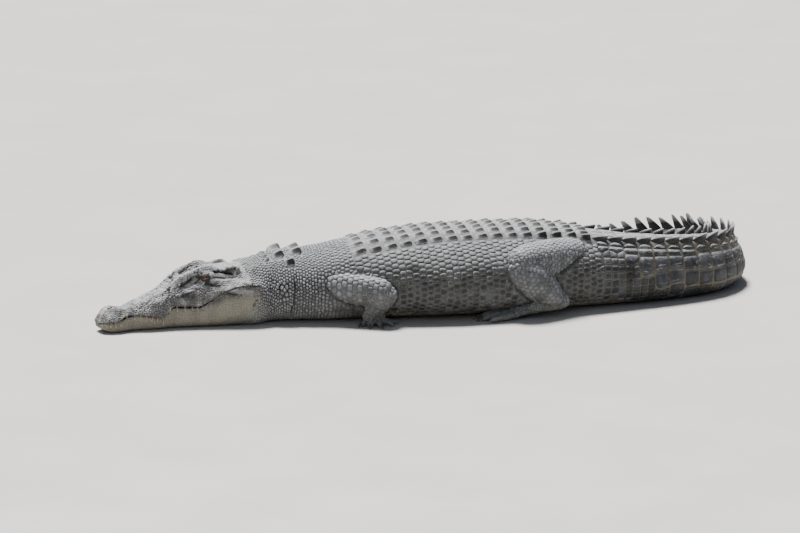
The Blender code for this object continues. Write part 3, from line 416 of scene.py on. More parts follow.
def new_mesh(name, points, quads=(), tris=()):
    """A mesh object from arrays of points and of quads and/or triangles."""
    quads = np.asarray(quads, np.int32).reshape(-1, 4)
    tris = np.asarray(tris, np.int32).reshape(-1, 3)
    mesh = bpy.data.meshes.new(name)
    mesh.vertices.add(len(points))
    mesh.vertices.foreach_set("co", np.asarray(points, np.float32).ravel())
    mesh.loops.add(quads.size + tris.size)
    mesh.loops.foreach_set("vertex_index", np.concatenate([quads.ravel(), tris.ravel()]).astype(np.int32))
    mesh.polygons.add(len(quads) + len(tris))
    starts = np.concatenate([np.arange(len(quads)) * 4, quads.size + np.arange(len(tris)) * 3])
    mesh.polygons.foreach_set("loop_start", starts.astype(np.int32))
    mesh.update(calc_edges=True)
    mesh.validate()
    obj = bpy.data.objects.new(name, mesh)
    bpy.context.scene.collection.objects.link(obj)
    return obj


def points_of(obj):
    p = np.empty(len(obj.data.vertices) * 3, np.float32)
    obj.data.vertices.foreach_get("co", p)
    return p.reshape(-1, 3).astype(float)


def set_points(obj, p):
    obj.data.vertices.foreach_set("co", np.asarray(p, np.float32).ravel())
    obj.data.update()


def normals_of(obj):
    n = np.empty(len(obj.data.vertices) * 3, np.float32)
    obj.data.vertex_normals.foreach_get("vector", n)
    return n.reshape(-1, 3).astype(float)


def edges_of(obj):
    e = np.empty(len(obj.data.edges) * 2, np.int32)
    obj.data.edges.foreach_get("vertices", e)
    return e.reshape(-1, 2)


def relax(p, edges, weight, times):
    """Moves each point towards its neighbours' mean, as far as weight says."""
    count = np.bincount(edges.ravel(), minlength=len(p)).astype(float)[:, None]
    for _ in range(times):
        total = np.zeros_like(p)
        for k in range(3):
            total[:, k] = np.bincount(edges[:, 0], p[edges[:, 1], k], len(p)) + np.bincount(edges[:, 1], p[edges[:, 0], k], len(p))
        p = p + weight[:, None] * (total / np.maximum(count, 1) - p)
    return p


def applied(obj):
    """The object's modifiers, applied."""
    bpy.context.view_layer.update()
    mesh = bpy.data.meshes.new_from_object(obj.evaluated_get(bpy.context.evaluated_depsgraph_get()))
    obj.modifiers.clear()
    old = obj.data
    obj.data = mesh
    bpy.data.meshes.remove(old)
    return obj


def put(obj, name, values):
    """A vector attribute on the points, for the materials to read."""
    a = obj.data.attributes.new(name, "FLOAT_VECTOR", "POINT")
    a.data.foreach_set("vector", np.asarray(values, np.float32).ravel())


def body_coordinates(p):
    """(s, lat) of points in the model's frame. The body bends back on itself, so the nearest station counts."""
    tree = KDTree(801)
    for k in range(0, 4001, 5):
        tree.insert((_X[k], _Y[k], 0), k)
    tree.balance()
    s = np.array([tree.find((q[0], q[1], 0))[1] for q in p]) * 0.001
    for _ in range(3):
        h = np.radians(HEADING(s))
        dx, dy = p[:, 0] - np.interp(s, _S, _X), p[:, 1] - np.interp(s, _S, _Y)
        s = np.clip(s + dx * np.cos(h) + dy * np.sin(h), -0.01, TOTAL_LENGTH)
    h = np.radians(HEADING(s))
    dx, dy = p[:, 0] - np.interp(s, _S, _X), p[:, 1] - np.interp(s, _S, _Y)
    return s, -dx * np.sin(h) + dy * np.cos(h)


# ----------------------------------------------------------------------------------------------
# The skin of head, neck, trunk and tail: a grid over (s, v), v from the top mid-line 0 to the belly 1
# ----------------------------------------------------------------------------------------------
S_TABLE = np.concatenate([np.linspace(0.0022, 0.70, 330), np.linspace(0.70, 3.994, 560)[1:]])
N_TOP, N_LOW_ = 110, 60
V_TABLE = np.concatenate([np.linspace(0, MOUTH_V, N_TOP), np.linspace(MOUTH_V, 1, N_LOW_ + 1)[1:]])
TABLE = np.array([half_ring(float(s), N_TOP, N_LOW_, -COAT) for s in S_TABLE])
TABLE[:, :, 0] = np.maximum(TABLE[:, :, 0], 0)


def at(s, v):
    """(lat, z) of the plain skin at s and v, for arrays of both."""
    s, v = np.broadcast_arrays(np.asarray(s, float), v)
    i = np.clip(np.searchsorted(S_TABLE, s) - 1, 0, len(S_TABLE) - 2)
    j = np.clip(np.searchsorted(V_TABLE, v) - 1, 0, len(V_TABLE) - 2)
    a = np.clip((s - S_TABLE[i]) / (S_TABLE[i + 1] - S_TABLE[i]), 0, 1)[..., None]
    b = np.clip((v - V_TABLE[j]) / (V_TABLE[j + 1] - V_TABLE[j]), 0, 1)[..., None]
    return (TABLE[i, j] * (1 - a) + TABLE[i + 1, j] * a) * (1 - b) + (TABLE[i, j + 1] * (1 - a) + TABLE[i + 1, j + 1] * a) * b


RING_LENGTH = np.linalg.norm(np.diff(TABLE, axis=1), axis=2).sum(1)
ARC = np.concatenate([np.zeros((len(S_TABLE), 1)), np.cumsum(np.linalg.norm(np.diff(TABLE, axis=1), axis=2), axis=1)], axis=1)


def v_at_lat(s, lat):
    """v on the upper side at a distance lat from the mid-line."""
    out = np.empty(len(s))
    for k, (one, want) in enumerate(zip(s, lat)):
        row = TABLE[min(np.searchsorted(S_TABLE, one), len(S_TABLE) - 1)]
        w = int(np.argmax(row[:, 0]))
        out[k] = np.interp(want, np.maximum.accumulate(row[: w + 1, 0]) + np.arange(w + 1) * 1e-9, V_TABLE[: w + 1])
    return out


def v_at_arc(s, arc):
    """v at a distance along the ring from the top mid-line."""
    out = np.empty(len(s))
    for k, (one, want) in enumerate(zip(s, arc)):
        i = min(np.searchsorted(S_TABLE, one), len(S_TABLE) - 1)
        out[k] = np.interp(want, ARC[i], V_TABLE)
    return out


# The mouth line's height along the head, and so its v
GAPE = smooth(
    (0.0, 0.040), (0.034, 0.040), (0.067, 0.043), (0.106, 0.060), (0.140, 0.063), (0.190, 0.058), (0.221, 0.052), (0.246, 0.046),
    (0.262, 0.056), (0.276, 0.070), (0.300, 0.086), (0.345, 0.085), (0.392, 0.084), (0.436, 0.107), (0.478, 0.134),
    (0.530, 0.158), (0.575, 0.165), (0.62, 0.165),
)
V_GAPE = np.full(len(S_TABLE), MOUTH_V)
for _i, _s in enumerate(S_TABLE):
    if _s < 0.62:
        _row = TABLE[_i]
        _w = int(len(V_TABLE) * 0.40)
        _z = np.minimum.accumulate(_row[_w:, 1]) - np.arange(len(V_TABLE) - _w) * 1e-9
        V_GAPE[_i] = np.interp(-float(GAPE(_s)), -_z, V_TABLE[_w:])
V_GAPE = np.where(S_TABLE < 0.08, MOUTH_V + (V_GAPE - MOUTH_V) * step(0.02, 0.08, S_TABLE), V_GAPE)
_fade = 1 - step(0.60, 0.66, S_TABLE)
_kernel = np.hanning(9) / np.hanning(9).sum()
V_GAPE[:330] = np.convolve(np.pad(V_GAPE[:330], 4, mode="edge"), _kernel, mode="valid")
V_GAPE = MOUTH_V + (V_GAPE - MOUTH_V) * _fade


def gape_v(s):
    return np.interp(s, S_TABLE, V_GAPE)


def spread(n, dense):
    """n + 1 shares from 0 to 1, closer together where dense(t) is larger."""
    t = np.linspace(0, 1, 2001)
    c = np.concatenate([[0], np.cumsum((dense(t)[1:] + dense(t)[:-1]) / 2)])
    return np.interp(np.linspace(0, c[-1], n + 1), c, t)


# the eye's row on the ring
_ring = at(np.full(400, EYE_S), np.linspace(0.02, 0.5, 400))
EYE_OUT = unit([0.90, 0.42])
EYE_V = float(np.linspace(0.02, 0.5, 400)[np.argmin(np.abs((_ring - [EYE_LAT, EYE_Z]) @ [-EYE_OUT[1], EYE_OUT[0]]))])
_k = np.searchsorted(S_TABLE, EYE_S)
METRES_PER_V = float((np.interp(EYE_V + 0.03, V_TABLE, ARC[_k]) - np.interp(EYE_V - 0.03, V_TABLE, ARC[_k])) / 0.06)
EYE_GRID = 13  # grid lines either side of the eye that bend round its opening
EYE_STEP = 0.0021
_dv = EYE_STEP / METRES_PER_V
_N1, _N2, _N3 = 26, 46, 32
_v1 = EYE_V - _dv * EYE_GRID
_v2 = EYE_V + _dv * EYE_GRID
VH = np.concatenate([
    _v1 * spread(_N1 - EYE_GRID, lambda t: 1 + 0.4 * t)[:-1],
    EYE_V + _dv * np.arange(-EYE_GRID, EYE_GRID + 1),
    _v2 + (MOUTH_V - _v2) * spread(_N2 - EYE_GRID, lambda t: 1 + 0.4 * (1 - t) + 5.5 * np.exp(-(((1 - t) / 0.13) ** 2)))[1:],
    MOUTH_V + (1 - MOUTH_V) * spread(_N3, lambda t: 1 + 6.0 * np.exp(-((t / 0.10) ** 2)))[1:],
])
HALF = len(VH) - 1
J_EYE, J_MOUTH = _N1, _N1 + _N2
assert HALF % 2 == 0


def stations(parts):
    """Stations through (end, spacing) parts, starting at the first end."""
    out = [parts[0][0]]
    for end, gap in parts[1:]:
        n = max(1, round((end - out[-1]) / gap))
        out += list(np.linspace(out[-1], end, n + 1)[1:])
    return np.array(out)


HEAD_BREAK = 0.66
_e = EYE_STEP * EYE_GRID
S_HEAD = stations([(0.0026, 0), (0.012, 0.0016), (0.030, 0.0026), (0.075, 0.0024), (0.20, 0.0038), (0.32, 0.0036), (EYE_S - _e, 0.0036), (EYE_S + _e, EYE_STEP), (0.58, 0.0037), (HEAD_BREAK, 0.0046)])
I_EYE = int(np.argmin(np.abs(S_HEAD - EYE_S)))
S_BODY = stations([(HEAD_BREAK, 0), (0.70, 0.008), (1.0, 0.0110), (1.95, 0.0140), (2.3, 0.0125), (3.1, 0.0130), (3.75, 0.0120), (3.94, 0.009), (3.992, 0.006)])[1:]

# Where each grid point of the head sits on (s, v)
SG, VG = np.meshgrid(S_HEAD, VH, indexing="ij")
_shift = np.interp(SG, S_TABLE, V_GAPE) - MOUTH_V
_lift = np.where(VG < MOUTH_V, step(0.34, MOUTH_V, VG), 1 - step(MOUTH_V, 0.96, VG))
# the lift is linear near the mouth line, so that the lines stay evenly spread
_lift = np.where(VG < MOUTH_V, np.clip((VG - 0.40) / (MOUTH_V - 0.40), 0, 1), np.clip((0.97 - VG) / (0.97 - MOUTH_V), 0, 1))
VG = VG + _shift * _lift

# The eye's opening: an almond, its front corner a little lower
LID_IN = 5  # grid lines from the eye's middle to the lid's edge
OPEN_A, OPEN_B, OPEN_TILT = 0.0158, 0.0092, math.radians(-9)
_di, _dj = np.meshgrid(np.arange(-EYE_GRID, EYE_GRID + 1), np.arange(-EYE_GRID, EYE_GRID + 1), indexing="ij")
_level = np.maximum(np.abs(_di), np.abs(_dj)).astype(float)
_a, _b = -_di * EYE_STEP, -_dj * EYE_STEP  # forward, up
_phi = np.arctan2(_b, _a)
_square = np.hypot(_a, _b)
_p = _phi - OPEN_TILT
_b_here = np.where(np.sin(_p) > 0, OPEN_B * 0.86, OPEN_B * 1.02)
_almond = (np.abs(np.cos(_p) / OPEN_A) ** 1.75 + np.abs(np.sin(_p) / _b_here) ** 1.9) ** (-1 / 1.8)
_edge_square = np.where(_level > 0, _square / np.maximum(_level, 1) * EYE_GRID, 0)
_t = np.clip((_level - LID_IN) / (EYE_GRID - LID_IN), 0, 1)
_radius = np.where(_level >= LID_IN, _almond + (_edge_square - _almond) * _t**1.15, _almond * _level / LID_IN)
EYE_A, EYE_B, EYE_T, EYE_LEVEL = _radius * np.cos(_phi), _radius * np.sin(_phi), _t, _level
_win = (slice(I_EYE - EYE_GRID, I_EYE + EYE_GRID + 1), slice(J_EYE - EYE_GRID, J_EYE + EYE_GRID + 1))
_away = _t**1.0
SG[_win] = np.where(_level > 0, EYE_S - EYE_A, SG[_win])
VG[_win] = np.where(_level > 0, EYE_V - EYE_B / METRES_PER_V, VG[_win])

SIDES = (1, -1)
EYE_AXES = {}


def eye_frame(side):
    """Centre and axes (forward, up, out) of an eye, in (-s, lat, z) body coordinates at the eye's station."""
    out = unit([0.16, 0.90 * side, 0.40])
    fwd = np.array([1.0, 0.0, 0.0])
    fwd = unit(fwd - out * (fwd @ out))
    up = unit(np.cross(out, fwd)) * (1 if side > 0 else -1)
    if up[2] < 0:
        up = -up
    return fwd, up, out


def line_distance(s, z, points):
    """Distance from (s, z) to a bent line, and the share of the way along it."""
    points = np.asarray(points, float)
    best, share = np.full(np.shape(s), 9.0), np.zeros(np.shape(s))
    n = len(points) - 1
    for k in range(n):
        a, b = points[k], points[k + 1]
        d = b - a
        t = np.clip(((s - a[0]) * d[0] + (z - a[1]) * d[1]) / (d @ d), 0, 1)
        r = np.hypot(s - a[0] - t * d[0], z - a[1] - t * d[1])
        share = np.where(r < best, (k + t) / n, share)
        best = np.minimum(r, best)
    return best, share


def ends(share, soft=0.15):
    """1 along a line, falling to 0 at both ends."""
    return step(0, soft, share) * (1 - step(1 - soft, 1, share))


# Folds and ridges of the head's side, as (s, z) lines with a height (below 0 a groove) and a width
SIDE_LINES = (
    (((0.415, 0.200), (0.459, 0.207), (0.513, 0.195), (0.549, 0.197), (0.610, 0.188)), 0.0042, 0.0060),
    (((0.445, 0.1965), (0.480, 0.1925), (0.515, 0.1865), (0.550, 0.188)), -0.0042, 0.0032),
    (((0.440, 0.189), (0.486, 0.182), (0.523, 0.183), (0.570, 0.184)), 0.0040, 0.0058),
    (((0.395, 0.180), (0.430, 0.171), (0.482, 0.163), (0.530, 0.174)), -0.0050, 0.0085),
    (((0.487, 0.139), (0.530, 0.131), (0.600, 0.126), (0.650, 0.127)), -0.0045, 0.0056),
    (((0.505, 0.150), (0.560, 0.148), (0.620, 0.142)), 0.0040, 0.0085),
    (((0.505, 0.124), (0.560, 0.118), (0.620, 0.115)), 0.0020, 0.0090),
    (((0.560, 0.171), (0.600, 0.162), (0.655, 0.156)), -0.0032, 0.0058),
    (((0.630, 0.112), (0.617, 0.096), (0.604, 0.074)), -0.0060, 0.0062),
    (((0.300, 0.128), (0.345, 0.139), (0.392, 0.150)), 0.0034, 0.0055),
    (((0.300, 0.119), (0.345, 0.129), (0.392, 0.139)), -0.0034, 0.0048),
    (((0.336, 0.158), (0.360, 0.166), (0.398, 0.178)), -0.0046, 0.0060),
)
# The slit of the ear, under the edge of the cranial table
EAR_LINE = ((0.459, 0.2150), (0.485, 0.2135), (0.510, 0.2085), (0.545, 0.2025))


def cracks(s, lat, z):
    """1 along the crooked clefts between the knobs of the snout's roof, 0 on the knobs."""
    at_ = np.stack(np.broadcast_arrays(s, lat, z), -1)
    where = step(0.095, 0.14, s) * (1 - step(0.40, 0.46, s))
    wide = np.exp(-((noise(at_ * [1.25, 1.0, 1.0], 0.026, 21) / 0.10) ** 2)) * step(-0.5, 0.3, noise(at_, 0.040, 24))
    thin = np.exp(-((noise(at_ * [1.0, 1.3, 1.0], 0.015, 23) / 0.09) ** 2)) * 0.6
    return where * np.maximum(wide, thin)


def head_half(side):
    """Grid of (s, lat, z) for one side of the head, lat positive, with every feature in it."""
    q = np.concatenate([SG[..., None], at(SG, VG)], -1)
    ds = np.gradient(q, axis=0)
    dv = np.gradient(q, axis=1)
    n = unit(np.cross(ds, dv))
    n[:, 0] = [0, 0, 1]
    n[:, -1] = [0, 0, -1]
    s, lat, z, v = q[..., 0], q[..., 1], q[..., 2], VG
    real = q * [1, side, 1]
    f = s / HEAD_LENGTH
    top = 1 - step(0.30, 0.46, v)
    d = np.zeros_like(s)

    # broad unevenness of the skull under thin skin, and the rugose roof of the snout
    d += 0.0016 * rough(real, 0.045, 1, 2) * (1 - 0.6 * step(MOUTH_V, 0.7, v))
    snout = step(0.10, 0.15, s) * (1 - step(0.33, 0.40, s))
    d += top * snout * (0.0020 * noise(real, 0.017, 3) + 0.0013 * noise(real * [1, 1.6, 1], 0.0085, 4))
    d += (1 - top) * (v < MOUTH_V) * snout * 0.0010 * noise(real, 0.012, 5)
    d -= 0.0036 * cracks(s, lat * side, z) * (1 - step(0.38, 0.50, v))
    d += 0.0022 * np.abs(noise(real * [1.3, 1, 1], 0.024, 22)) * (1 - step(0.34, 0.46, v)) * step(0.08, 0.13, s)
    # a shallow lengthways hollow down the middle, between two knobbly ridges
    ridge = np.exp(-(((lat - H_RIDGE_LAT(s)) / 0.0085) ** 2)) * (v < 0.40)
    along = step(0.17, 0.24, s) * (1 - step(0.385, 0.40, s))
    knob = 0.55 + 0.45 * np.sin(2 * np.pi * s / 0.0185 + 1.7 * noise(real, 0.05, 6))
    d += ridge * along * (0.0018 + 0.0040 * knob * step(0.24, 0.36, s))
    d -= 0.0045 * np.exp(-(((lat - H_RIDGE_LAT(s) - 0.019) / 0.009) ** 2)) * (v < 0.45) * step(0.315, 0.345, s) * (1 - step(0.388, 0.408, s))
    d += 0.0022 * np.exp(-((lat / 0.012) ** 2)) * (v < 0.3) * hump(s, 0.385, 0.035)
    d -= 0.0035 * np.exp(-((lat / 0.024) ** 2)) * (v < 0.3) * hump(s, 0.435, 0.036)  # between the orbits

    # the raised disc of the nose, and its two crescent nostrils
    disc = np.exp(-(((s - 0.050) / 0.027) ** 4) - (lat / 0.030) ** 4) * (v < 0.42)
    d += 0.0050 * disc
    d += 0.0014 * noise(real, 0.010, 7) * disc
    for radius, deep, wide in ((0.0090, -0.0090, 0.0030), (0.0150, 0.0016, 0.0034), (0.0030, 0.0022, 0.0036)):
        x, y = s - 0.0485, lat - 0.0090
        turn = np.arctan2(x, y)
        on = 1 - step(1.35, 1.85, np.abs(turn))
        d += deep * on * np.exp(-(((np.hypot(x, y) - radius) / wide) ** 2)) * (v < 0.42)
    d += 0.0016 * hump(s, 0.092, 0.010) * top  # the saddle behind the disc has a low cross ridge
    d -= 0.0016 * hump(s, 0.108, 0.010) * top

    # cranial table: a flat plate with a raised, knobbly edge and a rear corner that stands up
    table = step(0.462, 0.490, s) * (1 - step(0.566, 0.582, s))
    edge = np.exp(-(((lat - H_RIDGE_LAT(s)) / 0.0070) ** 2)) * (v < 0.36)
    d += edge * table * (0.0026 + 0.0012 * np.sin(2 * np.pi * s / 0.017))
    corner = step(0.505, 0.552, s) * (1 - step(0.562, 0.584, s)) * np.exp(-(((lat - H_RIDGE_LAT(s) + 0.006) / 0.017) ** 2)) * (v < 0.40)
    d += corner * (0.0085 if side < 0 else 0.0035)
    under = step(0.495, 0.520, s) * (1 - step(0.560, 0.575, s)) * np.exp(-(((lat - H_RIDGE_LAT(s) - 0.009) / 0.0075) ** 2)) * (v > 0.1) * (v < 0.42)
    d -= under * 0.0060
    d += 0.0075 * np.exp(-(((s - 0.549) / 0.011) ** 2) - (((z - 0.2065) / 0.0085) ** 2)) * (v > 0.12) * (v < 0.5)  # knob behind the ear
    d -= 0.0020 * hump(s, 0.590, 0.010) * (v < 0.34)  # the step down from the table to the neck

    # folds, ridges and the ear's slit with its flap
    side_on = step(0.14, 0.22, v)
    for line, high, wide in SIDE_LINES:
        r, share = line_distance(s, z, line)
        d += high * np.exp(-((r / wide) ** 2)) * ends(share) * side_on * (1 + 0.25 * noise(real, 0.016, 8))
    r, share = line_distance(s, z, EAR_LINE)
    slit = ends(share, 0.10)
    d -= 0.0085 * np.exp(-((r / 0.0030) ** 2)) * slit * side_on
    r2, share2 = line_distance(s, z - 0.0075, EAR_LINE)
    d += 0.0038 * np.exp(-((r2 / 0.0045) ** 2)) * ends(share2, 0.1) * side_on

    # the mouth: a deep line, the upper lip rolled over it and swollen over each large tooth
    vg = gape_v(s)
    ring_len = np.interp(s, S_TABLE, RING_LENGTH)
    up = (vg - v) * np.interp(s, S_TABLE, np.gradient(ARC, V_TABLE, axis=1)[np.arange(len(S_TABLE)), np.argmin(np.abs(V_TABLE - 0.58))])
    dn = (v - vg) * np.interp(s, S_TABLE, np.gradient(ARC, V_TABLE, axis=1)[np.arange(len(S_TABLE)), np.argmin(np.abs(V_TABLE - 0.68))])
    m = 1 - step(0.575, 0.625, s)
    off = np.where(v <= vg, up, dn)
    d -= m * 0.0085 * np.exp(-((off / 0.0017) ** 2)) * (0.55 + 0.45 * (1 - step(0.42, 0.56, s)))
    d += m * 0.0016 * np.exp(-(((off - 0.0052) / 0.0034) ** 2)) * (v <= vg)
    d += m * 0.0008 * np.exp(-(((off - 0.0050) / 0.0036) ** 2)) * (v > vg)
    swell = sum(0.5 * length / 0.02 * np.exp(-(((s - ft * HEAD_LENGTH) / 0.0075) ** 2)) for ft, length in UPPER_TEETH)
    d += m * 0.0030 * swell * np.exp(-(((off - 0.0075) / 0.0070) ** 2)) * (v <= vg)
    pinch = sum(np.exp(-(((s - (a[0] + b[0]) / 2 * HEAD_LENGTH) / 0.0045) ** 2)) for a, b in zip(UPPER_TEETH, UPPER_TEETH[1:]))
    d -= m * 0.0010 * pinch * np.exp(-(((off - 0.0050) / 0.0050) ** 2)) * (v <= vg)
    # lower jaw: faint creases along it, deeper near the throat
    jaw = step(vg + 0.05, vg + 0.11, v)
    d += jaw * 0.0007 * noise(real * [0.35, 1, 1], 0.011, 9)
    d += jaw * step(0.38, 0.60, s) * 0.0011 * noise(real * [0.6, 1, 1.2], 0.020, 10)
    d *= step(-0.002, 0.012, s)
    q = q + n * d[..., None]

    # eye: lids over the ball, a heavy brow above it, and the rim that turns in behind the ball
    fwd, upw, out = eye_frame(1)
    centre = np.array([EYE_S, EYE_LAT, EYE_Z])
    to_straight = np.array([-1.0, 1.0, 1.0])  # forward is minus s
    here = (q[_win] - centre) * to_straight
    a0, b0, c0 = here @ fwd, here @ upw, here @ out
    a1, b1 = EYE_A, EYE_B
    t = EYE_T
    ball = EYE_R + 0.0009 + 0.0026 * np.sqrt(t)
    c1 = np.sqrt(np.maximum(ball**2 - a1**2 - b1**2, (0.30 * EYE_R) ** 2))
    w = step(0.10, 0.95, t)
    a, b, c = (1 - w) * a1 + w * a0, (1 - w) * b1 + w * b0, (1 - w) * c1 + w * c0
    above = step(-0.002, 0.010, b1)
    c += above * 0.0042 * np.exp(-(((t - 0.52) / 0.20) ** 2)) * (1 - step(0.9, 1, t))
    c += (1 - above) * 0.0018 * np.exp(-(((t - 0.42) / 0.16) ** 2))
    c -= 0.0022 * np.exp(-(((t - 0.27) / 0.09) ** 2)) * (0.5 + 0.5 * above)
    c += 0.0005 * np.sin(t * 34) * step(0.03, 0.15, t) * (1 - step(0.6, 0.95, t))
    c -= 0.0026 * np.exp(-(((a1 - 0.0185) / 0.005) ** 2) - (((b1 + 0.004) / 0.0035) ** 2)) * (t > 0)  # inner corner
    # inside the opening the skin turns in and closes behind the ball
    k = EYE_LEVEL / LID_IN
    inside = EYE_LEVEL < LID_IN
    shrink = np.where(EYE_LEVEL == LID_IN - 1, 1.22, 1.15)
    a = np.where(inside, a1 * shrink * 0.98, a)
    b = np.where(inside, b1 * shrink * 0.98, b)
    c_in = np.where(EYE_LEVEL == LID_IN - 1, EYE_R * 0.52, EYE_R * 0.20)
    c = np.where(inside, c_in, c)
    q[_win] = centre + (a[..., None] * fwd + b[..., None] * upw + c[..., None] * out) * to_straight
    return q


# Teeth: (share of the head's length, length)
UPPER_TEETH = (
    (0.034, 0.010), (0.064, 0.012), (0.098, 0.019), (0.137, 0.014), (0.245, 0.011), (0.285, 0.012), (0.325, 0.013),
    (0.365, 0.015), (0.402, 0.018), (0.446, 0.027), (0.550, 0.012), (0.605, 0.011), (0.655, 0.008), (0.690, 0.008), (0.725, 0.007),
)
LOWER_TEETH = ((0.188, 0.024), (0.494, 0.022))

_right, _left = head_half(1), head_half(-1)
for _j in (0, HALF):
    _mid = (_right[:, _j] + _left[:, _j]) / 2
    _mid[:, 1] = 0
    _right[:, _j] = _left[:, _j] = _mid


def body_half(side):
    """Grid of (s, lat, z) from behind the head to the tail's end, one side, on every second line of the head's grid."""
    even = VH[::2]
    uniform = np.linspace(0, 1, len(even))
    blend = step(HEAD_BREAK - 0.01, 0.95, S_BODY)[:, None]
    v = even * (1 - blend) + uniform * blend
    s = np.broadcast_to(S_BODY[:, None], v.shape)
    q = np.concatenate([s[..., None], at(s, v)], -1)
    ds, dv = np.gradient(q, axis=0), np.gradient(q, axis=1)
    n = unit(np.cross(ds, dv))
    n[:, 0], n[:, -1] = [0, 0, 1], [0, 0, -1]
    lat, z = q[..., 1], q[..., 2]
    real = q * [1, side, 1]
    d = 0.0022 * rough(real, 0.085, 11, 2) * step(0.004, 0.03, z)
    # under each lengthways row of plates the hide stands up a little; along the tail it carries the crests
    top = z > 0.4 * TOP(s)
    crest = np.exp(-(((lat - CREST_LAT(s)) / (0.010 + 0.004 * step(1.9, 2.0, s))) ** 2)) * top
    d += crest * CREST_TALL(s) * (0.10 + 0.16 * step(1.80, 2.3, s)) * step(1.00, 1.06, s)
    # folds of the neck, and the flank's sag over the ground
    d += 0.0035 * noise(real * [1, 0.35, 0.35], 0.050, 12) * hump(s, 0.80, 0.14) * step(0.01, 0.06, z)
    d -= 0.0050 * np.exp(-(((s - 0.700 - 0.18 * (z - 0.13)) / 0.012) ** 2)) * step(0.02, 0.05, z) * (1 - step(0.17, 0.23, z))
    d += 0.0030 * np.exp(-(((s - 0.728 - 0.18 * (z - 0.13)) / 0.018) ** 2)) * step(0.02, 0.05, z) * (1 - step(0.17, 0.23, z))
    side_z = step(0.015, 0.045, z) * (1 - step(0.150, 0.215, z))
    d -= 0.0105 * np.exp(-(((s - 0.806 - 0.10 * (z - 0.10)) / 0.0120) ** 2)) * side_z
    d += 0.0060 * np.exp(-(((s - 0.765 - 0.10 * (z - 0.10)) / 0.0260) ** 2)) * side_z
    d += 0.0040 * np.exp(-(((s - 0.838 - 0.10 * (z - 0.10)) / 0.0200) ** 2)) * side_z
    # shallow wrinkles of slack skin behind each leg
    d -= 0.0035 * noise(real * [1, 0.3, 0.3], 0.030, 14) * (np.exp(-(((s - 1.11) / 0.05) ** 2)) + np.exp(-(((s - 2.06) / 0.06) ** 2))) * side_z
    d *= 1 - step(3.7, 3.95, s) * 0.8
    return q + n * d[..., None]


_b_right, _b_left = body_half(1), body_half(-1)
for _j in (0, HALF // 2):
    _mid = (_b_right[:, _j] + _b_left[:, _j]) / 2
    _mid[:, 1] = 0
    _b_right[:, _j] = _b_left[:, _j] = _mid


def whole(right, left):
    """Both halves as closed rings: down the right side, then up the left."""
    l = left * [1, -1, 1]
    return np.concatenate([right, l[:, -2:0:-1]], axis=1)


def closed_grid():
    """Points, quads and triangles of the whole body, snout to tail, closed at both ends."""
    h, b = whole(_right, _left), whole(_b_right, _b_left)
    nh, nb = h.shape[1], b.shape[1]
    assert nh == 2 * nb
    pts = np.concatenate([h.reshape(-1, 3), b.reshape(-1, 3)])
    quads, tris = [], []

    def band(base, rows, n):
        i, j = np.meshgrid(np.arange(rows - 1), np.arange(n), indexing="ij")
        k = (j + 1) % n
        quads.append(np.stack([base + i * n + j, base + (i + 1) * n + j, base + (i + 1) * n + k, base + i * n + k], -1).reshape(-1, 4))

    band(0, h.shape[0], nh)
    start = h.size // 3
    band(start, b.shape[0], nb)
    last = (h.shape[0] - 1) * nh
    for j in range(nb):
        f0, f1, f2 = last + 2 * j, last + 2 * j + 1, last + (2 * j + 2) % nh
        c0, c1 = start + j, start + (j + 1) % nb
        tris += [(f0, c0, f1), (f1, c0, c1), (f1, c1, f2)]
    # the snout's tip and the tail's tip close over two shrinking rings each
    extra = []
    count = len(pts)

    def close(ring_ids, ring, centre, steps, flip):
        nonlocal count
        n = len(ring_ids)
        previous = np.asarray(ring_ids)
        for scale, move in steps:
            new = centre + (ring - centre) * scale
            new[:, 0] += move
            extra.append(new)
            ids = count + np.arange(n)
            count += n
            j, k = np.arange(n), (np.arange(n) + 1) % n
            q = np.stack([previous[j], ids[j], ids[k], previous[k]], -1)
            quads.append(q if not flip else q[:, ::-1])
            previous = ids
        extra.append((centre + [steps[-1][1], 0, 0])[None])
        tip = count
        count += 1
        for j in range(n):
            k = (j + 1) % n
            tris.append((previous[j], tip, previous[k]) if not flip else (previous[j], previous[k], tip))

    close(np.arange(nh), h[0], h[0].mean(0), ((0.90, -0.0016), (0.70, -0.0028), (0.45, -0.0034), (0.2, -0.0036)), True)
    tail_ids = start + (b.shape[0] - 1) * nb + np.arange(nb)
    close(tail_ids, b[-1], b[-1].mean(0), ((0.75, 0.0016), (0.4, 0.0024)), False)
    pts = np.concatenate([pts] + extra)
    return pts, np.concatenate(quads), np.array(tris)


straight, QUADS, TRIS = closed_grid()
straight[:, 2] = np.maximum(straight[:, 2], 0.0016)
body_skin = new_mesh("skin", place(straight[:, 0], straight[:, 1], straight[:, 2]), QUADS, TRIS)
N_BODY = len(straight)


# ----------------------------------------------------------------------------------------------
# Legs: tubes through the limb's lengths, toes with knuckles and webs, melted together and joined to the body
# ----------------------------------------------------------------------------------------------
def tube_rings(a, b, deep, keys, n, around, slim):
    axis = unit(b - a)
    deep = np.asarray(deep, float)
    deep = unit(deep - axis * (deep @ axis))
    wide = np.cross(axis, deep)
    t = np.linspace(0, 2 * np.pi, around, endpoint=False)
    k = np.array(keys)
    width, depth = smooth(*k[:, :2]), smooth(*[(x[0], x[2]) for x in keys])
    out = []
    for share in np.linspace(0, 1, n):
        w, d = max(float(width(share)) - slim, 0.004), max(float(depth(share)) - slim, 0.004)
        out.append(a + (b - a) * share + w * np.cos(t)[:, None] * wide + d * np.sin(t)[:, None] * deep)
    return out


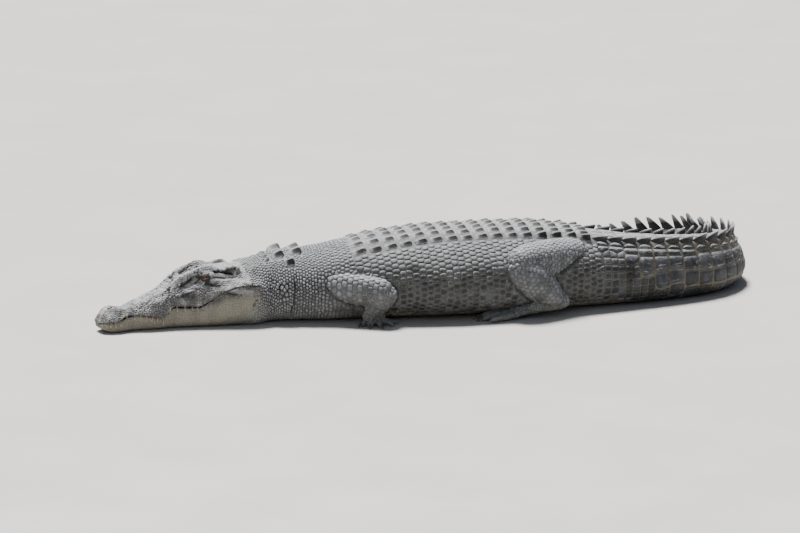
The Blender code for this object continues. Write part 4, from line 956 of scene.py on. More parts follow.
def loft(rings):
    """Points and triangles of a closed body through rings of equal count."""
    n = len(rings[0])
    pts = np.concatenate(rings + [np.mean(rings[0], axis=0)[None], np.mean(rings[-1], axis=0)[None]])
    tris = []
    for i in range(len(rings) - 1):
        for j in range(n):
            a, b = i * n + j, i * n + (j + 1) % n
            tris += [(a, b, b + n), (a, b + n, a + n)]
    c0, c1, last = len(pts) - 2, len(pts) - 1, (len(rings) - 1) * n
    for j in range(n):
        tris += [(c0, (j + 1) % n, j), (c1, last + j, last + (j + 1) % n)]
    return pts, np.array(tris)


def toe_rings(kind, k, slim, around=14, n=15):
    pts, wide, high = toe_line(kind, k)
    line = curve_through(pts, 10)
    d = np.linspace(0, 1, len(line))
    share = np.linspace(0, 1, n)
    centre = np.stack([np.interp(share, d, line[:, i]) for i in range(3)], -1)
    key = np.linspace(0, 1, 4)
    w = np.interp(share, key, wide) * (1 + 0.07 * np.cos((share - 0.33) * 2 * np.pi * 2.6)) - slim
    h = np.interp(share, key, high) * (1 + 0.08 * np.cos((share - 0.33) * 2 * np.pi * 2.6)) - slim
    axis = unit((pts[-1] - pts[0]) * [1, 1, 0])
    side = np.array([-axis[1], axis[0], 0.0])
    t = np.linspace(0, 2 * np.pi, around, endpoint=False)
    return [c + max(a, 0.003) * np.cos(t)[:, None] * side + max(b, 0.003) * np.sin(t)[:, None] * [0, 0, 1.0] for c, a, b in zip(centre, w, h)]


def web(kind, k, reach):
    """A thin skin between toe k and the next."""
    a, _, _ = toe_line(kind, k)
    b, _, _ = toe_line(kind, k + 1)
    la, lb = curve_through(a, 8), curve_through(b, 8)
    n = 8
    share = np.linspace(0.05, reach, n)
    d = np.linspace(0, 1, len(la))
    pa = np.stack([np.interp(share, d, la[:, i]) for i in range(3)], -1)
    pb = np.stack([np.interp(share * np.linspace(1, 0.96, n), d, lb[:, i]) for i in range(3)], -1)
    rings = []
    for p, q in zip(pa, pb):
        row = [p * (1 - w) + q * w for w in (0, 0.25, 0.5, 0.75, 1)]
        sag = [0, 0.0035, 0.0045, 0.0035, 0]
        mid = np.array([r - [0, 0, s] for r, s in zip(row, sag)])
        rings.append(np.concatenate([mid + [0, 0, 0.0042], (mid - [0, 0, 0.0042])[::-1]]))
    return loft(rings)


LIMBS = {}
for kind, station, lengths_, toes in (("fore", SHOULDER_S, fore_lengths(), FORE_TOES), ("hind", HIP_S, hind_lengths(), HIND_TOES)):
    for side, mark in ((-1, "L"), (1, "R")):
        pts, tris, base = [], [], 0
        pieces = []
        for name, (a, b, deep, keys) in lengths_.items():
            pieces.append(loft(tube_rings(a, b, deep, keys, 18, 30, COAT * 0.8)))
        for k in range(len(toes)):
            pieces.append(loft(toe_rings(kind, k, 0.0016)))
        for k in range(len(toes) - 1):
            pieces.append(web(kind, k, 0.40 if kind == "fore" else 0.62))
        for p, t in pieces:
            p = limb_place(station, side, p)
            p[:, 2] = np.maximum(p[:, 2], 0.0018)
            pts.append(p)
            tris.append(t + base)
            base += len(p)
        limb = new_mesh(f"limb_{kind}_{mark}", np.concatenate(pts), tris=np.concatenate(tris))
        m = limb.modifiers.new("melt", "REMESH")
        m.mode, m.voxel_size = "VOXEL", 0.0052 if kind == "hind" else 0.0046
        applied(limb)
        p = points_of(limb)
        p = relax(p, edges_of(limb), np.full(len(p), 0.5), 3)
        p[:, 2] = np.maximum(p[:, 2], 0.0012)
        # slack folds of skin at the bends
        s_, l_ = body_coordinates(p)
        nrm = normals_of(limb)
        bend = limb_place(station, side, np.array(lengths_["lower"][0]))
        near = np.exp(-((np.linalg.norm(p - bend, axis=1) / 0.055) ** 2))
        p += nrm * (near * 0.0016 * noise(p * [1, 1, 2.2], 0.018, 20))[:, None]
        set_points(limb, p)
        LIMBS[kind, mark] = limb

limb_trees = {}
LIMB_POINTS = {}
for key, limb in LIMBS.items():
    p = points_of(limb)
    tree = KDTree(len(p))
    for i, q in enumerate(p):
        tree.insert(q, i)
    tree.balance()
    limb_trees[key] = tree
    LIMB_POINTS[key] = p
body_points = points_of(body_skin)
body_tree = KDTree(len(body_points))
for i, q in enumerate(body_points):
    body_tree.insert(q, i)
body_tree.balance()
body_bvh = BVHTree.FromObject(body_skin, bpy.context.evaluated_depsgraph_get())
limb_bvhs = {key: BVHTree.FromObject(limb, bpy.context.evaluated_depsgraph_get()) for key, limb in LIMBS.items()}

for key, limb in LIMBS.items():
    m = body_skin.modifiers.new("join", "BOOLEAN")
    m.object, m.operation, m.solver = limb, "UNION", "MANIFOLD"
    applied(body_skin)
    if len(body_skin.data.vertices) < len(body_points) * 0.8:
        raise RuntimeError("a leg's union failed")
for limb in LIMBS.values():
    bpy.data.objects.remove(limb, do_unlink=True)
skin = body_skin

# Blend the legs' roots into the flanks
p = points_of(skin)
edges = edges_of(skin)
root_zone = np.zeros(len(p))
is_limb = np.full(len(p), -1)
keys = list(LIMBS)
low = {k: LIMB_POINTS[k].min(0) - 0.03 for k in keys}
high = {k: LIMB_POINTS[k].max(0) + 0.03 for k in keys}
seams = []
seam_far = np.full(len(p), 1.0)
for i, q in enumerate(p):
    for n_, k in enumerate(keys):
        if (q > low[k]).all() and (q < high[k]).all():
            dl = limb_bvhs[k].find_nearest(q)[3]
            db = body_bvh.find_nearest(q)[3]
            if dl is not None and dl < db + 1e-5 and dl < 0.002:
                is_limb[i] = n_
            if dl < 0.0016 and db < 0.0016:
                seams.append(i)
if seams:
    tree = KDTree(len(seams))
    for i in seams:
        tree.insert(p[i], i)
    tree.balance()
    near_limb = np.array([any((q > low[k]).all() and (q < high[k]).all() for k in keys) for q in p])
    for i in np.flatnonzero(near_limb):
        seam_far[i] = tree.find(p[i])[2]
        root_zone[i] = 1 - step(0.002, 0.016, seam_far[i])
    p = relax(p, edges, root_zone * 0.5, 8)
    p[:, 2] = np.maximum(p[:, 2], 0.0012)
    set_points(skin, p)
skin.name = "skin"
skin.data.name = "skin"

# ----------------------------------------------------------------------------------------------
# What the materials read at each point: where on the body it lies
# ----------------------------------------------------------------------------------------------
GRID_S = straight[:, 0]
_v_rings = []
_even = VH[::2]
_uniform = np.linspace(0, 1, len(_even))
_hv = np.concatenate([VG, VG[:, -2:0:-1]], axis=1).ravel()
_bl = step(HEAD_BREAK - 0.01, 0.95, S_BODY)[:, None]
_bv = _even * (1 - _bl) + _uniform * _bl
_bv = np.concatenate([_bv, _bv[:, -2:0:-1]], axis=1).ravel()
GRID_V = np.concatenate([_hv, _bv])
GRID_V = np.concatenate([GRID_V, np.full(len(straight) - len(GRID_V), 0.6)])


def locate(p, normals, limb_of=None):
    """Per point: s, lat, v (0 top to 1 belly), and how much it belongs to a leg."""
    ids = [body_tree.find(q)[1] for q in p]
    s, lat = straight[ids, 0], straight[ids, 1]
    v = GRID_V[ids]
    limb = np.zeros(len(p)) if limb_of is None else (limb_of >= 0).astype(float)
    return s, lat, v, limb


def limb_share(p, n):
    """v for a leg's point: its outer upper side is 0.2, its underside 0.9."""
    return np.clip(0.50 - 0.36 * n[:, 2] - 0.10 * step(0.0, 0.16, p[:, 2]) + 0.10, 0.12, 0.92)


# Dark blotches on the flanks and at the tail's root, the one at s 2.055 being a painted shadow behind the thigh: (s, z,
# reach along, reach up, strength)
BLOTCHES_AND_HIP_SHADOW = (
    (1.246, 0.226, 0.034, 0.022, 0.60), (1.357, 0.178, 0.026, 0.020, 0.50), (1.193, 0.149, 0.030, 0.020, 0.50), (1.520, 0.190, 0.030, 0.018, 0.42),
    (1.640, 0.140, 0.034, 0.022, 0.45), (1.420, 0.105, 0.030, 0.018, 0.40), (1.750, 0.200, 0.028, 0.020, 0.40), (2.055, 0.222, 0.034, 0.024, 0.62),
    (2.150, 0.140, 0.024, 0.056, 0.75), (2.330, 0.110, 0.026, 0.040, 0.45), (2.540, 0.120, 0.026, 0.045, 0.45), (0.930, 0.200, 0.030, 0.024, 0.35),
)


def paint(s, lat, z, v, limb, p):
    """(dark, pale, yellow) by place on the body: markings, with painted shade in the head's hollows, grooves and mouth
    line, painted highlight on the head's ridges and roof and on the back's crown, and a painted shadow behind the
    thigh.
    """
    head = (1 - step(0.60, 0.68, s + 0.50 * np.maximum(0.12 - z, 0))) * (1 - limb)
    a = np.abs(lat)
    dark = np.zeros_like(s)
    pale = np.zeros_like(s)
    # painted shade in the hollow below the table's rear corner, the ear's slit, the lids' front and the hollow before
    # the eye
    dark += 0.95 * np.exp(-(((s - 0.535) / 0.026) ** 4) - (((z - 0.2225 - 0.16 * (s - 0.535)) / 0.0085) ** 2)) * (a > 0.045)
    r, share = line_distance(s, z, EAR_LINE)
    dark += 1.0 * np.exp(-((r / 0.0060) ** 2)) * ends(share, 0.08) * (a > 0.05)
    dark += 0.85 * np.exp(-(((s - 0.401) / 0.015) ** 2) - (((z - 0.2010) / 0.0105) ** 2)) * (a > 0.03)
    dark += 0.75 * np.exp(-((np.hypot(s - EYE_S, z - EYE_Z - 0.004) / 0.0190) ** 4)) * (a > 0.05)
    # painted shadows along the grooves and below the ridges of the head's side, and in the throat's fold
    for line, strength, wide in (
        (((0.318, 0.1560), (0.352, 0.1760), (0.385, 0.1960)), 0.85, 0.0065),
        (((0.318, 0.1330), (0.350, 0.1400), (0.372, 0.1440)), 0.80, 0.0060),
        (((0.300, 0.1230), (0.335, 0.1290), (0.365, 0.1340)), 0.45, 0.0050),
        (((0.419, 0.1770), (0.445, 0.1690), (0.485, 0.1600)), 0.75, 0.0085),
        (((0.459, 0.1955), (0.485, 0.1905), (0.511, 0.1865)), 0.75, 0.0034),
        (((0.560, 0.1740), (0.600, 0.1640), (0.650, 0.1570)), 0.75, 0.0050),
        (((0.487, 0.1380), (0.530, 0.1310), (0.600, 0.1260)), 0.30, 0.0050),
        (((0.628, 0.1120), (0.616, 0.0960), (0.604, 0.0740)), 0.80, 0.0050),
    ):
        r, share = line_distance(s, z, line)
        dark += strength * np.exp(-((r / wide) ** 2)) * ends(share) * (a > 0.05)
    # dark blotches, and the painted shadow behind the thigh
    for sc, zc, rs, rz, k in BLOTCHES_AND_HIP_SHADOW:
        dark += k * np.exp(-(((s - sc) / rs) ** 2) - (((z - zc) / rz) ** 2)) * (1 - limb)
    dark_body = np.clip(dark, 0, 1) * (1 - head)
    roof = 1 - step(0.36, 0.50, v)
    cleft = cracks(s, lat, z) * roof
    dark += 0.66 * cleft
    # painted shade in the nostrils' sunken crescents
    ring = np.hypot(s - 0.0485, a - 0.0090)
    dark += 0.95 * np.exp(-(((ring - 0.0085) / 0.0032) ** 2)) * (v < 0.40) * step(-0.004, 0.004, a - 0.0090 + 0.004)
    dark = dark * head + dark_body
    gv = gape_v(s)
    # painted shade along the deep mouth line
    dark = np.maximum(dark, head * 0.8 * np.exp(-(((v - gv) / 0.007) ** 2)) * (s < 0.60))
    # painted highlights along the ridges of the head's side
    for line, strength, wide in (
        (((0.415, 0.2040), (0.459, 0.2080), (0.513, 0.1960), (0.549, 0.1980), (0.64, 0.186)), 0.9, 0.0052),
        (((0.440, 0.1890), (0.486, 0.1830), (0.523, 0.1840), (0.600, 0.1820)), 0.8, 0.0056),
        (((0.505, 0.1510), (0.560, 0.1470), (0.620, 0.1400)), 0.55, 0.0075),
    ):
        r, share = line_distance(s, z, line)
        pale += strength * np.exp(-((r / wide) ** 2)) * ends(share) * (a > 0.05)
    # painted highlight over the roof of the head behind the nose
    pale += 0.55 * (1 - step(0.22, 0.40, v)) * step(0.12, 0.17, s) * (1 - 0.9 * cleft)
    pale *= head * (1 - np.clip(dark, 0, 1))
    # painted highlight along the top of the back and the nape
    crown_highlight = (1 - step(0.100, 0.175, v)) * step(0.95, 1.15, s) + 0.45 * (1 - step(0.16, 0.34, v)) * step(0.62, 0.70, s) * (1 - step(1.0, 1.2, s))
    pale += 0.56 * np.clip(crown_highlight, 0, 1) * (1 - limb) * (1 - head)
    yellow = step(0.52, 0.80, v) * (1 - head)
    yellow = np.maximum(yellow, limb * step(0.45, 0.75, v))
    yellow = np.maximum(yellow, 0.8 * step(0.30, 0.5, v) * step(2.0, 2.3, s) * (1 - limb))
    return np.clip(np.stack([dark, pale, yellow], -1), 0, 1), head


def stamp(obj, s, v, rnd, edge, head, limb, mark, keel, flank=None, plate=None):
    put(obj, "coat", np.stack([s / 4.0, v, rnd], -1))
    put(obj, "form", np.stack([edge, head, limb], -1))
    put(obj, "mark", mark)
    # relief holds the keel's pale edge (wear and painted highlight), the keel slopes that get painted shade, and the
    # share that is plate
    put(obj, "relief", np.stack([keel, np.zeros_like(keel) if flank is None else flank, np.zeros_like(keel) if plate is None else plate], -1))


p = points_of(skin)
nrm = normals_of(skin)
limb_of = is_limb
s_, lat_, v_, limb_ = locate(p, nrm, limb_of)
limb_soft = limb_.copy()
limb_soft = relax(np.repeat(limb_soft[:, None], 3, 1), edges_of(skin), np.full(len(p), 0.5), 6)[:, 0]
v_skin = v_ * (1 - limb_soft) + limb_share(p, nrm) * limb_soft
mark_, head_ = paint(s_, lat_, p[:, 2], v_, limb_soft, p)
# painted shade darkens the hollows; the ridges between them are paler, partly wear and partly painted highlight
near_ = relax(p, edges_of(skin), np.full(len(p), 0.5), 12)
sunk = ((near_ - p) * nrm).sum(1)
mark_[:, 0] = np.clip(mark_[:, 0] + 0.55 * step(0.0007, 0.0034, sunk) * (0.35 + 0.65 * np.maximum(head_, limb_soft)), 0, 1)
mark_[:, 1] = np.clip(mark_[:, 1] + 0.42 * step(0.0008, 0.0032, -sunk) * np.maximum(head_, 0.5 * limb_soft) * (1 - head_ * step(0.56, 0.64, v_)), 0, 1)
# painted highlight on the legs' broad bulges that face up; painted shade in the broad hollows of the trunk's sides
broad = relax(p, edges_of(skin), np.full(len(p), 0.5), 60)
bulge = ((p - broad) * nrm).sum(1)
mark_[:, 1] = np.clip(mark_[:, 1] + 0.50 * step(0.0040, 0.0120, bulge) * limb_soft * step(0.0, 0.5, nrm[:, 2] + 0.15) * step(0.05, 0.10, p[:, 2]), 0, 1)
mark_[:, 0] = np.clip(mark_[:, 0] + 0.45 * step(0.0030, 0.0110, -bulge) * step(0.02, 0.05, p[:, 2]) * (1 - head_) * (s_ > 1.0) * (s_ < 2.2), 0, 1)
# painted shade in the creases where the legs leave the body
crease_shade = np.exp(-((seam_far / np.where(is_limb >= 0, 0.0050, 0.0140)) ** 2)) * step(0.02, 0.05, p[:, 2])
mark_[:, 0] = np.maximum(mark_[:, 0], (0.62 - 0.25 * step(0.14, 0.23, p[:, 2]) * (s_ < 1.5)) * crease_shade)
# painted highlight on the top of the thigh and on the upward-facing tops of all legs
thigh_highlight = limb_soft * (s_ > 1.6) * step(0.30, 0.72, nrm[:, 2]) * step(0.165, 0.205, p[:, 2])
mark_[:, 1] = np.maximum(mark_[:, 1], 0.72 * thigh_highlight)
mark_[:, 1] = np.maximum(mark_[:, 1], 0.40 * limb_soft * step(0.60, 0.95, nrm[:, 2]) * step(0.05, 0.12, p[:, 2]))
stamp(skin, s_, v_skin, np.full(len(p), 0.5), np.full(len(p), 1.0), head_, limb_soft, mark_, np.zeros(len(p)))


# The unwrap: the body lies along u, its right side above the middle line and its left below, each leg in a strip
def limb_uv(p, n_):
    kind, mark = keys[n_]
    station = SHOULDER_S if kind == "fore" else HIP_S
    side = -1 if mark == "L" else 1
    joints = FORE_JOINTS if kind == "fore" else HIND_JOINTS
    tip = np.array(joints[-1]) + (np.array([0.0, 0.11, -0.01]) if kind == "fore" else np.array([0.16, 0.01, -0.01]))
    chain = limb_place(station, side, np.array(list(joints) + [tip]))
    lengths = np.linalg.norm(np.diff(chain, axis=0), axis=1)
    total = lengths.sum()
    best = np.full(len(p), 9.0)
    along, angle = np.zeros(len(p)), np.zeros(len(p))
    for k in range(len(chain) - 1):
        d = chain[k + 1] - chain[k]
        t = np.clip(((p - chain[k]) @ d) / (d @ d), 0, 1)
        r = p - chain[k] - t[:, None] * d
        axis = unit(d)
        ref = unit(np.array([0, 0, 1.0]) - axis * axis[2])
        other = np.cross(axis, ref)
        dist = np.linalg.norm(r, axis=1)
        take = dist < best
        best = np.where(take, dist, best)
        along = np.where(take, (lengths[:k].sum() + t * lengths[k]) / total, along)
        angle = np.where(take, np.arctan2(r @ other, r @ ref) / (2 * np.pi), angle)
    return along, angle


def unwrap(p, s, lat, v, limb):
    """(u, v) of points, given which leg each belongs to (-1 for none)."""
    side = np.where(lat >= 0, 1.0, -1.0)
    uv = np.stack([0.01 + 0.98 * s / 4.1, 0.5 + side * v * 0.34], -1)
    for n_ in range(4):
        pick = limb == n_
        if pick.any():
            along, angle = limb_uv(p[pick], n_)
            u0 = 0.02 + 0.49 * (n_ % 2)
            v0 = 0.01 if n_ < 2 else 0.87
            uv[pick] = np.stack([u0 + 0.45 * along, v0 + 0.12 * (angle + 0.5)], -1)
    return uv


def skin_uv():
    me = skin.data
    loops = np.empty(len(me.loops), np.int32)
    me.loops.foreach_get("vertex_index", loops)
    starts = np.empty(len(me.polygons), np.int32)
    totals = np.empty(len(me.polygons), np.int32)
    me.polygons.foreach_get("loop_start", starts)
    me.polygons.foreach_get("loop_total", totals)
    face = np.repeat(np.arange(len(starts)), totals)
    order = np.argsort(np.repeat(starts, totals) + np.arange(len(face)) - np.repeat(np.cumsum(totals) - totals, totals), kind="stable")
    face = face[order]
    sum_lat = np.bincount(face, lat_[loops], len(starts))
    side = np.where(sum_lat[face] >= 0, 1.0, -1.0)
    limb_face = np.full(len(starts), -1)
    np.maximum.at(limb_face, face, is_limb[loops])
    lim = limb_face[face]
    pts = p[loops]
    uv = unwrap(pts, s_[loops], side * np.abs(lat_[loops]) + side * 1e-6, v_[loops], lim)
    # a leg's faces across its own seam are kept whole
    lo = np.full(len(starts), 9.0)
    hi = np.full(len(starts), -9.0)
    np.minimum.at(lo, face, uv[:, 1])
    np.maximum.at(hi, face, uv[:, 1])
    wrap = ((hi - lo)[face] > 0.06) & (lim >= 0)
    uv[wrap & (uv[:, 1] < (hi[face] + lo[face]) / 2), 1] += 0.12
    layer = me.uv_layers.new(name="OFBake")
    layer.data.foreach_set("uv", np.clip(uv, 0, 1).astype(np.float32).ravel())


skin_uv()
skin_bvh = BVHTree.FromObject(skin, bpy.context.evaluated_depsgraph_get())
skin_tree = KDTree(len(p))
for i, q in enumerate(p):
    skin_tree.insert(q, i)
skin_tree.balance()
SKIN_P, SKIN_N = p, nrm


# ----------------------------------------------------------------------------------------------
# Scales. Each has a root on the skin. Neighbours share the room between them, so the edges follow
# the lie of the coat with a narrow groove left between.
# ----------------------------------------------------------------------------------------------
rng = np.random.default_rng(7)
SEEDS = []  # dicts of arrays
ROW_START = np.concatenate([back_rows()[0], tail_rows()[0]])
ROW_PITCH = np.concatenate([back_rows()[1], tail_rows()[1]])


def add_seeds(kind, s, v, side, long_, wide_, jitter=0.0, **more):
    """Roots on the body at (s, v) on one side, with the room each wants along and round the body."""
    s, v, side = (np.asarray(x, float).ravel() for x in np.broadcast_arrays(s, v, side))
    n = len(s)
    long_, wide_ = np.broadcast_to(long_, n).astype(float), np.broadcast_to(wide_, n).astype(float)
    ring = np.interp(s, S_TABLE, RING_LENGTH)
    s = s + jitter * long_ * rng.uniform(-0.5, 0.5, n)
    v = np.clip(v + jitter * wide_ / ring * rng.uniform(-0.5, 0.5, n), 0.0, 1.0)
    q = at(s, v)
    p = place(s, side * q[:, 0], q[:, 1])
    ahead = at(s + 0.004, v)
    e1 = place(s + 0.004, side * ahead[:, 0], ahead[:, 1]) - p
    if kind in ("tail", "belly"):
        long_ = long_ * np.clip(np.linalg.norm(e1, axis=-1) / 0.004, 0.4, 1.9)  # longer outside the bend
    e1 = unit(e1)
    SEEDS.append(dict(kind=np.full(n, kind, dtype=object), p=p, e1=e1, s=s, v=v, side=side, long=long_, wide=wide_, limb=np.full(n, -1), keel=np.broadcast_to(more.get("keel", 0.0), n).astype(float), square=np.full(n, more.get("square", 0.0))))


def lattice_seeds(kind, s0, s1, arc0, arc1, long_, wide_, jitter, stagger=True, square=0.0, skip_mid=False):
    """A staggered lattice over both sides between two arcs (functions of s, in metres round the ring)."""
    s = s0
    row = 0
    ss, vs, ls, ws = [], [], [], []
    while s < s1:
        l, w = float(long_(s)), float(wide_(s))
        a0, a1 = float(arc0(s)), float(arc1(s))
        n = max(1, int(round((a1 - a0) / w)))
        step_ = (a1 - a0) / n
        arcs = a0 + step_ * (np.arange(n) + (0.5 if (row % 2 == 0 or not stagger) else 0.0))
        if stagger and row % 2 == 1 and a0 > 0.004:
            arcs = arcs[1:]
        i = min(np.searchsorted(S_TABLE, s), len(S_TABLE) - 1)
        vs += list(np.interp(arcs, ARC[i], V_TABLE))
        ss += [s + l / 2] * len(arcs)
        ls += [l] * len(arcs)
        ws += [step_] * len(arcs)
        s += l
        row += 1
    for side in SIDES:
        v = np.array(vs)
        keep = np.ones(len(v), bool) if side == 1 else v > 0.0005
        add_seeds(kind, np.array(ss)[keep], v[keep], side, np.array(ls)[keep], np.array(ws)[keep], jitter, square=square)


def arc_at_lat(s, lat):
    i = min(np.searchsorted(S_TABLE, s), len(S_TABLE) - 1)
    row = TABLE[i]
    w = int(np.argmax(row[:, 0]))
    return float(np.interp(lat, np.maximum.accumulate(row[: w + 1, 0]) + np.arange(w + 1) * 1e-9, ARC[i, : w + 1]))


def ring_length(s):
    return float(np.interp(s, S_TABLE, RING_LENGTH))


# head
def jaw_arc(s):
    i = min(np.searchsorted(S_TABLE, s), len(S_TABLE) - 1)
    return float(np.interp(gape_v(s), V_TABLE, ARC[i]))


lattice_seeds("head", 0.010, 0.600, lambda s: 0.0, lambda s: jaw_arc(s) - 0.004, lambda s: 0.0066 + 0.0026 * step(0.02, 0.2, s), lambda s: 0.0074 + 0.0022 * step(0.02, 0.3, s), 0.62)
lattice_seeds("jaw", 0.010, 0.640, lambda s: jaw_arc(s) + 0.004, ring_length, lambda s: 0.0095 + 0.0030 * step(0.2, 0.5, s), lambda s: 0.0082 + 0.0020 * step(0.2, 0.5, s), 0.45)
# neck
lattice_seeds("neck", 0.600, 0.640, lambda s: 0.0, lambda s: jaw_arc(s) - 0.004, lambda s: 0.0100, lambda s: 0.0118, 0.34)
lattice_seeds("neck", 0.640, 1.024, lambda s: 0.0, lambda s: ring_length(s) * 0.80, lambda s: 0.0112 + 0.0050 * step(0.85, 1.0, s), lambda s: 0.0134 + 0.0040 * step(0.85, 1.0, s), 0.36)
lattice_seeds("belly", 0.655, 1.010, lambda s: ring_length(s) * 0.80, ring_length, lambda s: 0.024, lambda s: 0.024, 0.10, square=1.0)


# back and flank
def outer_arc(s):
    return arc_at_lat(s, float(CREST_LAT(s))) + 0.021


lattice_seeds("flank", 1.010, 2.011, outer_arc, lambda s: ring_length(s) * 0.66, lambda s: 0.0262, lambda s: 0.0205 + 0.0020 * step(1.0, 1.2, s), 0.26)
lattice_seeds("flank", 1.018, 2.011, lambda s: ring_length(s) * 0.66, lambda s: ring_length(s) * 0.74, lambda s: 0.0300, lambda s: 0.0250, 0.12, stagger=False, square=0.6)
lattice_seeds("belly", 1.010, 2.011, lambda s: ring_length(s) * 0.74, ring_length, lambda s: 0.0320, lambda s: 0.0300, 0.06, stagger=False, square=1.0)

# Keeled plates of the back: (s start, pitch, lat, width, height)
PLATES = []
for s0_, p_ in zip(*back_rows()):
    k_ = float(CREST_LAT(s0_ + p_ / 2)) / 0.131
    for idx, base_lat in enumerate(ROW_LATS):
        c = base_lat * k_
        tall = float(CREST_TALL(s0_ + 0.72 * p_)) if idx == 2 else float(INNER_TALL(s0_ + 0.72 * p_))
        for side in SIDES:
            PLATES.append((s0_, p_, side * c, (0.0505 if idx < 2 else 0.046) * k_, tall + COAT))
for s_n, lat_n, len_n, wid_n, high_n in NAPE:
    for side in SIDES:
        PLATES.append((s_n - len_n / 2, len_n, side * lat_n, wid_n, high_n + COAT))
# a row of small keeled plates just behind the head
for lat_n in (0.030, 0.066):
    for side in SIDES:
        PLATES.append((0.688 + 0.10 * abs(lat_n - 0.03), 0.026, side * lat_n, 0.020, 0.010))

# tail rings: crests on top, two keeled rows below each crest, then tall smooth plates, then the underside
for ring_i, (s0_, p_) in enumerate(zip(*tail_rows())):
    c = s0_ + p_ / 2
    total = ring_length(c)
    crest = arc_at_lat(c, float(CREST_LAT(c)))
    shrink = 0.45 + 0.55 * min(1.0, float(HALF_WIDTH(c)) / 0.16)
    if crest > 0.02:
        n_top = max(1, int(round((crest - 0.010) / 0.034)))
        w_ = (crest - 0.010) / n_top
        for k in range(n_top):
            for side in SIDES:
                add_seeds("tail", [c], v_at_arc([c], [w_ * (k + 0.5)]), side, p_, w_, 0.03, square=1.0)
    a = crest + 0.009 * min(1.0, shrink * 1.2)
    for k, (w_, keel_) in enumerate(((0.021, 0.0042), (0.024, 0.0036))):
        w_ *= shrink
        if a + w_ < total * 0.55:
            for side in SIDES:
                add_seeds("tail", [c], v_at_arc([c], [a + w_ / 2]), side, p_, w_, 0.03, square=1.0, keel=keel_)
            a += w_
    low = total * 0.80
    # the thick root of the tail has two short plates where each later ring has one, from the belly up
    cut = a + (low - a) * float(step(2.04, 2.44, c))
    if cut - a > 0.03:
        n_side = max(1, int(round((cut - a) / (0.060 * shrink + 0.006))))
        w_ = (cut - a) / n_side
        for k in range(n_side):
            for side in SIDES:
                add_seeds("tail", [c], v_at_arc([c], [a + w_ * (k + 0.5)]), side, p_, w_, 0.04, square=1.0)
        a = cut
    if low - a > 0.02:
        n_side = max(1, int(round((low - a) / 0.029)))
        w_ = (low - a) / n_side
        for k in range(n_side):
            for half in (0.25, 0.75):
                for side in SIDES:
                    add_seeds("tail", [s0_ + p_ * half], v_at_arc([c], [a + w_ * (k + 0.5)]), side, p_ / 2, w_, 0.08, square=0.8)
    n_low = max(1, int(round((total - low) / 0.034)))
    w_ = (total - low) / n_low
    for k in range(n_low):
        for side in SIDES:
            add_seeds("belly", [c], v_at_arc([c], [low + w_ * (k + 0.5)]), side, p_, w_, 0.03, square=1.0)


# legs: rows round each length, and short cross plates along the toes
def limb_seeds():
    for n_, (kind, mark) in enumerate(keys):
        station = SHOULDER_S if kind == "fore" else HIP_S
        side = -1 if mark == "L" else 1
        sizes = {"fore": {"upper": (0.0210, 0.0240), "lower": (0.0120, 0.0230), "hand": (0.0085, 0.0105)}, "hind": {"upper": (0.0150, 0.0175), "lower": (0.0165, 0.0200), "foot": (0.0110, 0.0140)}}[kind]
        for name, (a, b, deep, ks) in (fore_lengths() if kind == "fore" else hind_lengths()).items():
            l, w = sizes[name]
            length = np.linalg.norm(b - a)
            rows = max(2, int(round(length * 0.97 / l)))
            rings = tube_rings(a, b, deep, ks, rows + 1, 72, COAT * 0.8)
            for r in range(rows):
                ring = (rings[r] + rings[r + 1]) / 2
                size = np.linalg.norm(np.diff(np.vstack([ring, ring[:1]]), axis=0), axis=1).sum()
                n = max(4, int(round(size / w)))
                idx = (np.arange(n) + 0.5 * (r % 2)) * 72 / n
                pts = ring[np.round(idx).astype(int) % 72]
                world = limb_place(station, side, pts)
                e1 = unit(limb_place(station, side, b) - limb_place(station, side, a))
                world = world + rng.uniform(-0.5, 0.5, world.shape) * 0.20 * l
                SEEDS.append(dict(kind=np.full(n, "limb", dtype=object), p=world, e1=np.tile(e1, (n, 1)), s=np.full(n, station), v=np.full(n, 0.3), side=np.full(n, float(side)), long=np.full(n, l), wide=np.full(n, w), limb=np.full(n, n_), keel=np.zeros(n), square=np.full(n, 0.5)))
        toes = FORE_TOES if kind == "fore" else HIND_TOES
        for k in range(len(toes)):
            rings = toe_rings(kind, k, 0.0016, around=24, n=60)
            centre = np.array([r.mean(0) for r in rings])
            d = np.concatenate([[0], np.cumsum(np.linalg.norm(np.diff(centre, axis=0), axis=1))])
            l = 0.0078 if kind == "fore" else 0.0098
            t = 0.22 * d[-1]
            row = 0
            while t < d[-1] - 0.004:
                i = int(np.clip(np.searchsorted(d, t), 1, 59))
                e1 = unit(centre[i] - centre[i - 1])
                ring = rings[i]
                picks = (6, 1, 11, 21, 15) if row % 2 == 0 else (6, 2, 10, 22, 14)
                pts = ring[list(picks)]
                wide = np.array([2.0, 1.1, 1.1, 1.0, 1.0]) * (np.linalg.norm(ring[0] - ring[12]) * 0.36)
                world = limb_place(station, side, pts)
                axis = unit(limb_place(station, side, centre[i]) - limb_place(station, side, centre[i - 1]))
                n = len(pts)
                SEEDS.append(dict(kind=np.full(n, "toe", dtype=object), p=world, e1=np.tile(axis, (n, 1)), s=np.full(n, station), v=np.full(n, 0.3), side=np.full(n, float(side)), long=np.full(n, l), wide=wide, limb=np.full(n, n_), keel=np.zeros(n), square=np.full(n, 0.8)))
                t += l
                row += 1


limb_seeds()
A = {k: np.concatenate([d[k] for d in SEEDS]) for k in SEEDS[0]}


# Each root goes onto the finished skin; one that the skin has swallowed, or that another stands on, is dropped
def snap(points):
    loc, nor, dist = np.empty_like(points), np.empty_like(points), np.empty(len(points))
    find = skin_bvh.find_nearest
    for i, q in enumerate(points):
        a, b, _, d = find(q)
        loc[i], nor[i], dist[i] = a, b, d
    return loc, nor, dist


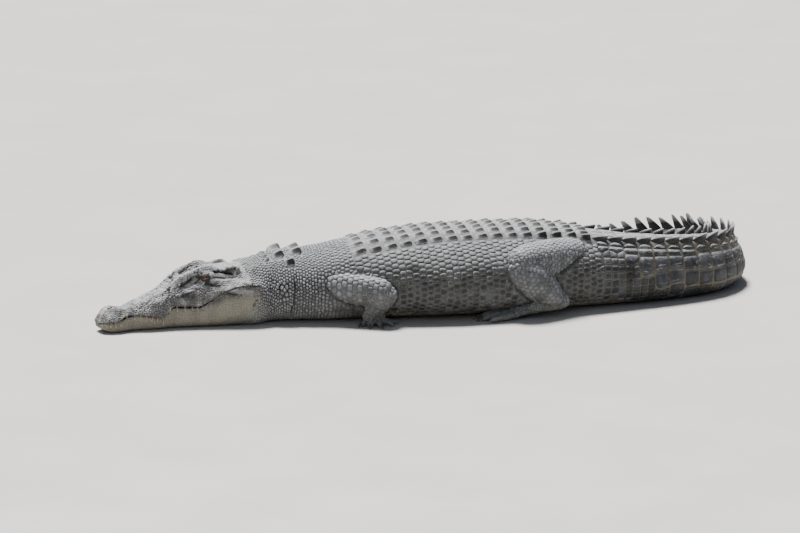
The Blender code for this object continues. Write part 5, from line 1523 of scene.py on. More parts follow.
loc, nor, dist = snap(A["p"])
inside = ((A["p"] - loc) * nor).sum(1) < np.where(A["s"] < 0.66, -0.0130, -0.0060)
keep = (dist < 0.016) & ~inside
ids = np.array([skin_tree.find(q)[1] for q in loc])
A["p"] = loc
A["n"] = unit(SKIN_N[ids] * 0.7 + nor * 0.3)
A["ids"] = ids
on_limb = is_limb[ids]
keep &= ~((A["limb"] < 0) & (on_limb >= 0) & (limb_soft[ids] > 0.75))
keep &= ~((A["limb"] >= 0) & (limb_soft[ids] < 0.20))
keep &= A["p"][:, 2] > 0.0013
# clear of the keeled plates
GHOSTS = []
for s0_, p_, lat_c, wid, _h in PLATES:
    size_u = max(4, int(p_ / 0.010))
    for u in np.linspace(-0.42, 0.42, size_u):
        for w in np.linspace(-0.40, 0.40, max(3, int(wid / 0.010))):
            s_u = s0_ + p_ * (0.5 + u)
            lat_u = lat_c + w * wid
            vv = v_at_lat([s_u], [abs(lat_u)])
            q = at([s_u], vv)[0]
            GHOSTS.append(place(s_u, math.copysign(q[0], lat_u), q[1]))
for k in A:
    A[k] = A[k][keep]

# More roots wherever the skin of the head, the legs and the flanks would lie bare
def fill_bare():
    tree = KDTree(len(A["p"]))
    for i, q in enumerate(A["p"]):
        tree.insert(q, i)
    tree.balance()
    found, picked = [], []
    for i in rng.permutation(len(SKIN_P)):
        q = SKIN_P[i]
        if q[2] < 0.002:
            continue
        s, limb = s_[i], limb_soft[i]
        if limb < 0.3 and not (0.012 < s < 1.0):
            continue
        _, j, d = tree.find(q)
        size = (A["long"][j] + A["wide"][j]) / 2
        if d > 0.86 * size and d < 0.05:
            found.append((i, j, size))
    grid = {}
    for i, j, size in found:
        q = SKIN_P[i]
        cell = tuple(np.floor(q / 0.02).astype(int))
        near = [r for a in (-1, 0, 1) for b in (-1, 0, 1) for c in (-1, 0, 1) for r in grid.get((cell[0] + a, cell[1] + b, cell[2] + c), ())]
        if all(np.linalg.norm(q - r) > 0.88 * size for r in near):
            grid.setdefault(cell, []).append(q)
            picked.append((i, j))
    if not picked:
        return
    i, j = np.array(picked).T
    extra = {k: A[k][j].copy() for k in A}
    extra["p"], extra["n"], extra["ids"] = SKIN_P[i], SKIN_N[i], i
    extra["s"] = np.where(A["limb"][j] >= 0, A["s"][j], s_[i])
    for k in A:
        A[k] = np.concatenate([A[k], extra[k]])


def clear_of_features():
    keep = A["p"][:, 2] > 0.0013
    for side in SIDES:
        eye = place(EYE_S, side * EYE_LAT, EYE_Z)
        keep &= np.linalg.norm(A["p"] - eye, axis=1) > EYE_R + 0.0050
        nostril = place(0.0480, side * 0.0160, 0.100)
        keep &= np.linalg.norm((A["p"] - nostril) * [1, 1, 0.5], axis=1) > 0.0085
    on = body_coordinates(A["p"])
    r, _ = line_distance(on[0], A["p"][:, 2], EAR_LINE)
    keep &= ~((A["kind"] == "head") & (r < 0.0036) & (np.abs(on[1]) > 0.055))
    tree = KDTree(len(GHOSTS))
    for i, q in enumerate(GHOSTS):
        tree.insert(q, i)
    tree.balance()
    near = np.array([tree.find(q)[2] if 0.6 < s < 2.1 else 1.0 for q, s in zip(A["p"], A["s"])])
    keep &= near > 0.0068
    mouth_s = np.arange(0.004, 0.600, 0.0030)
    tree = KDTree(2 * len(mouth_s))
    for side in SIDES:
        q = at(mouth_s, gape_v(mouth_s))
        for i, r in enumerate(place(mouth_s, side * q[:, 0], q[:, 1])):
            tree.insert(r, i)
    tree.balance()
    near = np.array([tree.find(q)[2] if s < 0.63 else 1.0 for q, s in zip(A["p"], A["s"])])
    keep &= near > 0.0030
    A["kind"][(A["kind"] == "jaw") & (A["s"] > 0.652 - 0.50 * np.maximum(0.12 - A["p"][:, 2], 0))] = "neck"
    for k in A:
        A[k] = A[k][keep]


clear_of_features()
fill_bare()
clear_of_features()

room = (A["long"] + A["wide"]) / 2
order = np.argsort(np.where(A["limb"] >= 0, 1, 0) + np.where(A["kind"] == "toe", -0.5, 0.0), kind="stable")
tree = KDTree(len(room))
for i, q in enumerate(A["p"]):
    tree.insert(q, i)
tree.balance()
taken = np.zeros(len(room), bool)
for i in order:
    ok = True
    for _, j, d in tree.find_range(A["p"][i], room[i] * 0.60):
        if taken[j] and d < 0.46 * min(room[i], room[j]):
            ok = False
            break
    taken[i] = ok
for k in A:
    A[k] = A[k][taken]
A["n"] = unit(A["n"])
A["e1"] = unit(A["e1"] - A["n"] * (A["e1"] * A["n"]).sum(1)[:, None])
A["e2"] = np.cross(A["n"], A["e1"])
A["rnd"] = rng.random(len(A["s"]))
COUNT = len(A["s"])

# the ghosts stand for what the scales keep clear of: keeled plates, crests, the mouth line
mouth = []
for s_m in np.arange(0.004, 0.615, 0.0030):
    vv = np.array([float(gape_v(s_m))])
    q = at([s_m], vv)[0]
    for side in SIDES:
        mouth.append(place(s_m, side * q[0], q[1]))
crest_line = []
for s_c in np.arange(2.011, 3.99, 0.006):
    for side in SIDES:
        c = float(CREST_LAT(s_c))
        q = at([s_c], v_at_lat([s_c], [c]))[0]
        crest_line.append(place(s_c, side * q[0], q[1]))
ghost_points = np.array(GHOSTS + mouth + crest_line)
ghost_room = np.concatenate([np.full(len(GHOSTS), 0.010), np.full(len(mouth), 0.0050), np.full(len(crest_line), 0.012)])
all_points = np.concatenate([A["p"], ghost_points])
all_room = np.concatenate([(A["long"] + A["wide"]) / 2, ghost_room])
tree = KDTree(len(all_points))
for i, q in enumerate(all_points):
    tree.insert(q, i)
tree.balance()
NEIGHBOURS = 16
near_ids = np.array([[j for _, j, _ in tree.find_n(q, NEIGHBOURS + 1)][1:] for q in A["p"]])
delta = all_points[near_ids] - A["p"][:, None]
stretch_x = 1.0 / A["long"][:, None]
stretch_y = 1.0 / A["wide"][:, None]
DX = (delta * A["e1"][:, None]).sum(-1)
DY = (delta * A["e2"][:, None]).sum(-1)
DN = np.abs((delta * A["n"][:, None]).sum(-1))
SHARE = np.clip(((A["long"] + A["wide"]) / 2)[:, None] / (((A["long"] + A["wide"]) / 2)[:, None] + all_room[near_ids]), 0.30, 0.70)
SHARE = np.where(near_ids >= COUNT, 0.62, SHARE)


def outline(i, angles, gap):
    """Radius of each scale i in each direction."""
    d2 = DX[i] ** 2 + DY[i] ** 2 + 1e-12
    cos_, sin_ = np.cos(angles), np.sin(angles)
    c = cos_[:, None] * DX[i][..., None] + sin_[:, None] * DY[i][..., None]
    reach = np.maximum(c, 0) / (d2 * SHARE[i])[..., None]
    cap = np.abs(cos_) ** 4 / (A["long"][i, None] * 0.92) ** 4 + np.abs(sin_) ** 4 / (A["wide"][i, None] * 0.92) ** 4
    power = (12.0 + 12.0 * A["square"][i])[:, None]
    big = reach.max(1, keepdims=True) + 1e-9
    total = ((reach / big) ** power[..., None]).sum(1) ** (1 / power) * big[:, 0]
    total = (total**4 + cap) ** 0.25
    tail = (A["kind"][i] == "tail")[:, None]
    total = np.where(tail, np.maximum(total, np.abs(cos_) / (0.488 * A["long"][i, None])), total)
    r = 1 / total
    return np.maximum(r - gap / 2 * np.where(tail, 1.4 * cos_**2 + 0.5 * sin_**2, 1.0), r * 0.35)


RECIPES = {
    # kind: spokes, ring shares (rim to centre), heights of them (share of height), gap, height
    "head": (12, (1.0, 0.86), (-0.30, 0.80), 0.0005, 0.0009),
    "jaw": (12, (1.0, 0.88), (-0.30, 0.90), 0.0004, 0.0004),
    "neck": (12, (1.0, 0.90, 0.60), (-0.3, 0.46, 0.86), 0.0015, 0.0042),
    "flank": (12, (1.0, 0.91, 0.60), (-0.35, 0.60, 0.92), 0.0019, 0.0032),
    "belly": (16, (1.0, 0.94, 0.60), (-0.4, 0.80, 0.97), 0.0014, 0.0020),
    "tail": (24, (1.0, 0.94, 0.60), (-0.4, 0.62, 0.93), 0.0020, 0.0036),
    "limb": (12, (1.0, 0.92, 0.55), (-0.25, 0.66, 0.93), 0.0009, 0.0026),
    "toe": (10, (1.0, 0.88, 0.5), (-0.3, 0.62, 0.95), 0.0006, 0.0017),
}
COAT_PIECES = []


def build_scales(name, pick, kind):
    i = np.flatnonzero(pick)
    if not len(i):
        return
    spokes, shares, highs, gap, height = RECIPES[kind]
    turn = np.arange(spokes) * 2 * np.pi / spokes  # so that spokes run to the corners of a long plate too
    angles = np.arctan2(A["wide"][i, None] * np.sin(turn), A["long"][i, None] * np.cos(turn))
    r = outline(i, angles, gap)
    n, rings = len(i), len(shares)
    per = spokes * rings + 1
    share = np.array(shares)
    x = np.concatenate([(r[:, None, :] * share[None, :, None] * np.cos(angles)[:, None]).reshape(n, -1), np.zeros((n, 1))], 1)
    y = np.concatenate([(r[:, None, :] * share[None, :, None] * np.sin(angles)[:, None]).reshape(n, -1), np.zeros((n, 1))], 1)
    level = np.concatenate([np.repeat(np.array(highs), spokes), [1.0]])[None]
    size = np.sqrt(A["long"][i] * A["wide"][i])
    h = height * level * (0.75 + 0.5 * A["rnd"][i])[:, None]
    h = h * (1 + 0.30 * np.clip(x / np.maximum(A["long"][i], 1e-6)[:, None], -1, 1) * (level > 0))  # the rear edge stands a little higher
    keel = A["keel"][i][:, None]
    h = h + keel * np.clip(1 - np.abs(y) / (0.42 * A["wide"][i])[:, None], 0, 1) * np.clip(1.1 - np.abs(x) / (0.52 * A["long"][i])[:, None], 0, 1) ** 0.5 * (level > 0)
    root, e1, e2, nn = A["p"][i], A["e1"][i], A["e2"][i], A["n"][i]
    flat = root[:, None] + x[..., None] * e1[:, None] + y[..., None] * e2[:, None]
    loc, nor, _ = snap(flat.reshape(-1, 3))
    up = unit(np.repeat(nn, per, axis=0) * 0.65 + nor * 0.35)
    pts = loc + up * h.reshape(-1, 1)
    pts[:, 2] = np.maximum(pts[:, 2], 0.0002)
    edge = np.tile(np.concatenate([np.repeat(share, spokes), [0.0]]), n)
    # faces
    tris, quads = [], []
    for q in range(rings - 1):
        for j in range(spokes):
            k = (j + 1) % spokes
            quads.append((q * spokes + j, q * spokes + k, (q + 1) * spokes + k, (q + 1) * spokes + j))
    for j in range(spokes):
        k = (j + 1) % spokes
        tris.append(((rings - 1) * spokes + j, (rings - 1) * spokes + k, per - 1))
    quads, tris = np.array(quads), np.array(tris)
    base = (np.arange(n) * per)[:, None, None]
    limit = 190000 // (len(quads) * 2 + len(tris))
    for part, start in enumerate(range(0, n, limit)):
        stop = min(start + limit, n)
        m = stop - start
        b = (np.arange(m) * per)[:, None, None]
        obj = new_mesh(f"{name}_{part + 1}", pts[start * per : stop * per], (quads[None] + b).reshape(-1, 4), (tris[None] + b).reshape(-1, 3))
        # the keels' crests get a pale edge, partly wear and partly painted highlight
        worn_and_lit_edge = (A["keel"][i][:, None] > 0) * np.clip(1 - np.abs(y) / (0.16 * A["wide"][i])[:, None], 0, 1) * (level > 0.5)
        finish_coat(obj, i[start:stop], per, loc[start * per : stop * per], edge[start * per : stop * per], x[start:stop], y[start:stop], size[start:stop], worn_and_lit_edge[start:stop].ravel())


def finish_coat(obj, i, per, under, edge, x, y, size, keel):
    ids = A["ids"][i]
    s, lat = body_s[i], body_lat[i]
    v = v_skin[ids]
    head = head_[ids]
    mark = mark_[[skin_tree.find(q)[1] for q in under]]  # what the skin is marked with under each point
    rep = lambda a: np.repeat(a, per, axis=0)
    stamp(obj, rep(s), rep(v), rep(A["rnd"][i]), edge, rep(head), rep(limb_soft[ids]), mark, keel)
    # how near each point is to the front or the rear edge of a tail plate
    at_end = np.clip(np.abs(x) / (0.488 * A["long"][i])[:, None], 0, 1) * (A["kind"][i] == "tail")[:, None]
    put(obj, "ends", np.repeat(at_end.reshape(-1, 1), 3, 1))
    uv = unwrap(A["p"][i], s, lat, v_[ids], np.where(A["limb"][i] >= 0, A["limb"][i], -1))
    local = np.stack([x, y], -1) / np.maximum(size, 1e-6)[:, None, None] * 0.0015
    uv = (uv[:, None] + np.clip(local, -0.0015, 0.0015)).reshape(-1, 2)
    loops = np.empty(len(obj.data.loops), np.int32)
    obj.data.loops.foreach_get("vertex_index", loops)
    layer = obj.data.uv_layers.new(name="OFBake")
    layer.data.foreach_set("uv", np.clip(uv[loops], 0, 1).astype(np.float32).ravel())
    obj.data.shade_smooth()
    COAT_PIECES.append(obj)


body_s, body_lat = straight[[body_tree.find(q)[1] for q in A["p"]]][:, :2].T
for kind in RECIPES:
    build_scales(f"scales_{kind}", A["kind"] == kind, kind)


# ----------------------------------------------------------------------------------------------
# Keeled plates of the back and nape, and the crests of the tail
# ----------------------------------------------------------------------------------------------
def drop(s, lat):
    """Points of the skin straight below (s, lat), and its normals there."""
    p = place(s, lat, np.full(np.shape(s), 0.6))
    out, nor = np.empty_like(p), np.empty_like(p)
    for i, q in enumerate(p):
        hit, n, _, _ = skin_bvh.ray_cast(Vector(q), Vector((0, 0, -1)))
        if hit is None:
            hit, n, _, _ = skin_bvh.find_nearest(Vector(q))
        out[i], nor[i] = hit, n
    return out, nor


def grid_faces(n_u, n_w):
    i, j = np.meshgrid(np.arange(n_u - 1), np.arange(n_w - 1), indexing="ij")
    a = i * n_w + j
    return np.stack([a, a + n_w, a + n_w + 1, a + 1], -1).reshape(-1, 4)


class Coat:
    """Gathers many scales into one piece."""

    def __init__(self):
        self.p, self.q, self.t, self.s, self.v, self.rnd, self.edge, self.mark, self.keel, self.uv, self.flank = ([] for _ in range(11))
        self.count = 0

    def add(self, p, quads, tris, s, lat, edge, keel, rnd, patch, flank):
        n = len(p)
        self.flank.append(flank)
        self.p.append(p)
        self.q.append(np.asarray(quads, int).reshape(-1, 4) + self.count)
        self.t.append(np.asarray(tris, int).reshape(-1, 3) + self.count)
        self.count += n
        v = v_at_lat([s], [abs(lat)])
        mark, _ = paint(np.array([s]), np.array([lat]), np.array([p[:, 2].mean()]), v, np.zeros(1), p[:1])
        self.s.append(np.full(n, s))
        self.v.append(np.full(n, float(v[0])))
        self.rnd.append(np.full(n, rnd))
        self.edge.append(edge)
        self.keel.append(keel)
        self.mark.append(np.repeat(mark, n, axis=0))
        self.uv.append(unwrap(p[:1], np.array([s]), np.array([lat]), v, np.array([-1])) + patch * 0.0015)

    def build(self, name):
        p = np.concatenate(self.p)
        obj = new_mesh(name, p, np.concatenate(self.q), np.concatenate(self.t))
        cat = np.concatenate
        n = len(p)
        stamp(obj, cat(self.s), cat(self.v), cat(self.rnd), cat(self.edge), np.zeros(n), np.zeros(n), cat(self.mark), cat(self.keel), cat(self.flank), np.ones(n))
        loops = np.empty(len(obj.data.loops), np.int32)
        obj.data.loops.foreach_get("vertex_index", loops)
        layer = obj.data.uv_layers.new(name="OFBake")
        layer.data.foreach_set("uv", np.clip(cat(self.uv)[loops], 0, 1).astype(np.float32).ravel())
        obj.data.shade_smooth()
        COAT_PIECES.append(obj)
        return obj


NU, NW = 15, 13


def keeled_plate(coat, s0, length, lat_c, width, tall, nape):
    u, w = np.meshgrid(np.linspace(-1, 1, NU), np.linspace(-1, 1, NW), indexing="ij")
    seed = rng.uniform(-1, 1, 4)
    k = 0.55 if nape else 0.34
    x = u * np.sqrt(1 - k * w**2)
    y = w * np.sqrt(1 - k * u**2)
    share = np.maximum(np.abs(u), np.abs(w))  # 0 centre, 1 rim
    x = x * (1 + 0.03 * seed[0]) * 0.955
    y = y * (1 + 0.03 * seed[1]) * 0.955
    wobble = 0.012 * np.sin(3 * np.arctan2(y, x) + 6 * seed[2]) * share
    s = s0 + length * (0.5 + 0.5 * x * (1 + wobble))
    lat = lat_c + 0.5 * width * y * (1 + wobble)
    base, nor = drop(s.ravel(), lat.ravel())
    mean = unit(nor.mean(0))
    out = unit(0.35 * nor + 0.65 * mean + np.array([0, 0, 0.25]))
    # the keel: low in front, tallest at 72% of the plate, then steep to the rear
    t = (x + 1) / 2
    rise = np.where(t < 0.68, np.clip((t + 0.04) / 0.72, 0, 1) ** 0.75, 1 - step(0.68, 1.04, t) ** 1.4)
    bend = 0.05 * seed[3] * np.sin(np.pi * t)
    across = np.clip(1 - np.abs(y - bend) / 0.86, 0, 1)
    ridge = 0.52 * across + 0.48 * np.clip(1 - np.abs(y - bend) / 0.50, 0, 1) ** 1.15
    dome = 0.0030 * (1 - share**3.0)
    pit = 0.0006 * noise(np.stack([x * length * 9, y * width * 9, np.full_like(x, 7 * seed[0])], -1).reshape(-1, 3) * 0.1, 0.02, 31).reshape(x.shape)
    h = 0.0006 + dome + (tall - 0.0036) * rise * ridge + pit * (share < 0.9)
    h = np.where(share > 0.99, -0.0022, h)
    ring = (share > 0.84) & (share <= 0.99)
    h = np.where(ring, np.minimum(h, 0.0024 + 0.45 * (h - 0.0024)), h)
    p = base + out * h.reshape(-1, 1)
    # keel marks the ridge's pale edge, partly wear and partly painted highlight; flank marks a lens on either slope of
    # the ridge for painted shade
    off = np.abs(y - bend)
    keel = (rise * np.clip(1 - off / 0.22, 0, 1)).ravel() * min(1.0, tall / 0.014)
    lens = 0.30 + 0.36 * np.sin(np.pi * np.clip(t, 0, 1)) ** 0.8
    flank = (step(0.16, 0.40, t) * step(0.05, 0.13, off) * (1 - step(lens, lens + 0.14, off)) * (share < 0.97)).ravel() * min(1.0, tall / 0.012)
    coat.add(p, grid_faces(NU, NW), [], s0 + length / 2, lat_c, share.ravel(), keel, rng.random(), np.stack([x, y], -1).reshape(-1, 2), flank)


back = Coat()
for s0_, len_, lat_c, wid_, tall_ in PLATES:
    nape = s0_ < 0.95
    lift = 0.0 if nape else 0.10 + 0.16 * float(step(1.80, 2.3, s0_))
    outer = (not nape) and abs(lat_c) > 0.85 * float(CREST_LAT(s0_ + len_ / 2))
    high = tall_ - (lift * (tall_ - COAT) if outer else 0.0)
    keeled_plate(back, s0_, len_ * (0.97 if not nape else 1.0), lat_c, wid_ * (0.97 if not nape else 1.0), high, nape)
back.build("plates_back")


def fin(coat, s0, pitch, lat_c, tall, lean_out, n_level=9, around=18):
    """A crest scute: a thin blade that leans towards the tail's tip."""
    jig = rng.uniform(-1, 1, 4)
    level = np.concatenate([[-0.22, -0.04], np.linspace(0.08, 0.90, n_level - 4), [0.97, 1.0]])
    a = np.linspace(0, 2 * np.pi, around, endpoint=False)
    rings = []
    c = s0 + pitch / 2
    base, _ = drop(np.array([c - pitch * 0.25, c, c + pitch * 0.25]), np.full(3, lat_c))
    z0 = float(base[:, 2].mean())
    slope = float(base[2, 2] - base[0, 2]) / (pitch * 0.5)
    sharp = 0.10 + 0.03 * jig[0]
    squat = 1 - float(step(0.026, 0.050, tall))  # low crests are humps, tall ones lean like blades
    thick = (0.0050 + 0.055 * min(tall, 0.05)) * (1 + 0.6 * squat)
    for h in level:
        hh = max(h, 0.0)
        front = 0.005 + (1.16 - 0.12 * squat - sharp) * hh ** (1.05 + 0.80 * squat + 0.1 * jig[1])
        rear = 0.985 + (0.34 - 0.20 * squat + 0.05 * jig[2]) * hh**1.3 - 0.05 * hh**6
        front = min(front, rear - 0.10)
        if h >= 1.0:
            front, rear = front + 0.05, rear - 0.03
        mid, half = (front + rear) / 2, (rear - front) / 2
        t = thick * (1 - 0.66 * hh**0.9) * (0.55 if h >= 1.0 else 1.0)
        sx = np.sign(np.cos(a)) * np.abs(np.cos(a)) ** 0.85
        sy = np.sign(np.sin(a)) * np.abs(np.sin(a)) ** 1.25
        s = s0 + pitch * (mid + half * sx)
        flute = 1 + 0.05 * np.sin(9 * sx + 5 * jig[3]) * (1 - hh)
        lat = lat_c + t * sy * flute + lean_out * hh * tall
        z = z0 + slope * (s - c) + h * tall + 0.02 * tall * np.sin(5 * sx + 3 * jig[1]) * hh
        rings.append((s, lat, z))
    s = np.concatenate([r[0] for r in rings] + [[rings[0][0].mean()], [rings[-1][0].mean()]])
    lat = np.concatenate([r[1] for r in rings] + [[rings[0][1].mean()], [rings[-1][1].mean()]])
    z = np.concatenate([r[2] for r in rings] + [[rings[0][2].mean()], [rings[-1][2].mean() + 0.0004]])
    n = around
    quads = [(i * n + j, (i + 1) * n + j, (i + 1) * n + (j + 1) % n, i * n + (j + 1) % n) for i in range(len(rings) - 1) for j in range(n)]
    low, top, last = len(rings) * n, len(rings) * n + 1, (len(rings) - 1) * n
    tris = [(low, j, (j + 1) % n) for j in range(n)] + [(top, last + (j + 1) % n, last + j) for j in range(n)]
    p = place(s, lat, z)
    share = np.concatenate([np.repeat(np.clip(level, 0, 1), n), [0.0, 1.0]])
    patch = np.stack([np.clip((s - c) / pitch * 2, -1, 1), np.clip(share * 2 - 1, -1, 1)], -1)
    rim = np.concatenate([np.tile(np.abs(np.cos(a)) ** 3, len(rings)), [0, 0]])
    # the crest's upper part gets the pale edge, partly wear and partly painted highlight; its lower part is marked for
    # painted shade
    coat.add(p, quads, tris, c, lat_c, 0.35 + 0.6 * np.maximum(rim, share**4), 0.10 + 0.90 * step(0.55, 1.0, share), rng.random(), patch, 1 - step(0.50, 0.85, share))


crests = Coat()
for ring_i, (s0_, p_) in enumerate(zip(*tail_rows())):
    c_ = s0_ + p_ / 2
    lat_c = float(CREST_LAT(c_))
    tall_ = (float(CREST_TALL(s0_ + 0.78 * p_)) + COAT) * (1 - 0.20 * (lat_c > 0.02))
    if ring_i < DOUBLE_ROWS and lat_c > 0.006:
        for side in SIDES:
            fin(crests, s0_, p_, side * lat_c, tall_ * (0.985 - 0.12 * rng.random() ** 2), side * 0.16)
    else:
        fin(crests, s0_, p_, 0.0, tall_ * (0.985 - 0.30 * rng.random() ** 1.5), 0.0)
crest_obj = crests.build("crests_tail")


def outward(obj):
    """Turns every closed part of a mesh so that its faces look out."""
    bm = bmesh.new()
    bm.from_mesh(obj.data)
    bmesh.ops.recalc_face_normals(bm, faces=bm.faces)
    bm.to_mesh(obj.data)
    bm.free()
    obj.data.shade_smooth()


outward(crest_obj)


# ----------------------------------------------------------------------------------------------
# Teeth, each a curved cone that leans against the jaw
# ----------------------------------------------------------------------------------------------
def tooth(s, side, length, upward):
    around, n = 12, 9
    v0 = float(gape_v(s))
    jaw_ring = float(np.interp(s, S_TABLE, RING_LENGTH))
    radius = 0.0022 + 0.130 * length
    sign = -1 if upward else 1
    t = np.linspace(-0.35, 1.0, n)
    line = []
    for k in t:
        v = v0 + sign * (0.0012 + k * length) / jaw_ring
        s_k = s + (0.10 if upward else 0.06) * length * k * abs(k)
        q = at([s_k], [v])[0]
        p = place(s_k, side * q[0], q[1])
        hit = np.array(skin_bvh.find_nearest(Vector(p))[0])
        tree_n = SKIN_N[skin_tree.find(p)[1]]
        # rooted inside the gum, then clear of the other jaw's side
        line.append(hit + tree_n * (radius * (0.15 if k < 0 else 0.55)) - tree_n * (0.0030 if k < -0.1 else 0.0))
    line = np.array(line)
    for _ in range(2):
        line[1:-1] = 0.5 * line[1:-1] + 0.25 * (line[:-2] + line[2:])
    tang = unit(np.gradient(line, axis=0))
    rings = []
    out = SKIN_N[skin_tree.find(line[4])[1]]
    a = np.linspace(0, 2 * np.pi, around, endpoint=False)
    for k, c, d in zip(t, line, tang):
        e1 = unit(out - d * (out @ d))
        e2 = np.cross(d, e1)
        kk = max(k, 0)
        r = radius * (1 - kk**1.55) ** 0.85 * (0.92 if k < 0 else 1.0) + 0.00025
        flute = 1 + 0.03 * np.cos(6 * a)
        rings.append(c + r * flute[:, None] * (np.cos(a)[:, None] * e1 * 0.92 + np.sin(a)[:, None] * e2))
    return loft(rings)


tooth_parts, tooth_share, base_ = [], [], 0
tooth_tris = []
for side in SIDES:
    for table_, upward in ((UPPER_TEETH, False), (LOWER_TEETH, True)):
        for f_, length_ in table_:
            if f_ * HEAD_LENGTH < 0.014:
                continue
            pts_, tri_ = tooth(f_ * HEAD_LENGTH, side, length_, upward)
            tooth_parts.append(pts_)
            tooth_tris.append(tri_ + base_)
            tooth_share.append(np.concatenate([np.repeat(np.linspace(-0.35, 1, 9), 12), [-0.35, 1.0]]))
            base_ += len(pts_)
teeth = new_mesh("teeth", np.concatenate(tooth_parts), tris=np.concatenate(tooth_tris))
teeth_share = np.concatenate(tooth_share)
put(teeth, "form", np.stack([teeth_share, np.zeros_like(teeth_share), np.zeros_like(teeth_share)], -1))
outward(teeth)


# ----------------------------------------------------------------------------------------------
# Claws: curved, keeled on top, blunt from walking
# ----------------------------------------------------------------------------------------------
CLAWS = {}
for kind in ("fore", "hind"):
    for mark, side in (("L", -1), ("R", 1)):
        for k in range(3):
            line, r_ = claw_line(kind, k)
            t_ = np.linspace(0, 1, 12)
            knots = np.linspace(0, 1, len(line))
            centre = np.stack([np.interp(t_, knots, line[:, i]) for i in range(3)], -1)
            centre[:, 2] = line[0, 2] + (line[-1, 2] - line[0, 2]) * t_**1.7
            rad = np.interp(t_, (0, 0.12, 0.55, 0.85, 1.0), (r_[0] * 0.88, r_[0] * 0.96, r_[1] * 0.92, r_[1] * 0.50, 0.0008))
            centre[:, 2] = np.maximum(centre[:, 2], rad * 0.92 + 0.0004)
            d_ = unit(line[-1] - line[0])
            flat_side = unit(np.array([-d_[1], d_[0], 0.0]))
            a = np.linspace(0, 2 * np.pi, 16, endpoint=False)
            rings = []
            for c_, rr in zip(centre, rad):
                top = np.sin(a)
                keel_ = 1 + 0.14 * np.clip(top, 0, 1) ** 3 - 0.10 * np.clip(-top, 0, 1)
                rings.append(c_ + (rr * 0.78 * np.cos(a))[:, None] * flat_side + (rr * 0.95 * keel_ * np.sin(a))[:, None] * [0, 0, 1.0])
            station = SHOULDER_S if kind == "fore" else HIP_S
            pts_, tri_ = loft([limb_place(station, side, ring) for ring in rings])
            pts_[:, 2] = np.maximum(pts_[:, 2], 0.0002)
            claw = new_mesh(f"claw_{kind}_{k + 1}_{mark}", pts_, tris=tri_)
            share_ = np.concatenate([np.repeat(t_, 16), [0, 1]])
            put(claw, "form", np.stack([share_, np.zeros_like(share_), np.zeros_like(share_)], -1))
            outward(claw)
            CLAWS[f"{kind}_claw_{k + 1}_{mark}"] = claw


# ----------------------------------------------------------------------------------------------
# Eyes: a ball with a slightly bulging cornea. "gaze" holds (across, up, out) in units of the ball's radius
# ----------------------------------------------------------------------------------------------
EYES = {}
for side, mark in ((-1, "L"), (1, "R")):
    heading = math.radians(float(HEADING(EYE_S)))
    turn = np.array([[-math.cos(heading), -math.sin(heading), 0.0], [-math.sin(heading), math.cos(heading), 0.0], [0.0, 0.0, 1.0]])
    fwd, upw, out = (np.asarray(x, float) @ turn for x in eye_frame(side))
    n_lat, n_round = 34, 48
    polar = np.pi * (np.linspace(0, 1, n_lat + 1)[1:-1] ** 1.25)
    rings = []
    gaze = []
    for th in polar:
        a = np.linspace(0, 2 * np.pi, n_round, endpoint=False)
        x, y, z = np.sin(th) * np.cos(a), np.sin(th) * np.sin(a), np.full(n_round, np.cos(th))
        bulge = 1 + 0.035 * max(0.0, 1 - (th / 0.75) ** 2)
        rings.append(np.stack([x, y, z], -1) * bulge)
        gaze.append(np.stack([x, y, z], -1))
    pts_, tri_ = loft(rings)
    pts_[-2], pts_[-1] = [0, 0, 1.035], [0, 0, -1]
    gaze = np.concatenate(gaze + [np.array([[0, 0, 1.0], [0, 0, -1.0]])])
    centre_ = place(EYE_S, side * EYE_LAT, EYE_Z)
    world = centre_ + EYE_R * (pts_[:, :1] * fwd + pts_[:, 1:2] * upw + pts_[:, 2:3] * out)
    eye = new_mesh(f"eyeball_{mark}", world, tris=tri_)
    put(eye, "gaze", gaze)
    outward(eye)
    EYES[f"eye_{mark}"] = eye


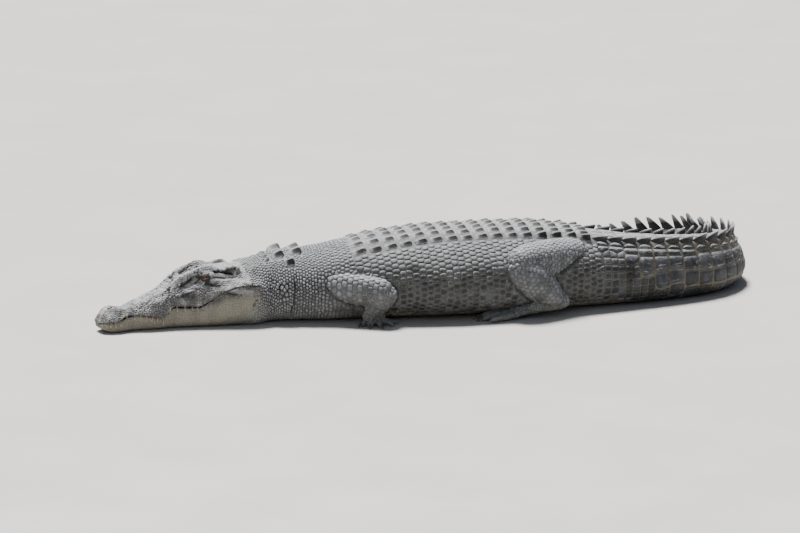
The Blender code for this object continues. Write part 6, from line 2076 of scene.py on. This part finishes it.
# ----------------------------------------------------------------------------------------------
# Materials
# ----------------------------------------------------------------------------------------------
class Nodes:
    """A short way to write a node tree."""

    def __init__(self, name):
        self.material = bpy.data.materials.new(name)
        self.material.use_nodes = True
        self.tree = self.material.node_tree
        self.shader = self.tree.nodes["Principled BSDF"]

    def link(self, value, socket):
        if isinstance(value, bpy.types.NodeSocket):
            self.tree.links.new(value, socket)
        else:
            socket.default_value = value

    def node(self, kind, **inputs):
        n = self.tree.nodes.new(kind)
        for k, v in inputs.items():
            self.link(v, n.inputs[int(k[1:])] if k[0] == "i" and k[1:].isdigit() else n.inputs[k])
        return n

    def math(self, op, a, b=0.0, c=0.0, clamp=False):
        n = self.tree.nodes.new("ShaderNodeMath")
        n.operation, n.use_clamp = op, clamp
        for socket, v in zip(n.inputs, (a, b, c)):
            self.link(v, socket)
        return n.outputs[0]

    def mul(self, a, b):
        return self.math("MULTIPLY", a, b)

    def add(self, a, b):
        return self.math("ADD", a, b)

    def ramp(self, x, a, b, low=0.0, high=1.0):
        n = self.tree.nodes.new("ShaderNodeMapRange")
        n.interpolation_type = "SMOOTHSTEP"
        for k, v in (("Value", x), ("From Min", a), ("From Max", b), ("To Min", low), ("To Max", high)):
            self.link(v, n.inputs[k])
        return n.outputs[0]

    def mix(self, share, a, b, mode="MIX"):
        n = self.tree.nodes.new("ShaderNodeMix")
        n.data_type, n.blend_type = "RGBA", mode
        n.clamp_factor = True
        self.link(share, n.inputs[0])
        for v, socket in ((a, n.inputs[6]), (b, n.inputs[7])):
            self.link(v if isinstance(v, bpy.types.NodeSocket) else (*v, 1.0), socket)
        return n.outputs[2]

    def attribute(self, name):
        n = self.tree.nodes.new("ShaderNodeAttribute")
        n.attribute_name = name
        s = self.tree.nodes.new("ShaderNodeSeparateXYZ")
        self.tree.links.new(n.outputs["Vector"], s.inputs[0])
        return s.outputs

    def place(self):
        return self.tree.nodes.new("ShaderNodeTexCoord").outputs["Object"]

    def scaled(self, vector, scale):
        n = self.tree.nodes.new("ShaderNodeMapping")
        self.tree.links.new(vector, n.inputs["Vector"])
        n.inputs["Scale"].default_value = scale
        return n.outputs[0]

    def noise(self, vector, scale, detail=3.0, rough=0.55, distortion=0.0):
        n = self.node("ShaderNodeTexNoise", Vector=vector, Scale=scale, Detail=detail, Roughness=rough, Distortion=distortion)
        return n.outputs["Fac"]

    def cells(self, vector, scale, feature="DISTANCE_TO_EDGE", randomness=1.0):
        n = self.tree.nodes.new("ShaderNodeTexVoronoi")
        n.feature = feature
        for k, v in (("Vector", vector), ("Scale", scale), ("Randomness", randomness)):
            self.link(v, n.inputs[k])
        return n.outputs["Distance"]

    def bump(self, height, distance, strength=1.0, normal=None):
        n = self.node("ShaderNodeBump", Height=height, Distance=distance, Strength=strength)
        if normal is not None:
            self.tree.links.new(normal, n.inputs["Normal"])
        return n.outputs[0]

    def finish(self, colour, roughness, normal=None, specular=0.5):
        self.link(colour, self.shader.inputs["Base Color"])
        self.link(roughness, self.shader.inputs["Roughness"])
        if normal is not None:
            self.link(normal, self.shader.inputs["Normal"])
        self.shader.inputs["Specular IOR Level"].default_value = specular
        return self.material


DARK = (0.013, 0.015, 0.018)
MID = (0.035, 0.038, 0.045)
GREY = (0.092, 0.099, 0.112)
PALE = (0.560, 0.555, 0.525)
BONE = (0.205, 0.207, 0.212)
JAW = (0.285, 0.264, 0.215)
CREAM = (0.290, 0.256, 0.172)
BLACK = (0.008, 0.008, 0.008)


def hide(name, groove):
    """The hide. groove is true for the skin between the scales and false for the scales on it."""
    m = Nodes(name)
    xyz = m.place()
    s4, v, rnd = m.attribute("coat")[:3]
    edge, head, limb = m.attribute("form")[:3]
    dark, pale, yellow = m.attribute("mark")[:3]
    keel, flank, plate = m.attribute("relief")[:3]
    up = m.tree.nodes.new("ShaderNodeNewGeometry").outputs["Normal"]
    sep = m.tree.nodes.new("ShaderNodeSeparateXYZ")
    m.tree.links.new(up, sep.inputs[0])
    upward = m.ramp(sep.outputs[2], 0.26, 0.88)

    wide = m.noise(xyz, 5.5, 3.0, 0.60)  # cloudy bands over the body
    blot = m.noise(m.scaled(xyz, (1.3, 1.3, 0.8)), 17.0, 3.0, 0.62, 0.4)
    fine = m.noise(xyz, 120.0, 4.0, 0.65)
    grain = m.noise(xyz, 420.0, 3.0, 0.7)

    body = m.add(m.mul(wide, 0.75), m.mul(blot, 0.85))  # about 0.8 on average
    body = m.add(body, m.mul(m.math("SUBTRACT", rnd, 0.5), 0.0 if groove else m.ramp(s4, 0.505, 0.560, 0.30, 0.08)))
    colour = m.mix(m.ramp(body, 0.66, 0.95), DARK, MID)
    colour = m.mix(m.mul(m.ramp(body, 0.84, 1.10), 0.80), colour, GREY)
    tail = m.ramp(s4, 0.505, 0.560)
    neck = m.math("SUBTRACT", 1.0, m.ramp(s4, 0.215, 0.265))
    # the flank pales towards the belly
    low = m.ramp(m.add(m.mul(yellow, m.math("SUBTRACT", 1.0, m.mul(tail, 0.62))), m.mul(m.math("SUBTRACT", blot, 0.5), 0.50)), 0.40, 1.0)
    if groove:
        trunk_groove = m.mix(m.ramp(v, 0.16, 0.46), (0.022, 0.022, 0.023), (0.100, 0.095, 0.078))
        trunk_groove = m.mix(m.mul(m.ramp(fine, 0.40, 0.75), 0.55), trunk_groove, (0.040, 0.037, 0.030))
        neck_groove = m.mix(m.ramp(v, 0.45, 0.80), (0.018, 0.018, 0.019), (0.080, 0.076, 0.064))
        trunk_groove = m.mix(neck, trunk_groove, neck_groove)
        tail_groove = m.mix(m.ramp(m.add(blot, m.mul(fine, 0.3)), 0.38, 0.76), (0.028, 0.025, 0.020), (0.135, 0.118, 0.080))
        tail_groove = m.mix(m.ramp(v, 0.10, 0.26), (0.060, 0.055, 0.042), tail_groove)
        side_groove = m.mix(tail, trunk_groove, tail_groove)
        side_groove = m.mix(m.mul(low, 0.65), side_groove, CREAM)
        limb_groove = m.mix(m.ramp(v, 0.25, 0.75), (0.072, 0.074, 0.079), (0.125, 0.117, 0.092))
        colour = m.mix(m.ramp(limb, 0.1, 0.9), side_groove, limb_groove)
    else:
        # scales: a paler worn rim on the flanks, a dark heart on the tail, and painted highlights on the domes of the
        # neck's scales and the legs' scales
        colour = m.mix(m.mul(low, 0.62), colour, CREAM)
        rim = m.ramp(edge, 0.42, 0.95)
        flank_rim = m.mul(m.mul(rim, m.ramp(v, 0.14, 0.34)), m.ramp(m.add(fine, m.mul(rnd, 0.35)), 0.40, 0.85))
        rim_share = m.mul(m.math("SUBTRACT", 1.0, tail), m.math("SUBTRACT", 0.80, m.mul(limb, 0.62)))
        colour = m.mix(m.mul(flank_rim, rim_share), colour, (0.155, 0.154, 0.148))
        dome = m.mul(m.math("SUBTRACT", 1.0, m.ramp(edge, 0.30, 0.95)), m.ramp(m.add(m.add(fine, m.mul(rnd, 0.5)), m.mul(wide, 0.5)), 0.62, 1.15))
        colour = m.mix(m.mul(neck, m.add(0.24, m.mul(dome, 0.70))), colour, (0.350, 0.358, 0.376))
        # painted highlights on the tops of the legs' scales
        knob_highlight = m.mul(m.math("SUBTRACT", 1.0, m.ramp(edge, 0.62, 1.0)), m.ramp(m.add(m.add(m.mul(fine, 0.8), m.mul(rnd, 0.45)), m.mul(blot, 0.9)), 0.72, 1.30))
        colour = m.mix(m.mul(m.mul(limb, knob_highlight), 0.48), colour, (0.270, 0.282, 0.306))
        colour = m.mix(m.mul(m.mul(m.ramp(edge, 0.95, 1.0), tail), 0.30), colour, (0.100, 0.088, 0.060))
        ends_ = m.attribute("ends")[0]
        front = m.mul(m.ramp(ends_, 0.925, 0.995), m.ramp(m.add(m.mul(fine, 0.5), m.mul(blot, 0.8)), 0.42, 0.80))
        colour = m.mix(m.mul(m.mul(front, tail), 0.85), colour, (0.300, 0.268, 0.185))
        plates_ = m.mul(tail, m.ramp(m.noise(m.scaled(xyz, (1.0, 1.0, 0.35)), 30.0, 3.0, 0.6), 0.52, 0.74))
        colour = m.mix(m.mul(plates_, 0.50), colour, (0.105, 0.093, 0.070))
        streaks = m.mul(m.ramp(m.noise(m.scaled(xyz, (0.5, 0.5, 1.7)), 62.0, 4.0, 0.7), 0.54, 0.68), m.math("SUBTRACT", 1.0, m.ramp(v, 0.34, 0.62)))
        colour = m.mix(m.mul(m.mul(streaks, tail), 0.80), colour, (0.360, 0.370, 0.390))
    # legs: dark above, yellowish olive below
    olive = m.mix(m.ramp(body, 0.70, 1.0), (0.036, 0.035, 0.028), (0.130, 0.120, 0.082))
    colour = m.mix(m.mul(m.mul(limb, m.ramp(v, 0.52, 0.80)), 0.55), colour, olive)
    # painted light: the legs are lightened all over, as if lit more strongly than the body
    colour = m.mix(m.mul(limb, 0.16), colour, (0.300, 0.312, 0.330))

    # head: weathered bone grey above with dark cracks and pits, beige below the mouth
    crack_place = m.tree.nodes.new("ShaderNodeVectorMath")
    crack_place.operation = "ADD"
    warp = m.node("ShaderNodeTexNoise", Vector=xyz, Scale=45.0, Detail=2.0)
    shift = m.tree.nodes.new("ShaderNodeVectorMath")
    shift.operation = "SCALE"
    m.tree.links.new(warp.outputs["Color"], shift.inputs[0])
    shift.inputs["Scale"].default_value = 0.016
    m.tree.links.new(xyz, crack_place.inputs[0])
    m.tree.links.new(shift.outputs[0], crack_place.inputs[1])
    crack = m.math("SUBTRACT", 1.0, m.ramp(m.cells(crack_place.outputs[0], 95.0), 0.02, 0.13))
    pit = m.math("SUBTRACT", 1.0, m.ramp(m.cells(xyz, 300.0, "F1"), 0.10, 0.34))
    pit = m.mul(pit, m.ramp(m.noise(xyz, 60.0), 0.42, 0.66))
    patch = m.noise(xyz, 30.0, 3.0, 0.6)
    skull = m.mix(m.ramp(m.add(m.mul(patch, 0.8), m.mul(fine, 0.20)), 0.36, 0.66), (0.062, 0.061, 0.058), BONE)
    skull = m.mix(m.mul(m.ramp(m.add(m.mul(patch, 0.6), m.mul(blot, 0.5)), 0.56, 0.78), 0.50), skull, PALE)
    chin = m.mix(m.ramp(m.add(m.mul(blot, 0.5), m.mul(fine, 0.5)), 0.35, 0.68), (0.190, 0.177, 0.140), JAW)
    face = m.mix(m.ramp(v, 0.60, 0.68), skull, chin)
    depth = m.math("SUBTRACT", 1.0, m.mul(m.ramp(v, 0.58, 0.68), 0.80))
    face = m.mix(m.mul(m.mul(crack, 0.50), depth), face, (0.055, 0.050, 0.042))
    face = m.mix(m.mul(m.mul(pit, 0.62), depth), face, (0.050, 0.044, 0.036))
    if groove:
        face = m.mix(m.mul(m.ramp(fine, 0.25, 0.70), 0.55), face, m.mix(m.ramp(v, 0.60, 0.68), (0.095, 0.088, 0.074), (0.240, 0.220, 0.172)))
    else:
        face = m.mix(m.mul(m.mul(m.ramp(edge, 0.70, 1.0), depth), 0.30), face, (0.080, 0.072, 0.058))
        face = m.mix(m.mul(m.ramp(rnd, 0.60, 1.0), m.mul(depth, 0.14)), face, PALE)
    # painted highlight on the head's upward-facing surfaces
    face = m.mix(m.mul(m.mul(upward, m.ramp(m.add(patch, m.mul(fine, 0.3)), 0.42, 0.80)), 0.80), face, (0.590, 0.602, 0.630))
    colour = m.mix(head, colour, face)

    # painted highlight, with some bleaching, on upward-facing tops and over the plates; painted shade on the keels'
    # slopes; a pale edge on each keel, partly wear and partly painted highlight
    top_highlight_and_bleach = m.mul(m.mul(upward, m.ramp(m.add(fine, m.mul(blot, 0.6)), 0.40, 0.95)), m.math("SUBTRACT", 0.74, m.mul(head, 0.5)))
    colour = m.mix(m.mul(top_highlight_and_bleach, 0.42) if groove else top_highlight_and_bleach, colour, (0.365, 0.382, 0.415))
    if not groove:
        plate_bleach_and_highlight = m.mul(plate, m.ramp(m.add(m.mul(fine, 0.5), m.mul(blot, 0.7)), 0.35, 0.85))
        colour = m.mix(m.mul(plate_bleach_and_highlight, 0.72), colour, (0.480, 0.488, 0.505))
        # painted shade on the slopes of the keels and the lower parts of the crests
        keel_shade = m.mul(flank, m.ramp(m.add(fine, 0.25), 0.30, 0.55))
        colour = m.mix(m.mul(keel_shade, m.math("SUBTRACT", 0.98, m.mul(upward, 0.14))), colour, (0.012, 0.012, 0.012))
        worn_and_lit_edge = m.mul(m.ramp(m.add(keel, m.mul(m.math("SUBTRACT", fine, 0.5), 0.7)), 0.45, 1.0), 0.55)
        colour = m.mix(worn_and_lit_edge, colour, PALE)
    # the pale marks carry painted highlights and worn ridges; the dark marks carry blotches, cracks and painted shade
    bare = m.math("SUBTRACT", 1.0, flank, clamp=True) if not groove else 1.0
    colour = m.mix(m.mul(m.mul(pale, bare), m.ramp(fine, 0.25, 0.6)), colour, (0.490, 0.502, 0.530))
    colour = m.mix(m.mul(m.ramp(dark, 0.15, 0.85), 0.94), colour, BLACK)
    # dust and mud low down
    dirt = m.mul(m.ramp(m.noise(xyz, 26.0, 4.0, 0.65), 0.50, 0.72), m.math("SUBTRACT", 1.0, m.ramp(v, 0.9, 1.0)))
    colour = m.mix(m.mul(dirt, 0.16), colour, (0.160, 0.138, 0.100))

    rough_ = m.ramp(m.add(m.mul(fine, 0.6), m.mul(blot, 0.5)), 0.30, 0.80, 0.48, 0.76)
    wrinkle = m.noise(m.scaled(xyz, (1.0, 1.0, 1.0)), 260.0, 4.0, 0.65)
    height = m.add(m.mul(grain, 0.35), wrinkle)
    height = m.math("SUBTRACT", height, m.mul(m.mul(crack, head), m.mul(depth, 1.3)))
    height = m.math("SUBTRACT", height, m.mul(m.mul(pit, head), 0.9))
    normal = m.bump(height, 0.00075 if groove else 0.00085, 0.85)
    return m.finish(colour, rough_, normal, 0.42)


SKIN_MAT = hide("hide_skin", True)
SCALE_MAT = hide("hide_scales", False)
skin.data.materials.clear()
skin.data.materials.append(SKIN_MAT)
skin.data.polygons.foreach_set("material_index", np.zeros(len(skin.data.polygons), np.int32))
for piece in COAT_PIECES:
    piece.data.materials.append(SCALE_MAT)


def tooth_material():
    m = Nodes("tooth_enamel")
    xyz = m.place()
    along = m.attribute("form")[0]
    streak = m.noise(m.scaled(xyz, (420.0, 420.0, 60.0)), 1.0, 3.0, 0.6)
    stain = m.noise(xyz, 130.0, 4.0, 0.6)
    colour = m.mix(m.ramp(along, 0.0, 0.8), (0.150, 0.115, 0.075), (0.470, 0.420, 0.310))
    colour = m.mix(m.mul(m.ramp(stain, 0.42, 0.70), 0.45), colour, (0.200, 0.155, 0.100))
    colour = m.mix(m.mul(m.ramp(streak, 0.5, 0.8), 0.30), colour, (0.110, 0.085, 0.055))
    return m.finish(colour, m.ramp(stain, 0.3, 0.7, 0.26, 0.48), m.bump(streak, 0.00025, 0.6), 0.5)


teeth.data.materials.append(tooth_material())


def claw_material():
    m = Nodes("claw_horn")
    xyz = m.place()
    along = m.attribute("form")[0]
    layers = m.noise(m.scaled(xyz, (120.0, 120.0, 260.0)), 1.0, 3.0, 0.6)
    wear = m.noise(xyz, 160.0, 4.0, 0.65)
    colour = m.mix(m.ramp(wear, 0.35, 0.7), (0.030, 0.026, 0.020), (0.105, 0.090, 0.066))
    colour = m.mix(m.mul(m.ramp(m.add(along, m.mul(wear, 0.4)), 0.85, 1.3), 0.65), colour, (0.270, 0.230, 0.160))
    colour = m.mix(m.mul(m.ramp(layers, 0.5, 0.75), 0.35), colour, (0.150, 0.125, 0.085))
    return m.finish(colour, m.ramp(wear, 0.3, 0.7, 0.34, 0.60), m.bump(layers, 0.0004, 0.7), 0.45)


CLAW_MAT = claw_material()
for claw in CLAWS.values():
    claw.data.materials.append(CLAW_MAT)


def eye_material():
    """Amber iris with dark flecks and radial streaks, an upright slit of a pupil, a dark rim."""
    m = Nodes("eye_amber")
    across, up, out = m.attribute("gaze")[:3]
    r = m.math("SQRT", m.add(m.mul(across, across), m.mul(up, up)))
    turn = m.math("ARCTAN2", up, across)
    combine = m.tree.nodes.new("ShaderNodeCombineXYZ")
    m.link(m.mul(turn, 7.0), combine.inputs[0])
    m.link(m.mul(r, 1.6), combine.inputs[1])
    streak = m.noise(combine.outputs[0], 2.2, 4.0, 0.6)
    xyz = m.place()
    fleck = m.noise(xyz, 900.0, 3.0, 0.6)
    iris = m.mix(m.ramp(streak, 0.34, 0.68), (0.040, 0.014, 0.007), (0.125, 0.050, 0.018))
    iris = m.mix(m.mul(m.ramp(fleck, 0.52, 0.70), 0.50), iris, (0.045, 0.014, 0.007))
    iris = m.mix(m.ramp(r, 0.40, 0.66), iris, (0.060, 0.020, 0.009))
    colour = m.mix(m.math("MULTIPLY", m.ramp(r, 0.66, 0.74), m.ramp(out, -0.2, 0.1)), iris, (0.030, 0.013, 0.008))
    colour = m.mix(m.ramp(r, 0.80, 0.95), colour, (0.016, 0.009, 0.007))
    # the slit: narrow across, pointed at both ends
    reach = m.math("SUBTRACT", 1.0, m.math("POWER", m.math("ABSOLUTE", m.math("DIVIDE", up, 0.56), 0.0), 2.0), clamp=True)
    half = m.mul(reach, 0.085)
    slit = m.ramp(m.math("SUBTRACT", m.math("ABSOLUTE", across, 0.0), half), -0.012, 0.012, 1.0, 0.0)
    slit = m.mul(slit, m.ramp(reach, 0.0, 0.05))
    slit = m.mul(slit, m.ramp(out, 0.0, 0.2))
    colour = m.mix(slit, colour, (0.004, 0.003, 0.003))
    m.shader.inputs["Coat Weight"].default_value = 0.55
    m.shader.inputs["Coat Roughness"].default_value = 0.03
    return m.finish(colour, m.ramp(fleck, 0.3, 0.7, 0.14, 0.26), m.bump(streak, 0.0002, 0.3), 0.6)


EYE_MAT = eye_material()
for eye in EYES.values():
    eye.data.materials.append(EYE_MAT)


# ----------------------------------------------------------------------------------------------
# What each piece stands for
# ----------------------------------------------------------------------------------------------
for piece in [skin] + COAT_PIECES:
    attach(piece, "root")
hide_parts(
    "head", "lower_jaw", "neck", "trunk_front", "trunk_middle", "trunk_rear", "tail_1", "tail_2", "tail_3", "tail_4", "tail_5",
    *[f"{part}_{mark}" for mark in "LR" for part in ("fore_upper", "fore_lower", "fore_hand", "hind_upper", "hind_lower", "hind_foot")],
)
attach(teeth, "root")
for node, eye in EYES.items():
    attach(eye, "root")
    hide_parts(node)
for node, claw in CLAWS.items():
    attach(claw, "root")
    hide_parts(node)
skin.data.shade_smooth()

# ----------------------------------------------------------------------------------------------
# Floor, light and camera
# ----------------------------------------------------------------------------------------------
n_ = 24
side_ = 30.0
gx, gy = np.meshgrid(np.linspace(-side_, side_, n_), np.linspace(-side_, side_, n_), indexing="ij")
floor = new_mesh("floor", np.stack([gx.ravel(), gy.ravel(), np.zeros(gx.size)], -1), grid_faces(n_, n_))
m = Nodes("floor_plain")
cloud = m.noise(m.place(), 2.0, 4.0, 0.5)
floor.data.materials.append(m.finish(m.mix(m.ramp(cloud, 0.3, 0.7), (0.600, 0.590, 0.570), (0.640, 0.630, 0.610)), m.ramp(cloud, 0.3, 0.7, 0.72, 0.80), None, 0.2))


def area(name, place_, aim, size, watts, colour):
    light = bpy.data.lights.new(name, "AREA")
    light.shape, light.size, light.size_y = "RECTANGLE", size[0], size[1]
    light.energy, light.color = watts, colour
    obj = bpy.data.objects.new(name, light)
    obj.location = place_
    obj.rotation_euler = (Vector(place_) - Vector(aim)).to_track_quat("Z", "Y").to_euler()
    bpy.context.scene.collection.objects.link(obj)


key = bpy.data.lights.new("overhead", "SUN")  # a broad, even light from above, so that the floor stays plain
key.energy, key.angle, key.color = 8.6, math.radians(18.0), (1.0, 0.975, 0.935)
key_object = bpy.data.objects.new("overhead", key)
key_object.rotation_euler = Vector((-0.35, 1.25, 3.4)).to_track_quat("Z", "Y").to_euler()
bpy.context.scene.collection.objects.link(key_object)
area("fill", (-2.2, -4.2, 2.0), (0.0, 0.0, 0.15), (3.4, 2.4), 16.0, (0.95, 0.975, 1.0))
world = bpy.data.worlds.new("studio")
bpy.context.scene.world = world
world.use_nodes = True
world.node_tree.nodes["Background"].inputs["Color"].default_value = (0.74, 0.83, 1.0, 1.0)
world.node_tree.nodes["Background"].inputs["Strength"].default_value = 0.20

turn_, rise_ = math.radians(-14.0), math.radians(12.5)
back_ = Vector((math.sin(turn_) * math.cos(rise_), -math.cos(turn_) * math.cos(rise_), math.sin(rise_)))
right_ = Vector((math.cos(turn_), math.sin(turn_), 0.0))
up_ = back_.cross(right_)
aim_ = right_ * -0.0864 + up_ * 0.1450 - Vector((0.0, 0.04911, 0.0))
distance_ = 42.0
lens = bpy.data.cameras.new("camera")
lens.sensor_width = 36.0
lens.lens = 36.0 * distance_ * 252.0 / 800.0
lens.clip_end = 200.0
camera = bpy.data.objects.new("camera", lens)
camera.location = aim_ + back_ * distance_
camera.rotation_euler = back_.to_track_quat("Z", "Y").to_euler()
bpy.context.scene.collection.objects.link(camera)
bpy.context.scene.camera = camera
bpy.context.view_layer.update()
